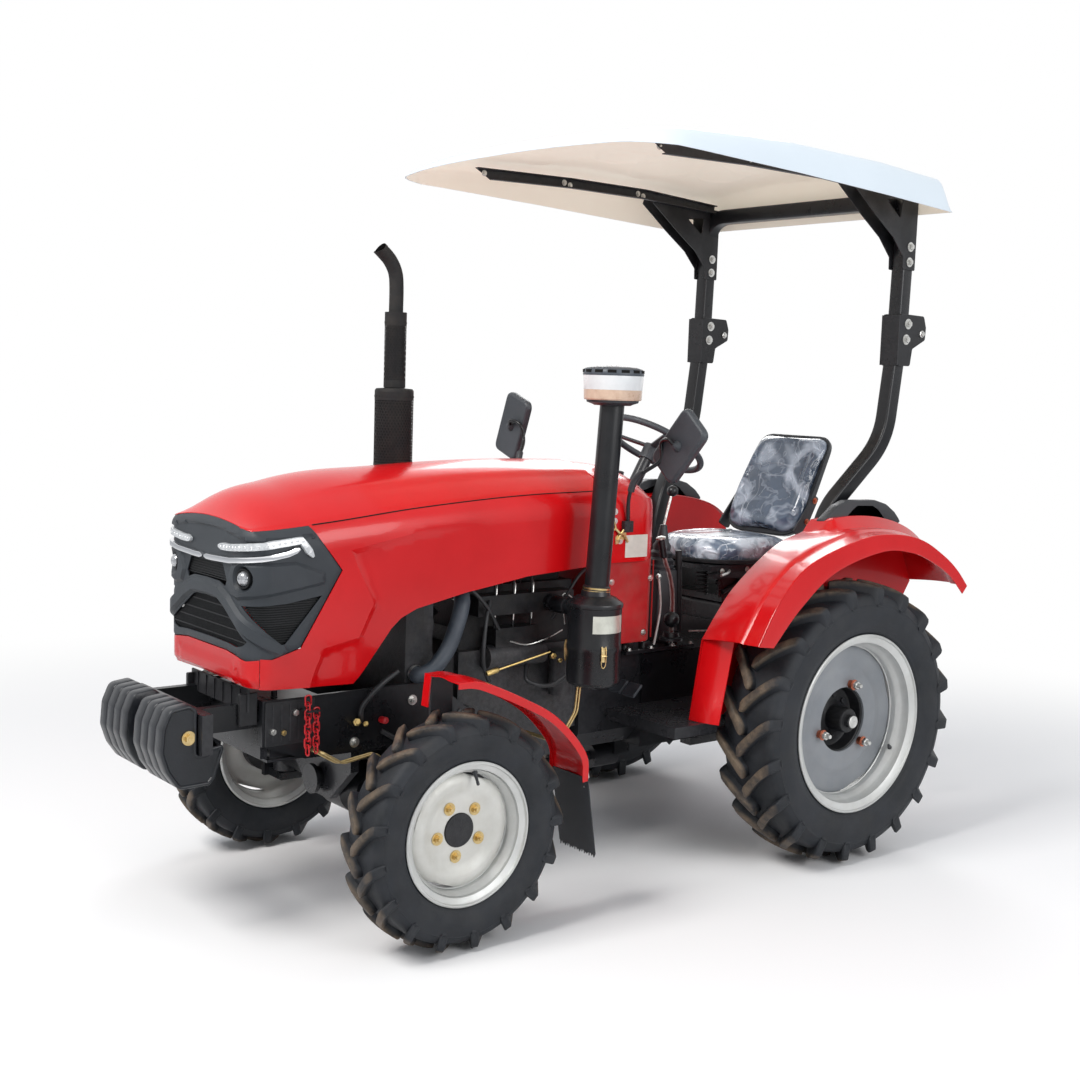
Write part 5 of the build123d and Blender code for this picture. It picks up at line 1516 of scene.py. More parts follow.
def make_nose():
    form = new_form()
    holes = [both(LOWER_MESH), both(UPPER_MESH), SIDE_MESH, [(-run, z) for run, z in SIDE_MESH][::-1]]
    rings = [[(LAMP_RUN[0] + r * cos(tau * k / 28), LAMP_RUN[1] + r * sin(tau * k / 28))
              for k in range(29)] for r in LAMP_RING]
    lines = [POD_LOOP, POD_FLOOR, BROW, beside(BROW, -0.006), beside(BROW, -0.012), *rings]
    lines += [beside(V_BAR, reach) for reach in (-0.025, -0.015, 0.015, 0.025)]
    lines = [[(max(r, 0.0), z) for r, z in line] for line in lines]
    creases = clear_of(lines, holes)
    creases += [[(-r, z) for r, z in line] for line in creases]
    add_panel(form, both(NOSE_EDGE), lambda run, z: wrapped(nose_lift(run, z))(run, z, 0), 0.004, creases,
              step=0.0105, holes=holes)
    piece("nose_moulding", form, NOSE_PLASTIC, sharp=26, in_place_of=["nose_grille"], ease=(0.0009, 60, 1))

    # A near-black strip set behind the gap round the moulding's edge: painted shade in the gap.
    form = new_form()
    for side in (1, -1):
        rows = [[wrapped(-0.01, side)(max(run + shift, 0), z, 0) for shift in (-0.008, 0.012)]
                for run, z in NOSE_EDGE]
        for (a, b), (c, d) in zip(rows, rows[1:]):
            add_faces(form, [a, b, c, d], [(0, 1, 3, 2)])
    settle(form)
    bmesh.ops.solidify(form, geom=form.faces[:], thickness=0.002)
    piece("nose_gap_seal", form, GAP_SHADE_BLACK, settled=True)

    form = new_form()
    for outline in (both(LOWER_MESH), both(UPPER_MESH)):
        grown_out = [(r * 1.03, 1.0 + (z - 1.0) * 1.06) for r, z in outline]
        nose_solid(form, grown_out, -0.013, 0.002, step=0.05)
    for side in (1, -1):
        nose_solid(form, [(r + (0.016 if r > 0.35 else -0.008), z + (0.006 if z > 1 else -0.012))
                          for r, z in SIDE_MESH], -0.013, 0.002, side, step=0.04)
    piece("nose_mesh_backing", form, NOSE_DARK)

    start = bpy.data.meshes.new("start")
    values = {"Count": 88, "Pitch": (0.0062, 0, 0), "Size": (0.0022, 0.004, 0.142),
              "First": (-0.2697, NOSE_Y + 0.0085, 0.988), "Finish": NOSE_DARK}
    upright = grown(start, SLATS_TREE, values)
    form = new_form()
    form.from_mesh(upright)
    trim_to(form, both(LOWER_MESH))
    piece("lower_mesh_bars", form, NOSE_DARK, settled=True)
    form = new_form()
    rungs = [(0.94 + 0.031 * k, 0.255 - max(0.0, 0.94 + 0.031 * k - 0.944) * 1.6) for k in range(4)]
    rungs += [(1.116 + 0.0078 * k, 0.139 - 0.0078 * k * 0.5) for k in range(7)]
    for z, reach in rungs:
        line = [(-reach, NOSE_Y + 0.0065, z), (reach, NOSE_Y + 0.0065, z)]
        add_swept(form, line, mm([(-2, -1.1), (2, -1.1), (2, 1.1), (-2, 1.1)]))
    for side in (1, -1):
        for k in range(18):
            z = 0.9445 + 0.0072 * k
            run_low = R(x=0.236)
            run_low += (R(y=-1.322) - run_low) * (1.052 - z) / 0.114 if z < 1.052 else (z - 1.052) * 6.0
            run_high = R(y=-1.3) + (R(y=-1.178) - R(y=-1.3)) * (z - 0.938) / 0.14
            line = [wrapped(-0.007, side)(run_low + (run_high - run_low) * i / 8, z, 0) for i in range(9)]
            add_swept(form, line, mm([(-2.2, -1.2), (2.2, -1.2), (2.2, 1.2), (-2.2, 1.2)]))
    piece("nose_louvres", form, NOSE_DARK)

    for side_name, side in SIDES:
        form = new_form()
        band(form, STRIP_LINE, 0.0128, 0.0125, side)
        piece(f"lamp_strip_{side_name}", form, LAMP_CLEAR, in_place_of=["headlamps"] if side > 0 else (),
              ease=(0.0012, 50, 2))
        form = new_form()
        band(form, CHROME_LINE, 0.01, 0.016, side)
        piece(f"bright_strip_{side_name}", form, CHROME, ease=(0.0015, 50, 2))
        form = new_form()
        for k in range(19):
            share = k / 18
            run, z = line_at(STRIP_LINE, 0.05 + 0.9 * share)
            spot = wrapped(0.0112, side)(run, z, 0)
            out = (wrapped(0.03, side)(run, z, 0) - spot).normalized()
            add_turned(form, mm([(0, 4.6), (1.2, 4.6), (2.6, 3.2), (3.1, 0)]), spot, out, sides=10)
        piece(f"lamp_strip_cells_{side_name}", form, LAMP_CELL)
        form = new_form()
        spot = wrapped(-0.012, side)(*LAMP_RUN, 0)
        out = Vector((side * 0.28, -1, 0.02)).normalized()
        add_turned(form, mm([(-30, 31), (8, 31.5), (12, 30), (12.5, 26.2), (4, 24.5), (4, 0)]), spot, out,
                   sides=40)
        piece(f"lamp_bezel_{side_name}", form, NOSE_DARK, ease=(0.0008, 40, 2))
        form = new_form()
        add_turned(form, mm([(4, 24), (10, 23.2), (18, 19), (24, 11.5), (26.2, 0)]), spot, out, sides=36)
        piece(f"lamp_lens_{side_name}", form, LAMP_GLASS)


def band(form, line, half, out, side):
    """A rounded strip that follows a line on the nose."""
    dense = []
    for a, b in zip(line, line[1:]):
        dense += [(a[0] + (b[0] - a[0]) * k / 6, a[1] + (b[1] - a[1]) * k / 6) for k in range(6)]
    dense.append(line[-1])
    rows = []
    for i, (run, z) in enumerate(dense):
        a, b = dense[max(i - 1, 0)], dense[min(i + 1, len(dense) - 1)]
        length = hypot(b[0] - a[0], b[1] - a[1])
        nr, nz = -(b[1] - a[1]) / length, (b[0] - a[0]) / length
        taper = min(1.0, 0.35 + min(i, len(dense) - 1 - i) * 0.35)
        h = half * taper
        rows.append([
            wrapped(out * 0.2, side)(run + nr * h, z + nz * h, 0),
            wrapped(out, side)(run + nr * h * 0.82, z + nz * h * 0.82, 0),
            wrapped(out, side)(run - nr * h * 0.82, z - nz * h * 0.82, 0),
            wrapped(out * 0.2, side)(run - nr * h, z - nz * h, 0),
        ])
    add_loft(form, rows)


def line_at(line, share):
    """The point a share of the way along a polyline."""
    lengths = [hypot(b[0] - a[0], b[1] - a[1]) for a, b in zip(line, line[1:])]
    left = share * sum(lengths)
    for (a, b), length in zip(zip(line, line[1:]), lengths):
        if left <= length:
            return a[0] + (b[0] - a[0]) * left / length, a[1] + (b[1] - a[1]) * left / length
        left -= length
    return line[-1]


def trim_to(form, outline):
    """Keeps the parts of thin upright bars that lie inside an outline, by moving their ends."""
    for v in form.verts:
        a = v.co.x
        crossings = []
        for (x0, z0), (x1, z1) in zip(outline, outline[1:] + outline[:1]):
            if (x0 > a) != (x1 > a):
                crossings.append(z0 + (z1 - z0) * (a - x0) / (x1 - x0))
        if len(crossings) >= 2:
            v.co.z = min(max(v.co.z, min(crossings)), max(crossings))
    loose = [v for v in form.verts if not (min(o[0] for o in outline) < v.co.x < max(o[0]
        for o in outline))]
    bmesh.ops.delete(form, geom=loose, context="VERTS")
    settle(form)


def make_lip():
    """The red lower lip of the nose with its inset line."""
    outline = both([(0.0, 0.812), (0.17, 0.806), (R(y=-1.3805), 0.7995), (R(y=-1.3805), 0.8905),
                    (R(x=0.255), 0.8845), (0.205, 0.8925), (0.14, 0.9), (0.0, 0.9)])
    inset = mm([(-215, 850), (-190, 868), (190, 868), (215, 850)])

    def lift(run, z):
        step = smooth((float(away_from([(abs(run), z)], mm([(0, 862), (170, 862), (205, 835)]))[0]))
                      / 0.006)
        below = 0.0025 if z < 0.862 and abs(run) < 0.2 else 0.0
        return -0.003 * (1 - step) + below - 0.01 * smooth((0.824 - z) / 0.022)
    form = new_form()
    add_panel(form, outline, lambda run, z: wrapped(lift(run, z))(run, z, 0), 0.003, [inset], step=0.012)
    piece("nose_lip_sheet", form, RED, sharp=26, in_place_of=["nose_lip"], ease=(0.001, 60, 1))


for side_name, side in SIDES:
    make_side_panel(side_name, side)
make_hood_top()
make_nose()
make_lip()


# ---------------------------------------------------------------- shared loop tools
def inset_loop(loop, reach):
    """A closed loop of (a, b) points moved inwards by a reach; the loop runs anticlockwise or clockwise."""
    area = sum(a[0] * b[1] - b[0] * a[1] for a, b in zip(loop, loop[1:] + loop[:1]))
    way = 1 if area > 0 else -1
    moved = []
    for i, (a, b) in enumerate(loop):
        (a0, b0), (a1, b1) = loop[i - 1], loop[(i + 1) % len(loop)]
        length = max(hypot(a1 - a0, b1 - b0), 1e-9)
        moved.append((a - way * (b1 - b0) / length * reach, b + way * (a1 - a0) / length * reach))
    return moved


def add_stepped(form, outline, place, steps):
    """A slab through steps of (depth, inset) from one face to the other, the last closed."""
    rows = [[place(a, b, depth) for a, b in inset_loop(outline, inset)] for depth, inset in steps]
    add_loft(form, rows)


def yz_line(points, steps=8):
    return [(p.y, p.z) for p in smooth_line([(0, y, z) for y, z in points], steps)]


def add_strip(form, line, section):
    """A section of (x, lift) points carried along a (y, z) line; lift is square to the line, up and out."""
    rows = []
    for i, (y, z) in enumerate(line):
        (y0, z0), (y1, z1) = line[max(i - 1, 0)], line[min(i + 1, len(line) - 1)]
        length = hypot(y1 - y0, z1 - z0)
        ny, nz = -(z1 - z0) / length, (y1 - y0) / length
        outline = section(i / (len(line) - 1)) if callable(section) else section
        rows.append([Vector((x, y + ny * lift, z + nz * lift)) for x, lift in outline])
    add_loft(form, rows)


# ---------------------------------------------------------------- front weights
WEIGHT_OUTLINE = rounded(mm([
    (-1640, 757), (-1575, 765), (-1553, 748), (-1553, 612), (-1513, 612), (-1513, 628),
    (-1472, 632), (-1466, 618), (-1495, 530), (-1512, 512), (-1611, 510), (-1650, 566),
    (-1670, 625), (-1664, 700),
]), [0.03, 0.022, 0.01, 0.006, 0.006, 0.006, 0.008, 0.008, 0.02, 0.016, 0.03, 0.05, 0.05, 0.05], 4)


def make_weights():
    slab_steps = mm([(0, 4.5), (1.2, 1.8), (4.5, 0), (46, 0), (49.2, 1.8), (50.5, 4.5)])
    rod_y, rod_z = -1.581, 0.665
    form = new_form()
    for first, outer in ((-0.236, 0), (0.028, 3)):
        for number in range(4):
            x0 = first + 0.0525 * number
            if number != outer:
                add_stepped(form, WEIGHT_OUTLINE, across(x0), slab_steps)
            else:
                steps = slab_steps + mm([(50.5, 8.5), (48.5, 10.5), (45.5, 12.5)])
                place = across(x0) if number else (lambda a, b, d, x=x0: Vector((x + 0.0505 - d, a, b)))
                add_stepped(form, WEIGHT_OUTLINE, place, steps)
    piece("front_weight_slabs", form, WEIGHT_BLACK, sharp=50, in_place_of=["front_weights"])
    form = new_form()
    for x0, x1 in ((-0.25, -0.02), (0.02, 0.25)):
        add_turned(form, [(0, 0.008), (x1 - x0, 0.008)], (x0, rod_y, rod_z), AXLE, sides=16)
    piece("weight_tie_rods", form, GOLD_ZINC)
    bolts("weight_tie_nuts", [((s * 0.2315, rod_y, rod_z), (s, 0, 0)) for s in (-1, 1)], 0.024, GOLD_ZINC,
          head=0.013, washer=0.004)


# ---------------------------------------------------------------- front mudguards
FENDER_LINE = yz_line(mm([(-940, 852), (-850, 846), (-694, 781), (-551, 700), (-434, 575), (-418, 480)]))


def make_front_fender(side_name, side):
    x0, x1 = 0.527, 0.711
    body = f"knuckle_{side_name}"

    def section(share):
        ridge_in = 0.02 * (1 - smooth((share - 0.3) / 0.08))
        skirt = 0.018 + 0.008 * smooth(share / 0.3)
        return [
            (side * x, lift) for x, lift in (
                (x0, -0.016), (x0, -0.0015), (x0 + 0.0015, 0.0), (x0 + 0.06, 0.0), (x0 + 0.075, 0.004),
                (x1 - 0.06 - ridge_in, 0.004),
                (x1 - 0.045 - ridge_in * 0.5, 0.0), (x1 - 0.002, 0.0), (x1, -0.002), (x1, -skirt),
                (x1 - 0.0022, -skirt), (x1 - 0.0022, -0.004),
                (x1 - 0.045 - ridge_in * 0.5, -0.0022), (x1 - 0.06 - ridge_in, 0.0015),
                (x0 + 0.075, 0.0015), (x0 + 0.06, -0.0022),
                (x0 + 0.0022, -0.0022), (x0 + 0.0022, -0.016),
            )
        ]
    form = new_form()
    add_strip(form, FENDER_LINE, section)
    leg = mm([(-940, 852.5), (-937, 850), (-946, 752), (-951, 752)])
    add_slab(form, leg, outwards(side, x0), 0.034)
    piece(f"front_fender_sheet_{side_name}", form, RED, body, sharp=30,
          in_place_of=[f"front_fender_{side_name}"])
    teeth = [(x1, 0.0), (x0, 0.0), (x0, 0.262)]
    for k in range(15):
        x = x0 + (x1 - x0) * (k + 0.5) / 15
        teeth += [(x - 0.003, 0.262 + 0.004 * (k % 3)), (x, 0.276 - 0.003 * (k % 2)),
                  (x + 0.003, 0.262 + 0.004 * (k % 3))]
    teeth += [(x1, 0.262)]

    def place(x, run, d):
        return Vector((side * x, -0.421 + 0.043 * smooth(run / 0.27) - d, 0.488 - run * 0.985))
    form = new_form()
    add_slab(form, teeth, place, 0.0035)
    near, far = sorted((side * (x0 - 0.012), side * x0))
    add_box(form, (near, -0.914, 0.4652), (far, -0.834, 0.84))
    piece(f"front_fender_flap_{side_name}", form, SOFT_BLACK, body)
    form = new_form()
    for x in (0.545, 0.69):
        near, far = sorted((side * (x - 0.01), side * (x + 0.01)))
        add_box(form, (near, -0.4135, 0.44), (far, -0.4105, 0.5))
    piece(f"front_fender_clips_{side_name}", form, WHITE_ZINC, body)
    spots = [((side * x, -0.4115, z), (0, 1, 0)) for x in (0.545, 0.69) for z in (0.455, 0.486)]
    bolts(f"front_fender_bolts_{side_name}", spots, 0.01, WHITE_ZINC, body, washer=0.001)


# ---------------------------------------------------------------- chain, hoses and small lines
def make_chain():
    """Two strands of oval links, each link turned a quarter against its neighbour."""
    form = new_form()
    for y, x, top, count in ((-1.196, 0.262, 0.742, 8), (-1.166, 0.262, 0.7, 6)):
        for n in range(count):
            z = top - 0.0225 * n
            loop = []
            for k in range(20):
                a = tau * k / 20
                wide, high = 0.0105 * cos(a), 0.0075 * sin(a) + (0.0095 if sin(a) > 0 else -0.0095)
                offset = Vector((wide, 0, high)) if n % 2 else Vector((0, wide, high))
                loop.append(Vector((x, y, z)) + offset)
            loop += [loop[0], loop[1]]
            add_swept(form, loop, circle(0.0028, 8))
    piece("hanging_chain", form, CHAIN_RED, in_place_of=["lift_chain"])


def hose_clamp(form, place, direction, radius):
    add_turned(form, [(-0.006, radius + 0.0002), (-0.006, radius + 0.0014), (0.006, radius + 0.0014),
                      (0.006, radius + 0.0002)], place, direction, sides=36, closed=True)


def make_lines():
    form = new_form()
    points = mm([(165, -585, 1035), (215, -592, 1030), (250, -612, 998), (260, -640, 930), (260, -672, 858),
              (257, -722, 800), (240, -765, 776), (200.5, -765, 776)])
    add_swept(form, smooth_line(points, 9), circle(0.0272, 22))
    piece("radiator_hose_cover", form, HOSE, in_place_of=["radiator_hose"])
    form = new_form()
    hose_clamp(form, (0.18, -0.588, 1.034), AXLE, 0.0275)
    hose_clamp(form, (0.214, -0.765, 0.776), AXLE, 0.0275)
    piece("hose_clamps", form, WHITE_ZINC)

    form = new_form()
    for points, radius in mm((
        ([(222, -980, 640), (250, -990, 700), (262, -930, 765), (250, -860, 800)], 8.5),
        ([(215, -430, 900), (240, -500, 985), (235, -580, 1060), (200, -640, 1100)], 7),
        ([(222, -470, 720), (255, -520, 800), (250, -510, 930), (215, -470, 1000)], 7.5),
        ([(210, -300, 760), (262, -330, 715), (300, -260, 700), (330, -190, 745)], 8),
        ([(235, -210, 920), (268, -180, 1000), (262, -120, 1070), (245, -60, 1100)], 6),
        ([(219, -900, 600), (245, -820, 560), (262, -700, 575), (240, -600, 640)], 8),
    )):
        add_pipe(form, points, radius, sides=12)
    piece("black_lines", form, BLACK_HOSE)

    form = new_form()
    for n in range(3):
        y = -0.43 + 0.08 * n
        add_pipe(form, [(0.19, y, 0.9), (0.196, y, 0.99), (0.178, y + 0.012, 1.06), (0.12, y + 0.01, 1.078),
                        (0.08, y, 1.068)], 0.0032, sides=8)
    add_pipe(form, mm([(245, -170, 880), (262, -250, 860), (250, -330, 842), (256, -410, 862)]), 0.0026,
             sides=8)
    add_pipe(form, mm([(252, -120, 930), (270, -140, 985), (262, -185, 1010), (246, -160, 900)]), 0.0026,
             sides=8)
    piece("bright_fuel_lines", form, WHITE_ZINC)

    form = new_form()
    start, stop = Vector((0.3, -0.529, 0.77)), Vector((0.33, -0.29, 0.826))
    way = (stop - start).normalized()
    add_turned(form, [(0, 0.0038), ((stop - start).length, 0.0038)], start, way, sides=12)
    add_turned(form, mm([(-8, 8.8), (0, 9.8), (34, 9.8), (40, 6)]), start, way, sides=10)
    for x, y, z, r in mm(((238, -995, 640, 13), (243, -965, 632, 9), (268, -215, 790, 11),
                          (262, -180, 770, 8))):
        add_turned(form, [(0, r), (0.022, r), (0.024, r * 0.6), (0.036, r * 0.55)], (x - 0.018, y, z),
                   (0.7, -0.3, 0.2), sides=6)
    piece("brass_rod_end", form, BRASS)

    form = new_form()
    add_turned(form, mm([(0, 10), (6, 11.5), (26, 11.5), (32, 7)]), (0.222, -0.905, 0.64), (1, 0.2, 0),
               sides=16)
    piece("red_terminal_cap", form, CHAIN_RED)

    form = new_form()
    for n in range(2):
        o = 0.014 * n
        add_swept(form, bent_line([(0.2185, -1.165 + o, 0.575), (0.256 + o, -1.165 + o, 0.574),
            (0.262 + o, -1.09 + o, 0.528), (0.262 + o, -0.955, 0.545), (0.262 + o, -0.894 + 0.03 * n, 0.47),
            (0.262 + o, -0.894 + 0.03 * n, 0.4175)], 0.016), circle(0.0042, 10))
    for n in range(2):
        o = 0.012 * n
        add_swept(form, bent_line([(0.395, -0.215 + o, 0.716), (0.395, -0.225 + o, 0.62),
            (0.38, -0.262 + o, 0.548), (0.34, -0.3 + o, 0.52), (0.205, -0.3 + o, 0.52)], 0.018),
            circle(0.0042, 10))
    piece("zinc_pipes", form, GOLD_ZINC, in_place_of=["steering_pipes"])
    heads = mm(((-1298, 647), (-1220, 700), (-780, 690), (-700, 600), (-640, 590), (-1000, 575)))
    spots = [((s * FRAME_SIDE, y, z), (s, 0, 0)) for s in (1, -1) for y, z in heads]
    bolts("frame_bolts", spots, 0.019, WHITE_ZINC, head=0.011, washer=0.003)
    spots = [((s * FRAME_SIDE, -1.26, 0.64), (s, 0, 0)) for s in (1, -1)]
    bolts("frame_bolts_brass", spots, 0.017, GOLD_ZINC, head=0.009, washer=0.003)


# ---------------------------------------------------------------- battery box, front frame details
def make_front_box():
    form = new_form()
    for s in (-1, 1):
        outline = rounded(mm([(-1322, 600), (-1322, 742), (-1150, 742), (-1150, 600)]), 0.006)
        add_stepped(form, outline, outwards(s, 0.2175), mm([(0, 0), (4, 0), (6, 2)]))
        for k in range(5):
            y = -1.3 + 0.03 * k
            add_stepped(form, rounded([(y, 0.612), (y, 0.73), (y + 0.006, 0.73), (y + 0.006, 0.612)], 0.002,
                2), outwards(s, 0.223), [(0.0, 0.0), (0.002, 0.0005)])
    piece("front_side_covers", form, BLACK_SATIN)
    form = new_form()
    for s in (-1, 1):
        add_stepped(form, rounded(mm([(-1395, 668), (-1395, 770), (-1335, 770), (-1335, 668)]), 0.004),
                    outwards(s, 0.178), mm([(0, 1), (2, 0), (14, 0), (16, 2)]))
    add_box(form, (-0.2, -1.372, 0.712), (0.2, -1.366, 0.782))
    for k in range(6):
        x = -0.15 + 0.06 * k
        add_box(form, (x - 0.004, -1.376, 0.716), (x + 0.004, -1.372, 0.778))
    piece("nose_brackets", form, BLACK_SATIN)


make_weights()
for side_name, side in SIDES:
    make_front_fender(side_name, side)
make_chain()
make_lines()
make_front_box()


# ---------------------------------------------------------------- exhaust
def add_mesh_tube(form, centre, radius, low, high, columns, gauge=0.0012, open_share=0.66):
    """A perforated tube: six-sided cells in staggered rows, each a closed ring round its hole."""
    pitch = tau * radius / columns
    rows = max(1, round((high - low) / (pitch * 0.866)))
    step = (high - low) / rows
    half_wide, half_high = pitch / 2, step * 2 / 3
    for row in range(rows):
        middle_z = low + step * (row + 0.5)
        for column in range(columns):
            middle = column + (0.5 if row % 2 else 0.0)
            rings = []
            for share, depth in ((0.985, 0), (open_share, 0), (open_share, gauge), (0.985, gauge)):
                ring = []
                for k in range(6):
                    a = tau * (k + 0.5) / 6
                    angle = (middle * pitch + share * half_wide * cos(a) / cos(pi / 6)) / radius
                    z = middle_z + share * half_high * sin(a)
                    r = radius - depth
                    ring.append(Vector((centre.x + r * cos(angle), centre.y + r * sin(angle), z)))
                rings.append([form.verts.new(p) for p in ring])
            for ring, after in zip(rings, rings[1:] + rings[:1]):
                for k in range(6):
                    n = (k + 1) % 6
                    form.faces.new((ring[k], ring[n], after[n], after[k]))


def make_exhaust():
    x, y = STACK.x, STACK.y
    form = new_form()
    add_turned(form, mm([(1420, 30), (1420, 60), (1440, 62), (1690, 62), (1712, 36), (1975, 33),
                         (1977, 0)]), (x, y, 0), UP)
    add_swept(form, bent_line([(x, y, 1.42), (x, y, 1.13), (x - 0.03, -0.48, 1.13),
                               (x - 0.03, -0.48, 1.0002)], 0.05), circle(0.024, 20))
    pipe = [(x, y, 1.97), (x, y, 2.06), (x, y - 0.006, 2.11), (x, y - 0.028, 2.15), (x, y - 0.062, 2.181),
            (x, y - 0.082, 2.196)]
    line = smooth_line(pipe, 7)
    frames = frames_along(line)
    rows = []
    for radius in (0.025, 0.0228):
        wall = []
        for i, (point, (side, other)) in enumerate(zip(line, frames)):
            share = i / (len(line) - 1)
            loop = []
            for a, b in circle(radius, 22):
                spot = point + side * a + other * b
                if share > 0.86:
                    along_pipe = (line[-1] - line[-4]).normalized()
                    spot = spot - along_pipe * (share - 0.86) / 0.14 * 0.75 * (0.025 + (spot - point).y)
                loop.append(spot)
            wall.append(loop)
        rows.append(wall)
    add_loft(form, rows[0] + rows[1][::-1][:-3], caps=False)
    piece("exhaust_pipe", form, HEATPROOF, sharp=40, in_place_of=["exhaust"])

    form = new_form()
    add_mesh_tube(form, Vector((x, y, 0)), 0.0675, 1.452, 1.676, 38)
    add_mesh_tube(form, Vector((x, y, 0)), 0.0378, 1.738, 1.932, 22)
    piece("exhaust_guards", form, HEATPROOF, sharp=50)

    form = new_form()
    for low, high, radius in mm(((1425, 1455, 68), (1672, 1700, 68), (1716, 1742, 38), (1928, 1975, 38.2))):
        add_turned(form, [(low, radius - 0.003), (low, radius), (high, radius), (high, radius - 0.003)],
                   (x, y, 0), UP, closed=True)
    add_turned(form, mm([(1698, 60), (1698, 68), (1706, 67.5), (1712, 63), (1714, 40), (1710, 38)]),
               (x, y, 0), UP, closed=True)
    for low, radius, count in ((1.682, 0.0682, 26), (1.936, 0.0384, 16)):
        for k in range(count):
            turn = Matrix.Rotation(tau * k / count, 3, "Z")
            add_box(form, (x + radius - 0.0012, y - 0.0028, low),
                    (x + radius + 0.0008, y + 0.0028, low + 0.006), turn, (x, y, low))
    for k in range(2):
        add_box(form, (x + 0.06, y + 0.02 - 0.04 * k - 0.006, 1.44),
                (x + 0.0688, y + 0.032 - 0.04 * k - 0.006, 1.448))
    piece("exhaust_guard_bands", form, HEATPROOF, sharp=35)


# ---------------------------------------------------------------- air cleaner and its bowl
CAN = Vector((0.42, -0.17, 0))


def make_air_cleaner():
    x, y = CAN.x, CAN.y
    form = new_form()
    add_turned(form, mm([(715, 0), (715, 70), (722, 86), (732, 92.5), (836, 93), (842, 95.5), (858, 95.5),
                         (864, 93), (988, 93), (992, 96.5), (999, 97.5), (1005, 95.5), (1012, 86),
                         (1024, 70), (1030, 52), (1046, 48), (1046, 0)]), (x, y, 0), UP, sides=72)
    add_turned(form, mm([(700, 0), (700, 14), (712, 20), (720, 20), (720, 0)]), (x, y, 0), UP, sides=24)
    duct = [(x - 0.04, y - 0.03, 0.978), (0.33, y - 0.032, 0.978), (0.262, y - 0.035, 0.976),
            (0.205, y - 0.03, 0.978)]
    add_swept(form, smooth_line(duct, 6), circle(0.0295, 22))
    for low in (0.23, 0.31):
        add_turned(form, mm([(0, 29.2), (0, 32), (10, 32), (10, 29.2)]), (low, y - 0.033, 0.977), AXLE,
                   sides=24, closed=True)
    piece("air_cleaner_can", form, BLACK, in_place_of=["air_cleaner"])

    form = new_form()
    foot, head = Vector((x, y + 0.002, 1.03)), Vector((x, y + 0.044, 1.69))
    way = (head - foot).normalized()
    length = (head - foot).length
    add_turned(form, [(0.0, 0.0), (0.0, 0.047), (0.03, 0.047), (0.033, 0.0425), (length - 0.02, 0.042),
                      (length, 0.042), (length, 0.0)], foot, way, sides=56)
    piece("intake_riser", form, BLACK)

    form = new_form()
    for low in (0.01, 0.02):
        add_turned(form, [(low, 0.0462), (low, 0.0482), (low + 0.006, 0.0482), (low + 0.006, 0.0462)], foot,
                   way, sides=48, closed=True)
    for angle in (-0.35, 1.7, 3.8):
        turn = Matrix.Rotation(angle, 3, "Z")

        def spot(a, b, c, turn=turn):
            return Vector((x, y, c)) + turn @ Vector((a, b, 0))
        add_faces(form, [spot(p, q, r) for p in (0.0945, 0.0975) for q in (-0.007, 0.007)
                         for r in (0.812, 0.862)], BOX_FACES)
        add_swept(form, bent_line([spot(0.0985, -0.007, 0.866), spot(0.103, -0.008, 0.845),
            spot(0.1, -0.008, 0.8), spot(0.098, 0.0, 0.788), spot(0.1, 0.008, 0.8),
            spot(0.103, 0.008, 0.845), spot(0.0985, 0.007, 0.866)], 0.008), circle(0.0016, 8))
        add_swept(form, [spot(0.1, -0.01, 0.834), spot(0.1, 0.01, 0.834)], circle(0.0034, 10))
    piece("air_cleaner_clips", form, GOLD_ZINC)

    form = new_form()
    low, high, gap = 0.908, 0.968, 0.0004
    rows = []
    for k in range(15):
        a = radians(-44 + 79 * k / 14)
        rows.append([Vector((x + r * cos(a), y + r * sin(a), z))
                     for r, z in ((0.093, low), (0.093 + gap * 2, low), (0.093 + gap * 2, high),
                                  (0.093, high))])
    add_loft(form, rows)
    piece("air_cleaner_bare_label", form, BLANK_FOIL)


def make_precleaner():
    centre = (0.42, -0.126, 1.68)
    form = new_form()
    add_turned(form, mm([(0, 0), (0, 62), (4, 70), (10, 88), (19, 90.5), (23, 88), (23, 0)]), centre, UP,
               sides=64)
    piece("bowl_base", form, SOFT_BLACK, in_place_of=["precleaner"])
    for name, profile, look, sharp in (
        ("bowl_dust", [(18, 0), (18, 96), (22, 99), (54, 100), (58, 0)], BOWL_DUST, 32),
        ("bowl_wall", [(50, 0), (53, 100.2), (100, 103.5), (104, 103), (104, 0)], BOWL_MILKY, 32),
        ("bowl_cap", [(101, 0), (101, 103.5), (104, 104.5), (117, 103.5), (123, 100), (130, 80),
                      (133.5, 30), (134, 0)], BOWL_CAP, 50),
    ):
        form = new_form()
        add_turned(form, mm(profile), centre, UP, sides=72)
        piece(name, form, look, sharp=sharp)
    form = new_form()
    # Near-black blocks in the cap's vent slots: painted shade in the openings.
    for k in range(14):
        turn = Matrix.Rotation(tau * (k + 0.3) / 14, 3, "Z")
        add_box(form, (centre[0] + 0.094, centre[1] - 0.0145, centre[2] + 0.1105),
                (centre[0] + 0.1045, centre[1] + 0.0145, centre[2] + 0.1205), turn, centre)
    piece("bowl_vents", form, GAP_SHADE_BLACK)
    form = new_form()
    x, y, z = centre
    add_turned(form, mm([(0, 7.5), (6, 6.5), (6, 0)]), (x, y, z + 0.1275), UP, sides=12)
    for way in (-1, 1):
        wing = [(x + way * 0.004, y, z + 0.13), (x + way * 0.016, y, z + 0.1335),
                (x + way * 0.013, y, z + 0.134), (x + way * 0.003, y, z + 0.133)]
        add_swept(form, smooth_line(wing, 4), circle(0.0015, 8))
    piece("bowl_wing_nut", form, WHITE_ZINC)


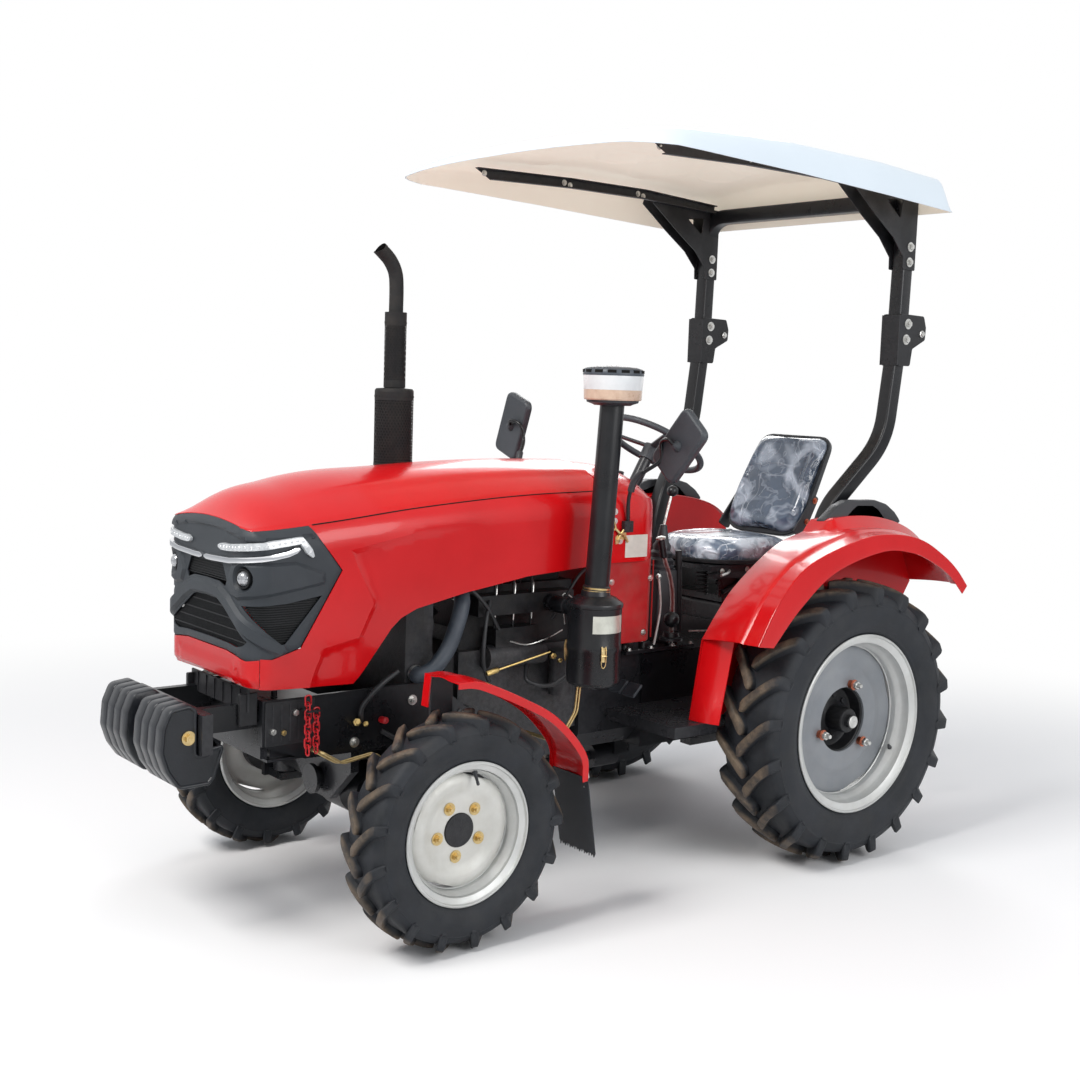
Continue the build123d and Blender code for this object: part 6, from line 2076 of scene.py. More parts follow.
# ---------------------------------------------------------------- mirrors
def make_mirror(name, side, centre, lean):
    centre = Vector(centre)
    turn = Matrix.Rotation(radians(lean), 3, "Y")
    outline = rounded(mm([(-75, -125), (-75, 125), (75, 125), (75, -125)]), 0.034, 8)

    def place(a, b, depth):
        spot = centre + turn @ Vector((a, depth, b))
        return Vector((side * spot.x, spot.y, spot.z))
    form = new_form()
    add_stepped(form, outline, place, mm([(-12.2, 16), (-13, 12), (-12.2, 8.5), (-9, 3.5), (-2, 0.6),
        (4, 0), (11.5, 0.6), (13, 3), (13, 7), (11.2, 8)]))
    add_turned(form, mm([(0, 20), (4, 19), (10, 12), (14, 11), (20, 0)]), place(0, 0, -0.012), (0, -1, 0),
               sides=20)
    piece(f"{name}_shell", form, MIRROR_SHELL, sharp=40, in_place_of=["mirrors"] if side > 0 else ())
    form = new_form()
    add_slab(form, inset_loop(outline, 0.0078), lambda a, b, d: place(a, b, 0.0105 + d), 0.0018)
    piece(f"{name}_glass", form, CHROME)
    x, y, z = centre
    form = new_form()
    arm = [(0.318, 0.055, 1.24), (0.32, 0.055, 1.275), (0.332, 0.045, 1.355),
           (0.4 * x + 0.15, 0.055, z - 0.12), (x - 0.085, y - 0.01, z - 0.055),
           (x - 0.072, y - 0.02, z + 0.008), (x - 0.025, y - 0.032, z + 0.022),
           (x - 0.004, y - 0.02, z + 0.002)]
    add_swept(form, [Vector((side * p.x, p.y, p.z)) for p in smooth_line(arm, 7)], circle(0.007, 14))
    near, far = sorted((side * 0.3101, side * 0.328))
    add_box(form, (near, 0.035, 1.228), (far, 0.075, 1.268))
    ease_edges(form, 0.0015, 50)
    piece(f"{name}_arm", form, BLACK)
    form = new_form()
    add_swept(form, [Vector((side * p.x, p.y, p.z)) for p in smooth_line(arm[2:5], 7)][2:-5],
              circle(0.0125, 18))
    piece(f"{name}_arm_sleeve", form, SOFT_BLACK)


make_exhaust()
make_air_cleaner()
make_precleaner()
make_mirror("left_mirror", 1, (0.517, 0.105, 1.545), 42)
make_mirror("right_mirror", -1, (0.457, 0.115, 1.573), -20)


# ---------------------------------------------------------------- cowl and controls
COWL_HALF, COWL_ROUND_FROM, COWL_ROUND = 0.3085, 0.1, 0.215


def make_cowl():
    form = new_form()
    rows = []
    for y in [-0.018 + 0.118 * k / 8 for k in range(8)] + [COWL_ROUND_FROM + COWL_ROUND
            * sin(pi / 2 * k / 20) for k in range(21)]:
        share = max((y - COWL_ROUND_FROM) / COWL_ROUND, 0.0)
        width = max(1 - share ** 2.2, 0.0005) ** (1 / 2.2)
        side = [(COWL_HALF, 1.118), (COWL_HALF, 1.121), (COWL_HALF + 0.001, 1.25), (COWL_HALF, 1.325),
                (0.301, 1.35)]
        crown = [(0.284 * k / 14, crown_height(0.284 * k / 14, y)) for k in range(14, -1, -1)]
        half = [(x * width, z - 0.09 * (1 - width) * (z > 1.2)) for x, z in side + crown]
        rows.append([Vector((x, y, z)) for x, z in half]
                    + [Vector((-x, y, z)) for x, z in reversed(half[:-1])])
    add_loft(form, rows)
    piece("cowl_upper", form, RED, sharp=30, in_place_of=["cowl"])
    form = new_form()
    half = mm([(286, 0), (286, 196), (262, 228)])
    plan = [(-x, y) for x, y in half] + [(x, y) for x, y in reversed(half)]
    add_stepped(form, rounded(plan, [0.003, 0.012, 0.012, 0.012, 0.012, 0.003], 4), above(0),
                mm([(815, 2), (817, 0), (1120, 0)]))
    for side in (-1, 1):
        add_box(form, (side * 0.2885 - 0.0025, 0.214, 0.83), (side * 0.2885 + 0.0025, 0.2165, 1.116))
    piece("cowl_lower", form, RED_IN_SHADE, sharp=30)
    spots = [((s * 0.2862, y, z), (s, 0, 0)) for s in (-1, 1)
             for y, z in mm(((18, 1045), (18, 985), (18, 872), (205, 1050), (180, 850)))]
    bolts("cowl_bolts", spots, 0.013, WHITE_ZINC, head=0.006)
    spots = [((s * 0.2862, 0.018, 0.96), (s, 0, 0)) for s in (-1, 1)]
    bolts("cowl_pins", spots, 0.016, COPPER, head=0.01)
    form = new_form()
    add_slab(form, rounded(mm([(56, 1134), (56, 1215), (162, 1215), (162, 1134)]), 0.003), across(0.3094),
             0.0008)
    piece("cowl_bare_label", form, BLANK_LABEL)

    form = new_form()
    ring = [Vector((0.3145, y, z)) for y, z in mm(((-40, 1236), (-14, 1290), (6, 1238)))]
    loop = bent_line(ring + ring[:1], 0.006, 4)
    add_swept(form, loop, circle(0.0032, 8))
    add_swept(form,
              smooth_line(mm([(314.5, -4, 1245), (319, 20, 1225), (317, 44, 1214), (314.5, 62, 1192)]), 5),
              circle(0.005, 10))
    add_slab(form, rounded(mm([(6, 1182), (4, 1212), (52, 1238), (58, 1206)]), 0.006), across(0.309), 0.004)
    add_pipe(form, mm([(314.5, 16, 1200), (323, 34, 1238)]), 0.0036, sides=8)
    piece("cowl_latch", form, GOLD_ZINC)
    spots = [((0.3092, y, z), (1, 0, 0)) for y, z in mm(((2, 1302), (2, 1268), (30, 1196)))]
    bolts("cowl_latch_bolts", spots, 0.013, WHITE_ZINC, head=0.006)

    form = new_form()
    add_stepped(form, rounded(mm([(-130, 90), (-110, 225), (110, 225), (130, 90)]), 0.03), lambda a, b,
                d: Vector((a, b, 1.432 + d - 0.16 * (b - 0.1))), mm([(0, 2), (12, 0), (15, 4)]))
    piece("instrument_panel", form, SOFT_BLACK, sharp=40)
    form = new_form()
    up = Vector((0, 0.1, 1)).normalized()
    for x, r in mm(((-60, 34), (30, 34), (88, 16))):
        add_turned(form, [(-0.004, 0.0), (-0.004, r), (0.004, r), (0.005, r - 0.003), (0.002, r - 0.005),
                          (0.002, 0.0)], (x, 0.155, 1.438), up, sides=40)
    piece("instrument_rims", form, CHROME)


def make_levers():
    form = new_form()
    add_stepped(form, rounded(mm([(10, 395), (10, 515), (130, 515), (130, 395)]), 0.02), above(0),
                mm([(770, 0), (1040, 6), (1048, 14)]))
    rings = mm([(1040, 52), (1056, 54), (1064, 46), (1080, 50), (1090, 40), (1108, 44), (1118, 34),
                (1136, 36), (1150, 26), (1196, 17), (1216, 13), (1218, 0)])
    add_turned(form, [(z - 1.04, r) for z, r in [(1.04, 0.0)] + rings], (0.07, 0.455, 1.04), (0, 0.05, 1),
               sides=28)
    piece("gear_lever_boot", form, SOFT_BLACK, sharp=50)
    form = new_form()
    add_pipe(form, mm([(70, 462, 1200), (71, 500, 1335)]), 0.005, sides=12)
    add_swept(form,
              bent_line(mm([(204, 400, 780), (204, 402, 950), (204, 386, 1030), (204, 350, 1100),
                            (204, 330, 1178)]), 0.05, 6), rounded(mm([(-9, -4), (-9, 4), (9, 4), (9, -4)]),
                                0.002, 2))
    add_turned(form, mm([(0, 0), (0, 18), (5, 19), (9, 12), (10, 0)]), (0.204, 0.328, 1.18), (0, -0.2, 1),
               sides=20)
    add_pipe(form, mm([(250, 270, 790), (250, 300, 930), (250, 282, 1040)]), 0.0045, bend=0.05, sides=10)
    add_turned(form, mm([(-11, 0), (-9, 7), (0, 11), (9, 7), (11, 0)]), (0.25, 0.281, 1.046), UP, sides=16)
    add_pipe(form, mm([(300, 400, 838), (300, 600, 826)]), 0.0034, sides=8)
    piece("lever_rods", form, WHITE_ZINC, in_place_of=["levers"])
    form = new_form()
    ball = [(-0.022 * cos(pi * k / 12), 0.022 * sin(pi * k / 12)) for k in range(13)]
    add_turned(form, ball, (0.071, 0.503, 1.346), (0, 0.1, 1), sides=24)
    add_turned(form, [(a * 1.4, b * 1.4) for a, b in ball], (0.204, 0.399, 0.868), UP, sides=28)
    add_turned(form, mm([(0, 0), (0, 12.5), (6, 14.5), (50, 13), (68, 14.5), (72, 11), (72, 0)]),
               (0.204, 0.348, 1.108), (0, -0.26, 1), sides=20)
    add_turned(form, mm([(0, 0), (0, 46), (10, 46), (14, 34), (30, 30), (30, 0)]), (0.204, 0.4, 0.79), UP,
               sides=28)
    piece("lever_knobs", form, BLACK, sharp=40)
    form = new_form()
    add_pipe(form, mm([(120, 520, 800), (122, 500, 1120)]), 0.013, sides=16)
    piece("control_tube", form, BLACK_SATIN)
    form = new_form()
    for y, reach in mm(((205, 188), (290, 198), (430, 196))):
        bar = rounded([(-0.12, y - 0.028), (-0.12, y + 0.028), (reach, y + 0.028), (reach, y - 0.028)],
                      0.018, 5)
        add_stepped(form, bar, above(0), mm([(760, 0), (780, 1), (790, 6), (793, 16)]))
    add_box(form, (-0.185, 0.17, 0.752), (0.212, 0.52, 0.766))
    piece("transmission_lid_ribs", form, BLACK, sharp=35, ease=(0.0015,))
    spots = [((x, y, 0.7662), (0, 0, 1)) for x in (-0.165, 0.203) for y in (0.19, 0.3, 0.41, 0.505)]
    bolts("transmission_lid_bolts", spots, 0.013, WHITE_ZINC, head=0.006)


def make_tread_plates():
    form = new_form()
    for side in (-1, 1):
        for row in range(8):
            for column in range(14):
                x, y = 0.225 + 0.048 * column / 2, 0.108 + 0.026 * row
                lean = 0.6 if (row + column) % 2 else -0.6
                if x > 0.556:
                    continue
                turn = Matrix.Rotation(lean, 3, "Z")
                spot = (side * x, y, 0.0)
                add_box(form, (side * x - 0.0105, y - 0.0022, 0.5594),
                        (side * x + 0.0105, y + 0.0022, 0.5612), turn, spot)
    piece("footplate_tread", form, BLACK_SATIN)
    form = new_form()
    for side in (-1, 1):
        for k, (x, y) in enumerate(((0.3, 0.06), (0.38, 0.055))):
            pad = rounded(mm([(-34, -30), (-34, 30), (34, 30), (34, -30)]), 0.008)
            add_stepped(form, pad, lambda a, b, d, x=x, y=y,
                        side=side: Vector((side * x + a, y + 0.7 * b - 0.6 * d, 0.662 + 0.7 * b + 0.6 * d)),
                        mm([(0, 2), (6, 0), (12, 4)]))
            if side < 0 and k == 0:
                break
    piece("pedal_pads", form, RUBBER_MAT, sharp=40)


make_cowl()
make_levers()
make_tread_plates()


# ---------------------------------------------------------------- rear mudguards
FENDER_IN, FENDER_OUT, FENDER_CREASE = 0.497, 0.806, 0.715
INNER_EDGE = mm([(272, 850), (345, 945), (430, 1035), (606, 1160), (750, 1212), (920, 1234), (1100, 1228),
                 (1280, 1188), (1385, 1110), (1445, 1000)])
OUTER_EDGE = mm([(241, 878), (343, 1035), (484, 1150), (758, 1230), (950, 1240), (1111, 1212), (1250, 1145),
                 (1338, 1085), (1405, 1020)])
LIP_EDGE = mm([(318, 863), (447, 991), (625, 1110), (879, 1172), (1050, 1160), (1173, 1120), (1290, 1060),
               (1377, 985)])
PLATEAU, PLATEAU_FROM, PLATEAU_TO, PLATEAU_OUT = 0.04, 0.775, 1.345, 0.61


def even_line(points, count):
    """A smooth (y, z) line through the points, at even shares of its length."""
    line = yz_line(points, 10)
    lengths = [0.0]
    for (a0, b0), (a1, b1) in zip(line, line[1:]):
        lengths.append(lengths[-1] + hypot(a1 - a0, b1 - b0))
    at = np.linspace(0, lengths[-1], count)
    return list(zip(np.interp(at, lengths, [p[0] for p in line]),
                    np.interp(at, lengths, [p[1] for p in line])))


def plateau_height(x, y):
    """The raised field that carries the grab handle."""
    run = smooth((y - PLATEAU_FROM) / 0.055) * (1 - smooth((y - PLATEAU_TO) / 0.05))
    return PLATEAU * run * (1 - smooth((x - PLATEAU_OUT) / 0.045))


def make_rear_fender(side_name, side):
    count, gauge = 64, 0.0028
    inner, outer, low = (even_line(line, count) for line in (INNER_EDGE, OUTER_EDGE, LIP_EDGE))
    xs = [FENDER_IN, 0.5005, 0.53, 0.56, 0.59, 0.612, 0.632, 0.655, 0.685, FENDER_CREASE - 0.006,
          FENDER_CREASE, FENDER_CREASE + 0.01, 0.745, 0.775, 0.7995, 0.8045]
    rows = []
    for i in range(count):
        (y0, z0), (y1, z1), (y2, z2) = inner[i], outer[i], low[i]
        before, after = inner[max(i - 1, 0)], inner[min(i + 1, count - 1)]
        length = hypot(after[0] - before[0], after[1] - before[1])
        down = Vector((0, (after[1] - before[1]) / length, -(after[0] - before[0]) / length))
        top, under = [], []
        for x in xs:
            t = (x - FENDER_IN) / (FENDER_OUT - FENDER_IN)
            y, z = y0 + (y1 - y0) * t, z0 + (z1 - z0) * t
            drop = 0.006 * smooth((x - FENDER_CREASE + 0.004) / 0.012) - 0.008 * sin(pi * min(1, t * 1.1))
            drop += 0.003 if x in (FENDER_IN, 0.8045) else 0.0
            spot = Vector((x, y, z)) + down * (drop - plateau_height(x, y)
                * (1.0 if abs(down.z) > 0.3 else 0.6))
            top.append(spot)
            under.append(spot + down * gauge)
        band = []
        for share in (0.04, 0.3, 0.62, 0.93, 1.0):
            band.append(Vector((FENDER_OUT - 0.0006 * (share > 0.95), y1 + (y2 - y1) * share,
                                z1 - 0.005 + (z2 - z1 + 0.005) * share)))
        hidden = [Vector((p.x - gauge, p.y, p.z)) for p in band]
        rows.append([Vector((side * p.x, p.y, p.z)) for p in top + band + hidden[::-1] + under[::-1]])
    form = new_form()
    add_loft(form, rows)
    piece(f"rear_fender_sheet_{side_name}", form, RED, sharp=24, in_place_of=[f"rear_fender_{side_name}"])

    form = new_form()
    top_line = [(y, z + plateau_height(FENDER_IN, y) - 0.006) for y, z in inner]
    wall = top_line + mm([(1300, 780), (1100, 700), (560, 700), (400, 560), (226, 560)])
    add_slab(form, wall, outwards(side, FENDER_IN + 0.0005), 0.0026)
    apron = []
    for k in range(9):
        x = FENDER_IN + 0.004 + 0.119 * k / 8
        back = 0.03 * (k / 8) ** 2
        apron.append([Vector((side * x, y + back, z))
                      for y, z in mm(((224, 560), (284, 858), (286.8, 858), (226.8, 560)))])
    add_loft(form, apron)
    piece(f"rear_fender_wall_{side_name}", form, RED, sharp=24)

    form = new_form()
    arch = rounded(mm([(800, 1262), (835, 1286), (885, 1322), (940, 1341), (1100, 1339), (1170, 1321),
                       (1222, 1290), (1272, 1242)]), 0.04, 5)
    hole = rounded(mm([(1185, 1245), (1132, 1266), (1122, 1294), (1085, 1312), (995, 1315), (968, 1298),
                       (958, 1270), (900, 1258)]), 0.014, 4)
    add_stepped(form, arch + hole, outwards(side, 0.538),
                mm([(0, 5), (1.5, 1.5), (5, 0), (37, 0), (40.5, 1.5), (42, 5)]))
    piece(f"grab_handle_arch_{side_name}", form, SOFT_BLACK, sharp=50, in_place_of=["grab_handles"]
          if side > 0 else ())
    form = new_form()
    place_at, tilt = Vector((side * 0.64, 0.392, 1.031)), Vector((side * 0.06, -0.74, 0.67)).normalized()
    turn = Vector((0, 0, 1)).rotation_difference(tilt).to_matrix()
    oval = [(0.017 * cos(tau * k / 36), 0.03 * sin(tau * k / 36)) for k in range(36)]
    add_stepped(form, oval, lambda a, b, d: place_at + turn @ Vector((a, b, d)),
                mm([(-4, 0), (1.8, 0), (3, 1.2), (3, 3.5), (2, 4.5)]))
    piece(f"rear_fender_bare_badge_{side_name}", form, RED, sharp=24)
    spots = [((side * 0.4962, y, z), (-side, 0, 0))
             for y, z in mm(((300, 620), (460, 700), (660, 740), (900, 740), (1100, 760)))]
    bolts(f"rear_fender_bolts_{side_name}", spots, 0.014, WHITE_ZINC)
    form = new_form()
    add_swept(form, bent_line([Vector((side * 0.505, 1.29, 1.15)), Vector((side * 0.6, 1.3, 1.165)),
                               Vector((side * 0.78, 1.24, 1.12))], 0.05),
                               rounded(mm([(-10, -2), (-10, 2), (10, 2), (10, -2)]), 0.001, 1))
    piece(f"rear_fender_stay_{side_name}", form, RED_IN_SHADE)


for side_name, side in SIDES:
    make_rear_fender(side_name, side)


# ---------------------------------------------------------------- seat
CLOTH_FRAMES = 20
CLOTH_SETTINGS = {
    "use_pressure": True, "uniform_pressure_force": 4.0, "vertex_group_mass": "held", "mass": 0.3,
    "quality": 4,
    "tension_stiffness": 12, "compression_stiffness": 12, "bending_stiffness": 0.3,
}


def swell(mesh, seams, reach, cap):
    """Puffs a closed pad with cloth pressure, held along its seams; returns the finished mesh."""
    scene = bpy.context.scene
    worker = bpy.data.objects.new("pad_work", mesh)
    scene.collection.objects.link(worker)
    remesh = worker.modifiers.new("even", "REMESH")
    remesh.mode = "VOXEL"
    remesh.voxel_size = 0.0065
    bpy.context.view_layer.update()
    even = evaluated(worker)
    worker.modifiers.clear()
    worker.data = even
    places = np.empty(len(even.vertices) * 3)
    even.vertices.foreach_get("co", places)
    places = places.reshape(-1, 3)
    held = worker.vertex_groups.new(name="held")
    near = np.full(len(places), 1e9)
    for line in seams:
        for a, b in zip(line, line[1:]):
            a, b = np.array(a), np.array(b)
            t = np.clip(((places - a) @ (b - a)) / ((b - a) @ (b - a)), 0, 1)
            near = np.minimum(near, np.linalg.norm(places - a - t[:, None] * (b - a), axis=1))
    held.add([int(i) for i in np.nonzero(near < reach)[0]], 1.0, "REPLACE")
    cloth = worker.modifiers.new("swell", "CLOTH")
    for key, value in CLOTH_SETTINGS.items():
        setattr(cloth.settings, key, value)
    cloth.settings.effector_weights.gravity = 0.0
    cloth.point_cache.frame_start, cloth.point_cache.frame_end = 1, CLOTH_FRAMES
    for moment in range(1, CLOTH_FRAMES + 1):
        scene.frame_set(moment)
    puffed = evaluated(worker)
    moved = np.empty(len(places) * 3)
    puffed.vertices.foreach_get("co", moved)
    shift = moved.reshape(-1, 3) - places
    length = np.maximum(np.linalg.norm(shift, axis=1), 1e-9)
    shift *= (np.minimum(length, cap) / length)[:, None]
    even.vertices.foreach_set("co", (places + shift).ravel())
    scene.frame_set(1)
    worker.modifiers.clear()
    smoother = worker.modifiers.new("smoother", "SUBSURF")
    smoother.levels = smoother.render_levels = 1
    bpy.context.view_layer.update()
    result = evaluated(worker)
    bpy.data.objects.remove(worker)
    result.materials.clear()
    return result


BACK_MIDDLE, BACK_TURN = Vector((0, 1.18, 1.375)), Matrix.Rotation(radians(-27), 3, "X")


def on_back(a, b, d):
    """A point of the seat back: across, up its slope, and towards the rear."""
    return BACK_MIDDLE + BACK_TURN @ Vector((a, d, b))


def pad_form(outline, place, steps):
    form = new_form()
    add_stepped(form, outline, place, steps)
    settle(form)
    bmesh.ops.triangulate(form, faces=[f for f in form.faces if len(f.verts) > 4])
    return as_mesh("pad", form)


def make_seat():
    plan = rounded(mm([(-218, 612), (-224, 1045), (224, 1045), (218, 612)]), [0.195, 0.05, 0.05, 0.195], 12)
    base = pad_form(plan, above(0), mm([(1068, 22), (1074, 8), (1086, 1), (1134, 0), (1150, 9), (1158, 30),
        (1160, 60), (1156, 68), (1160, 76)]))
    ring = inset_loop(plan, 0.066)
    seams = [[Vector((a, b, 1.156)) for a, b in ring + ring[:1]]]
    seams += [[Vector((x, 0.7, 1.16)), Vector((x, 0.96, 1.16))] for x in (-0.07, 0.07)]
    mesh = swell(base, seams, 0.006, 0.013)
    cushion = piece("seat_cushion_pad", mesh, SEAT_FILM, sharp=180, in_place_of=["seat_cushion"])

    outline = rounded(mm([(-212, -236), (-190, 206), (190, 206), (212, -236)]),
                      [0.105, 0.065, 0.065, 0.105], 8)
    base = pad_form(outline, on_back, mm([(14, 20), (10, 8), (0, 0), (-16, 2), (-27, 12), (-33, 34),
        (-33, 50), (-29, 57), (-33, 64)]))
    ring = inset_loop(outline, 0.057)
    seams = [[on_back(a, b, -0.029) for a, b in ring + ring[:1]]]
    seams += [[on_back(x0, z0, -0.033), on_back(x1, z1, -0.033)]
              for x0, z0, x1, z1 in mm(((-100, 85, 100, 85), (-110, -30, 0, -85), (0, -85, 110, -30)))]
    mesh = swell(base, seams, 0.006, 0.013)
    back = piece("seat_back_pad", mesh, BACK_FILM, sharp=180, in_place_of=["seat_back"])

    form = new_form()
    shell = inset_loop(outline, -0.008)
    add_stepped(form, shell, on_back, mm([(6, 10), (4, 3), (8, 0), (26, 3), (36, 14), (40, 34)]))
    for side in (-1, 1):
        add_slab(form, rounded(mm([(-235, -30), (-235, 35), (-50, 40), (-50, 10)]), 0.012),
                 lambda b, d, w, side=side: on_back(side * (0.206 + w), b, d), 0.008)
    piece("seat_back_shell", form, SOFT_BLACK, sharp=40)
    spots = [(on_back(s * 0.2145, z, 0.022), BACK_TURN @ Vector((s, 0, 0))) for s in (-1, 1)
             for z in (-0.07, -0.165)]
    bolts("seat_back_bolts", spots, 0.014, COPPER, head=0.006)

    form = new_form()
    tray = inset_loop(plan, -0.006)
    add_stepped(form, tray, above(0), mm([(1058, 30), (1060, 12), (1066, 2), (1078, 0), (1080, 4)]))
    for side in (-1, 1):
        add_box(form, (side * 0.185 - 0.014, 0.64, 1.028), (side * 0.185 + 0.014, 1.08, 1.052))
        add_box(form, (side * 0.185 - 0.018, 0.62, 1.01), (side * 0.185 + 0.018, 1.06, 1.03))
        add_slab(form,
                 rounded(mm([(1060, 1035), (1060, 1075), (1120, 1150), (1145, 1140), (1110, 1050),
                             (1110, 1035)]), 0.014), outwards(side, 0.212), 0.008)
        for k in range(2):
            add_turned(form, [(0, 0.01), (0.012, 0.01)], (side * 0.14, 0.7 + 0.28 * k, 0.985), (side, 0, 0),
                       sides=14)
        for legs in mm(([(150, 720, 945), (156, 860, 1000), (150, 990, 1020)],
                        [(150, 990, 945), (158, 860, 990), (150, 720, 1020)])):
            add_pipe(form, [(side * x, y, z) for x, y, z in legs], 0.01, sides=12)
    for spring_x in (-0.09, 0.09):
        turns = [Vector((spring_x + 0.022 * cos(tau * k / 14), 0.665 + 0.022 * sin(tau * k / 14),
                         0.935 + 0.105 * k / 98)) for k in range(99)]
        add_swept(form, turns, circle(0.0035, 8))
    piece("seat_slides", form, BLACK_SATIN, sharp=40)
    form = new_form()
    add_pipe(form, mm([(205, 700, 1040), (235, 660, 1036), (250, 610, 1030)]), 0.0055, sides=10)
    add_pipe(form, mm([(205, 880, 972), (222, 860, 968), (245, 820, 960)]), 0.005, sides=10)
    piece("seat_release_levers", form, WHITE_ZINC)
    spots = [((s * 0.2035, y, 1.04), (s, 0, 0)) for s in (-1, 1) for y in (0.66, 0.8, 0.95)]
    bolts("seat_slide_bolts", spots, 0.012, WHITE_ZINC, head=0.006)


make_seat()


# ---------------------------------------------------------------- roll bar
ROPS_X, ROPS_HALF = 0.54, 0.03
ROPS_PIVOT = (1.318, 1.985)
TUBE = rounded([(-ROPS_HALF, -ROPS_HALF), (-ROPS_HALF, ROPS_HALF), (ROPS_HALF, ROPS_HALF),
                (ROPS_HALF, -ROPS_HALF)], 0.01, 3)


def plate(form, side, x0, gauge, outline, ease=0.0012):
    """A flat plate in the fore-and-aft plane, with eased edges."""
    steps = [(0.0, ease), (ease, 0.0), (gauge - ease, 0.0), (gauge, ease)]
    add_stepped(form, outline, outwards(side, x0), steps)


def make_roll_bar():
    x = ROPS_X
    form = new_form()
    for side in (-1, 1):
        line = [(0.465, 0.89, 0.66), (0.465, 0.915, 1.19), (0.47, 0.955, 1.305), (x, 1.172, 1.565),
                (x, 1.222, 1.955)]
        add_swept(form, bent_line([(side * a, b, c) for a, b, c in line], 0.1, 10), TUBE)
        cheek = mm([(1186, 1858), (1258, 1858), (1268, 1925), (1343, 1962), (1346, 2010), (1330, 2054),
                    (1186, 2058)])
        for x0 in (x - 0.042, x + 0.034):
            plate(form, side, x0, 0.008, rounded(cheek, 0.012))
        add_box(form, (side * x - 0.042, 1.178, 1.86), (side * x + 0.042, 1.186, 2.052))
        add_box(form, (side * x - 0.034, 1.19, 1.862), (side * x + 0.034, 1.256, 1.95))
        add_box(form, (side * 0.455 - 0.025, 0.79, 0.6182), (side * 0.455 + 0.025, 0.93, 0.664))
        plate(form, side, 0.42, 0.08, rounded(mm([(775, 618), (775, 634), (945, 634), (945, 618)]), 0.004))
    piece("roll_bar_legs", form, BLACK, sharp=40, in_place_of=["roll_bar_lower"])
    spots = [((s * x + t * 0.042, y, z), (t, 0, 0)) for s in (-1, 1) for t in (-1, 1)
             for y, z in ((1.225, 1.96), (1.232, 2.02))]
    bolts("roll_bar_bolts", spots, 0.022, WHITE_ZINC, head=0.01, washer=0.002)
    form = new_form()
    for side in (-1, 1):
        add_turned(form, [(0.0, 0.008), (0.1, 0.008)], (side * x - 0.05, *ROPS_PIVOT), AXLE, sides=18)
        for t in (-1, 1):
            add_turned(form, mm([(0, 13.5), (4, 13.5), (6, 10), (10, 9)]),
                       (side * x + t * 0.042, *ROPS_PIVOT), (t, 0, 0), sides=18)
    piece("roll_bar_pins", form, WHITE_ZINC)

    hoop = bent_line([(x, 1.222, 1.963), (x, 1.236, 2.494), (-x, 1.236, 2.494), (-x, 1.222, 1.963)], 0.115,
                     12)
    form = new_form()
    add_swept(form, hoop, TUBE)
    for side in (-1, 1):
        lug = rounded(mm([(1240, 1966), (1240, 2006), (1322, 2006), (1336, 1996), (1336, 1974),
                          (1322, 1966)]), 0.006, 2)
        plate(form, side, x - 0.024, 0.048, lug)
    piece("roll_bar_hoop", form, BLACK, "roll_bar", sharp=40, in_place_of=["roll_bar_upper"])

    form = new_form()
    for side in (-1, 1):
        low = mm([(0, 2527), (400, 2536), (800, 2533), (1225, 2512)])
        high = mm([(1225, 2546), (800, 2573), (400, 2576), (-70, 2567)])
        plate(form, side, 0.5, 0.004, low + high)
        for top, line in ((0.0, low), (-0.004, high[::-1])):
            flange = [(y, z + top) for y, z in line] + [(y, z + top + 0.004) for y, z in reversed(line)]
            add_slab(form, flange, outwards(side, 0.482), 0.019)
        outer = rounded(mm([(1262, 2225), (1190, 2228), (1188, 2275), (1122, 2345), (1010, 2420),
                            (865, 2526), (872, 2545), (1264, 2528)]), 0.006)
        hole = rounded(mm([(1160, 2415), (1068, 2482), (1172, 2488)]), 0.008, 4)
        for x0 in (x - 0.0342, x + 0.0302):
            add_ring_plate(form, side, x0, 0.004, outer, hole)
    piece("canopy_rails", form, BLACK_SATIN, "roll_bar", sharp=35)
    spots = [((s * x + t * 0.0342, y, z), (t, 0, 0)) for s in (-1, 1) for t in (-1, 1)
             for y, z in ((1.23, 2.314), (1.228, 2.256))]
    bolts("gusset_bolts", spots, 0.02, WHITE_ZINC, "roll_bar", head=0.009)
    spots = [((s * 0.5, y, z), (-s, 0, 0)) for s in (-1, 1)
             for y, z in mm(((-30, 2549), (370, 2556), (400, 2548), (770, 2553), (800, 2545)))]
    bolts("canopy_rail_bolts", spots, 0.013, WHITE_ZINC, "roll_bar", head=0.006)


def add_ring_plate(form, side, x0, gauge, outer, hole):
    """A flat plate with one hole."""
    flat, faces = panel_points(outer, [], 0.03, [hole])
    used, sheets = double_sheet(faces)
    add_faces(form, [Vector((side * (x0 + d), *flat[i])) for d in (0.0, gauge) for i in used], sheets)


# ---------------------------------------------------------------- canopy
CANOPY_STATIONS = mm([
    # in mm: y, half width, edge z, the crown arc's side z, crown z
    (-420, 740, 2518, 2545, 2552), (-200, 738, 2513, 2563, 2590), (-60, 736, 2509, 2575, 2618),
    (420, 735, 2489, 2587, 2655), (900, 728, 2464, 2577, 2650), (1320, 713, 2440, 2552, 2618),
])
CANOPY_REAR = 1.292
SHELL_GAUGE, RIB_DEPTH = 0.0045, 0.007
# widths over which the shell rolls down to its edges
SIDE_ROLL, FRONT_ROLL, REAR_ROLL = 0.055, 0.12, 0.045


def canopy_front(u):
    """The bowed front edge with its round corners."""
    return -0.395 + 0.12 * abs(u) ** 2.4 + 0.11 * max(0.0, (abs(u) - 0.8) / 0.2) ** 2.6


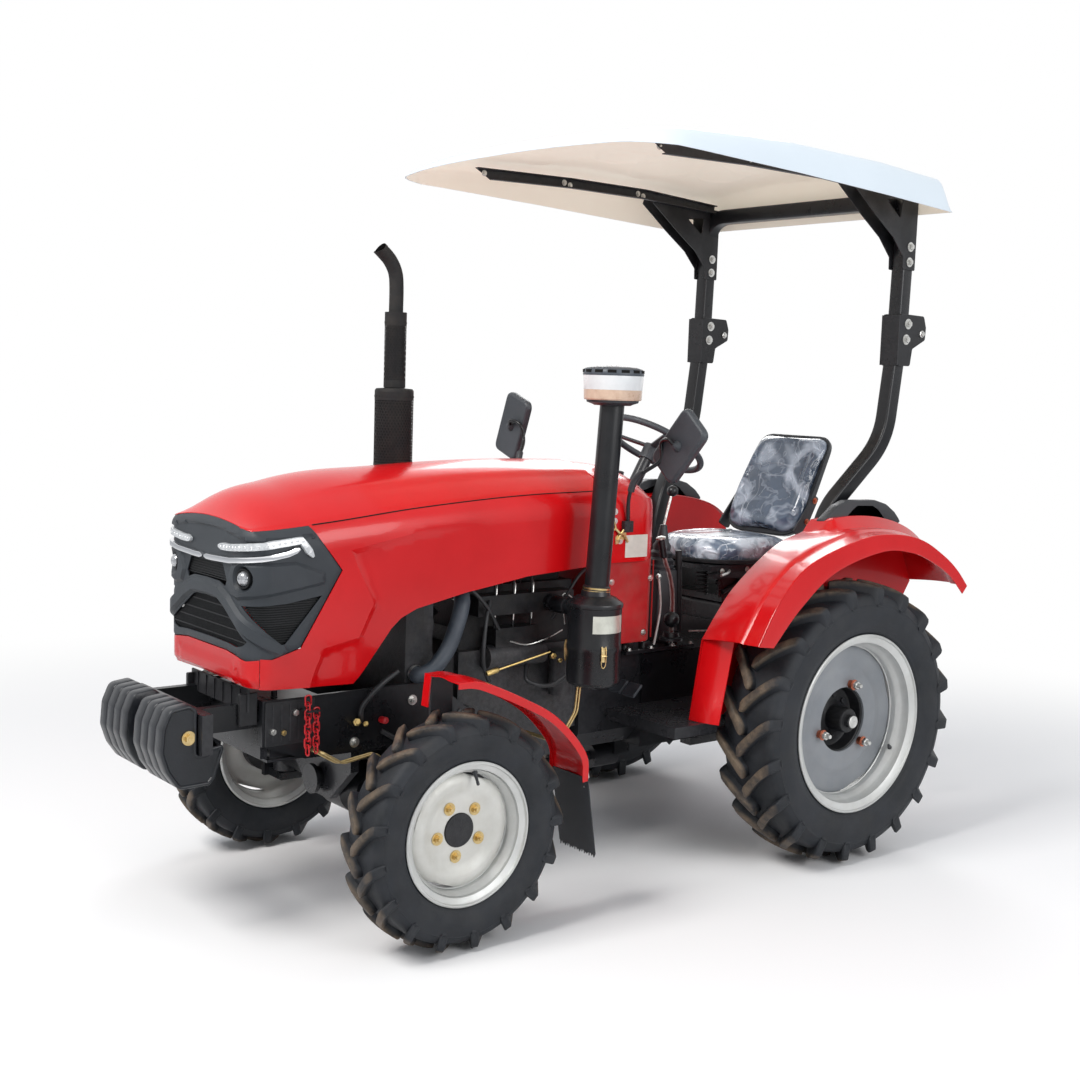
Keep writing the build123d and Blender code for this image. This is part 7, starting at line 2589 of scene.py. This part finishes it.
def canopy_point(u, v, inset=0.0, lift=0.0):
    front = canopy_front(u) + inset
    rear = CANOPY_REAR - inset
    y = front + (rear - front) * v
    columns = list(zip(*CANOPY_STATIONS))
    half, edge, side_z, crown = (float(np.interp(y, columns[0], column)) for column in columns[1:])
    half -= inset
    x = u * half
    dome = side_z + (crown - side_z) * (1 - u * u)
    near_side = 1 - (1 - min(1.0, (1 - abs(u)) * half / SIDE_ROLL)) ** 2.2
    near_front = 1 - (1 - min(1.0, (y - front) / FRONT_ROLL)) ** 2.2
    near_rear = 1 - (1 - min(1.0, (rear - y) / REAR_ROLL)) ** 2.4
    return Vector((x, y, edge + (dome - edge - lift) * near_side * near_front * near_rear))


def canopy_rib(u, v):
    """How much of a pressed rib there is: crossing lens-shaped beads and one straight seam."""
    field = smooth((v - 0.1) / 0.04) * (1 - smooth((v - 0.88) / 0.04)) * (1
        - smooth((abs(u) - 0.78) / 0.04))
    most = 0.45 * (1 - smooth(abs(u) / 0.01))
    for centre, reach, phase in ((0.0, 0.2, 0.0), (0.0, 0.48, 0.0), (0.0, 0.2, 0.5), (0.0, 0.66, 0.25)):
        swing = reach * sin(tau * (v * 1.5 + phase))
        for sign in (-1, 1):
            most = max(most, 1 - smooth(abs(u - centre - sign * swing) / 0.028))
    return field * most


def make_canopy():
    across_shares = sorted({round(s * (1 - (1 - t / 60) ** 1.25), 6) for s in (-1, 1) for t in range(61)})
    along_shares = [0.5 - 0.5 * cos(pi * k / 150) for k in range(151)]
    outer = [[canopy_point(u, v) for u in across_shares] for v in along_shares]
    inner = [[canopy_point(u, v, 0.004, SHELL_GAUGE) for u in across_shares] for v in along_shares]
    for row, v in zip(inner, along_shares):
        for spot, u in zip(row, across_shares):
            spot.z -= RIB_DEPTH * canopy_rib(u, v)
    form = new_form()
    width = len(across_shares)
    sheets = [[[form.verts.new(p) for p in row] for row in rows] for rows in (outer, inner)]
    for n, verts in enumerate(sheets):
        for lower, upper in zip(verts, verts[1:]):
            for k in range(width - 1):
                quad = (lower[k], lower[k + 1], upper[k + 1], upper[k])
                face = form.faces.new(quad if n == 0 else quad[::-1])
                face.material_index = n
    top, under = sheets
    rim = [(j, 0) for j in range(len(top) - 1)] + [(len(top) - 1, k) for k in range(width - 1)]
    rim += [(j, width - 1) for j in range(len(top) - 1, 0, -1)] + [(0, k) for k in range(width - 1, 0, -1)]
    for (a, b), (c, d) in zip(rim, rim[1:] + rim[:1]):
        form.faces.new((top[a][b], top[c][d], under[c][d], under[a][b]))
    piece("canopy_shell", form, [CANOPY_TOP, CANOPY_UNDER], "roll_bar", sharp=40, in_place_of=["canopy"])


make_roll_bar()
make_canopy()


# ---------------------------------------------------------------- rear end
PTO_Z = 0.56
LENS_RED, LENS_AMBER = (-0.026, 0.004), (0.006, 0.026)  # spans of the two lamp lenses


def make_rear_end():
    form, lens_red, lens_amber = new_form(), new_form(), new_form()
    for side in (-1, 1):
        flat = lambda a, b, d, side=side: Vector((side * (0.4635 + a), 1.336 + d, 0.93 + b))
        shell = rounded(mm([(-33.5, -30), (-33.5, 30), (33.5, 30), (33.5, -30)]), 0.01, 4)
        add_stepped(form, shell, flat, mm([(0, 3), (3, 0), (30, 0), (34, 3)]))
        for target, (low, high) in ((lens_red, LENS_RED), (lens_amber, LENS_AMBER)):
            glass = rounded([(-0.029, low), (-0.029, high), (0.029, high), (0.029, low)], 0.006, 3)
            add_stepped(target, glass, flat, mm([(32, 0), (44, 1), (47, 4)]))
    for part, name, look in ((form, "tail_lamp_shells", SOFT_BLACK),
                             (lens_red, "tail_lamp_red_lenses", RED),
                             (lens_amber, "tail_lamp_amber_lenses", AMBER)):
        piece(name, part, look, sharp=40, in_place_of=["tail_lamps"] if part is form else ())
    form = new_form()
    for k in range(6):
        turn = Matrix.Rotation(tau * k / 6, 3, "Y")
        add_box(form, (-0.0043, 1.047, PTO_Z + 0.016), (0.0043, 1.1135, PTO_Z + 0.0205), turn,
                (0, 1.08, PTO_Z))
    piece("pto_splines", form, WHITE_ZINC)
    form = new_form()
    add_turned(form, mm([(0, 0), (0, 60), (6, 62), (10, 56), (10, 21.5), (12, 0)]), (0, 1.0352, PTO_Z),
               (0, 1, 0), sides=48)
    piece("pto_seal_plate", form, BLACK_SATIN, sharp=40)
    spots = [((0.05 * cos(tau * k / 6), 1.0455, PTO_Z + 0.05 * sin(tau * k / 6)), (0, 1, 0))
             for k in range(6)]
    bolts("pto_seal_bolts", spots, 0.01, WHITE_ZINC, head=0.005)
    ring = [(0.83 + 0.077 * cos(tau * (k + 0.5) / 10), 0.53 + 0.077 * sin(tau * (k + 0.5) / 10))
            for k in range(10)]
    spots = [((s * 0.4298, y, z), (-s, 0, 0)) for s in (-1, 1) for y, z in ring]
    bolts("axle_flange_bolts", spots, 0.012, WHITE_ZINC, head=0.006)
    form = new_form()
    add_turned(form, mm([(-45, 0), (-45, 11.5), (36, 11.5), (36, 20), (44, 21), (48, 10), (48, 0)]),
               (0, 1.165, 0.332), UP, sides=28)
    piece("drawbar_pin", form, WHITE_ZINC)


make_rear_end()


# ---------------------------------------------------------------- finishes of the CAD pieces that stay
def dress_node(node, material):
    mesh = frame["nodes"][node].data
    mesh.materials.clear()
    mesh.materials.append(material)


SLOT_FINISH = {
    "red_paint": RED, "black_paint": BLACK, "engine_black": ENGINE_BLACK, "exhaust_black": HEATPROOF,
    "tyre_rubber": SOFT_BLACK,
    "rim_silver": SILVER, "grille_plastic": NOSE_PLASTIC, "lamp_lens": CHROME, "hose_rubber": HOSE,
    "seat_vinyl": SOFT_BLACK,
    "canopy_white": BLANK_LABEL, "mirror_plastic": MIRROR_SHELL, "precleaner_plastic": BLANK_LABEL,
    "zinc": GOLD_ZINC,
}
for part in frame["record"]["subparts"]:
    if not frame["nodes"][part["node"]].hide_render:
        dress_node(part["node"], SLOT_FINISH[part["material_slot"]])
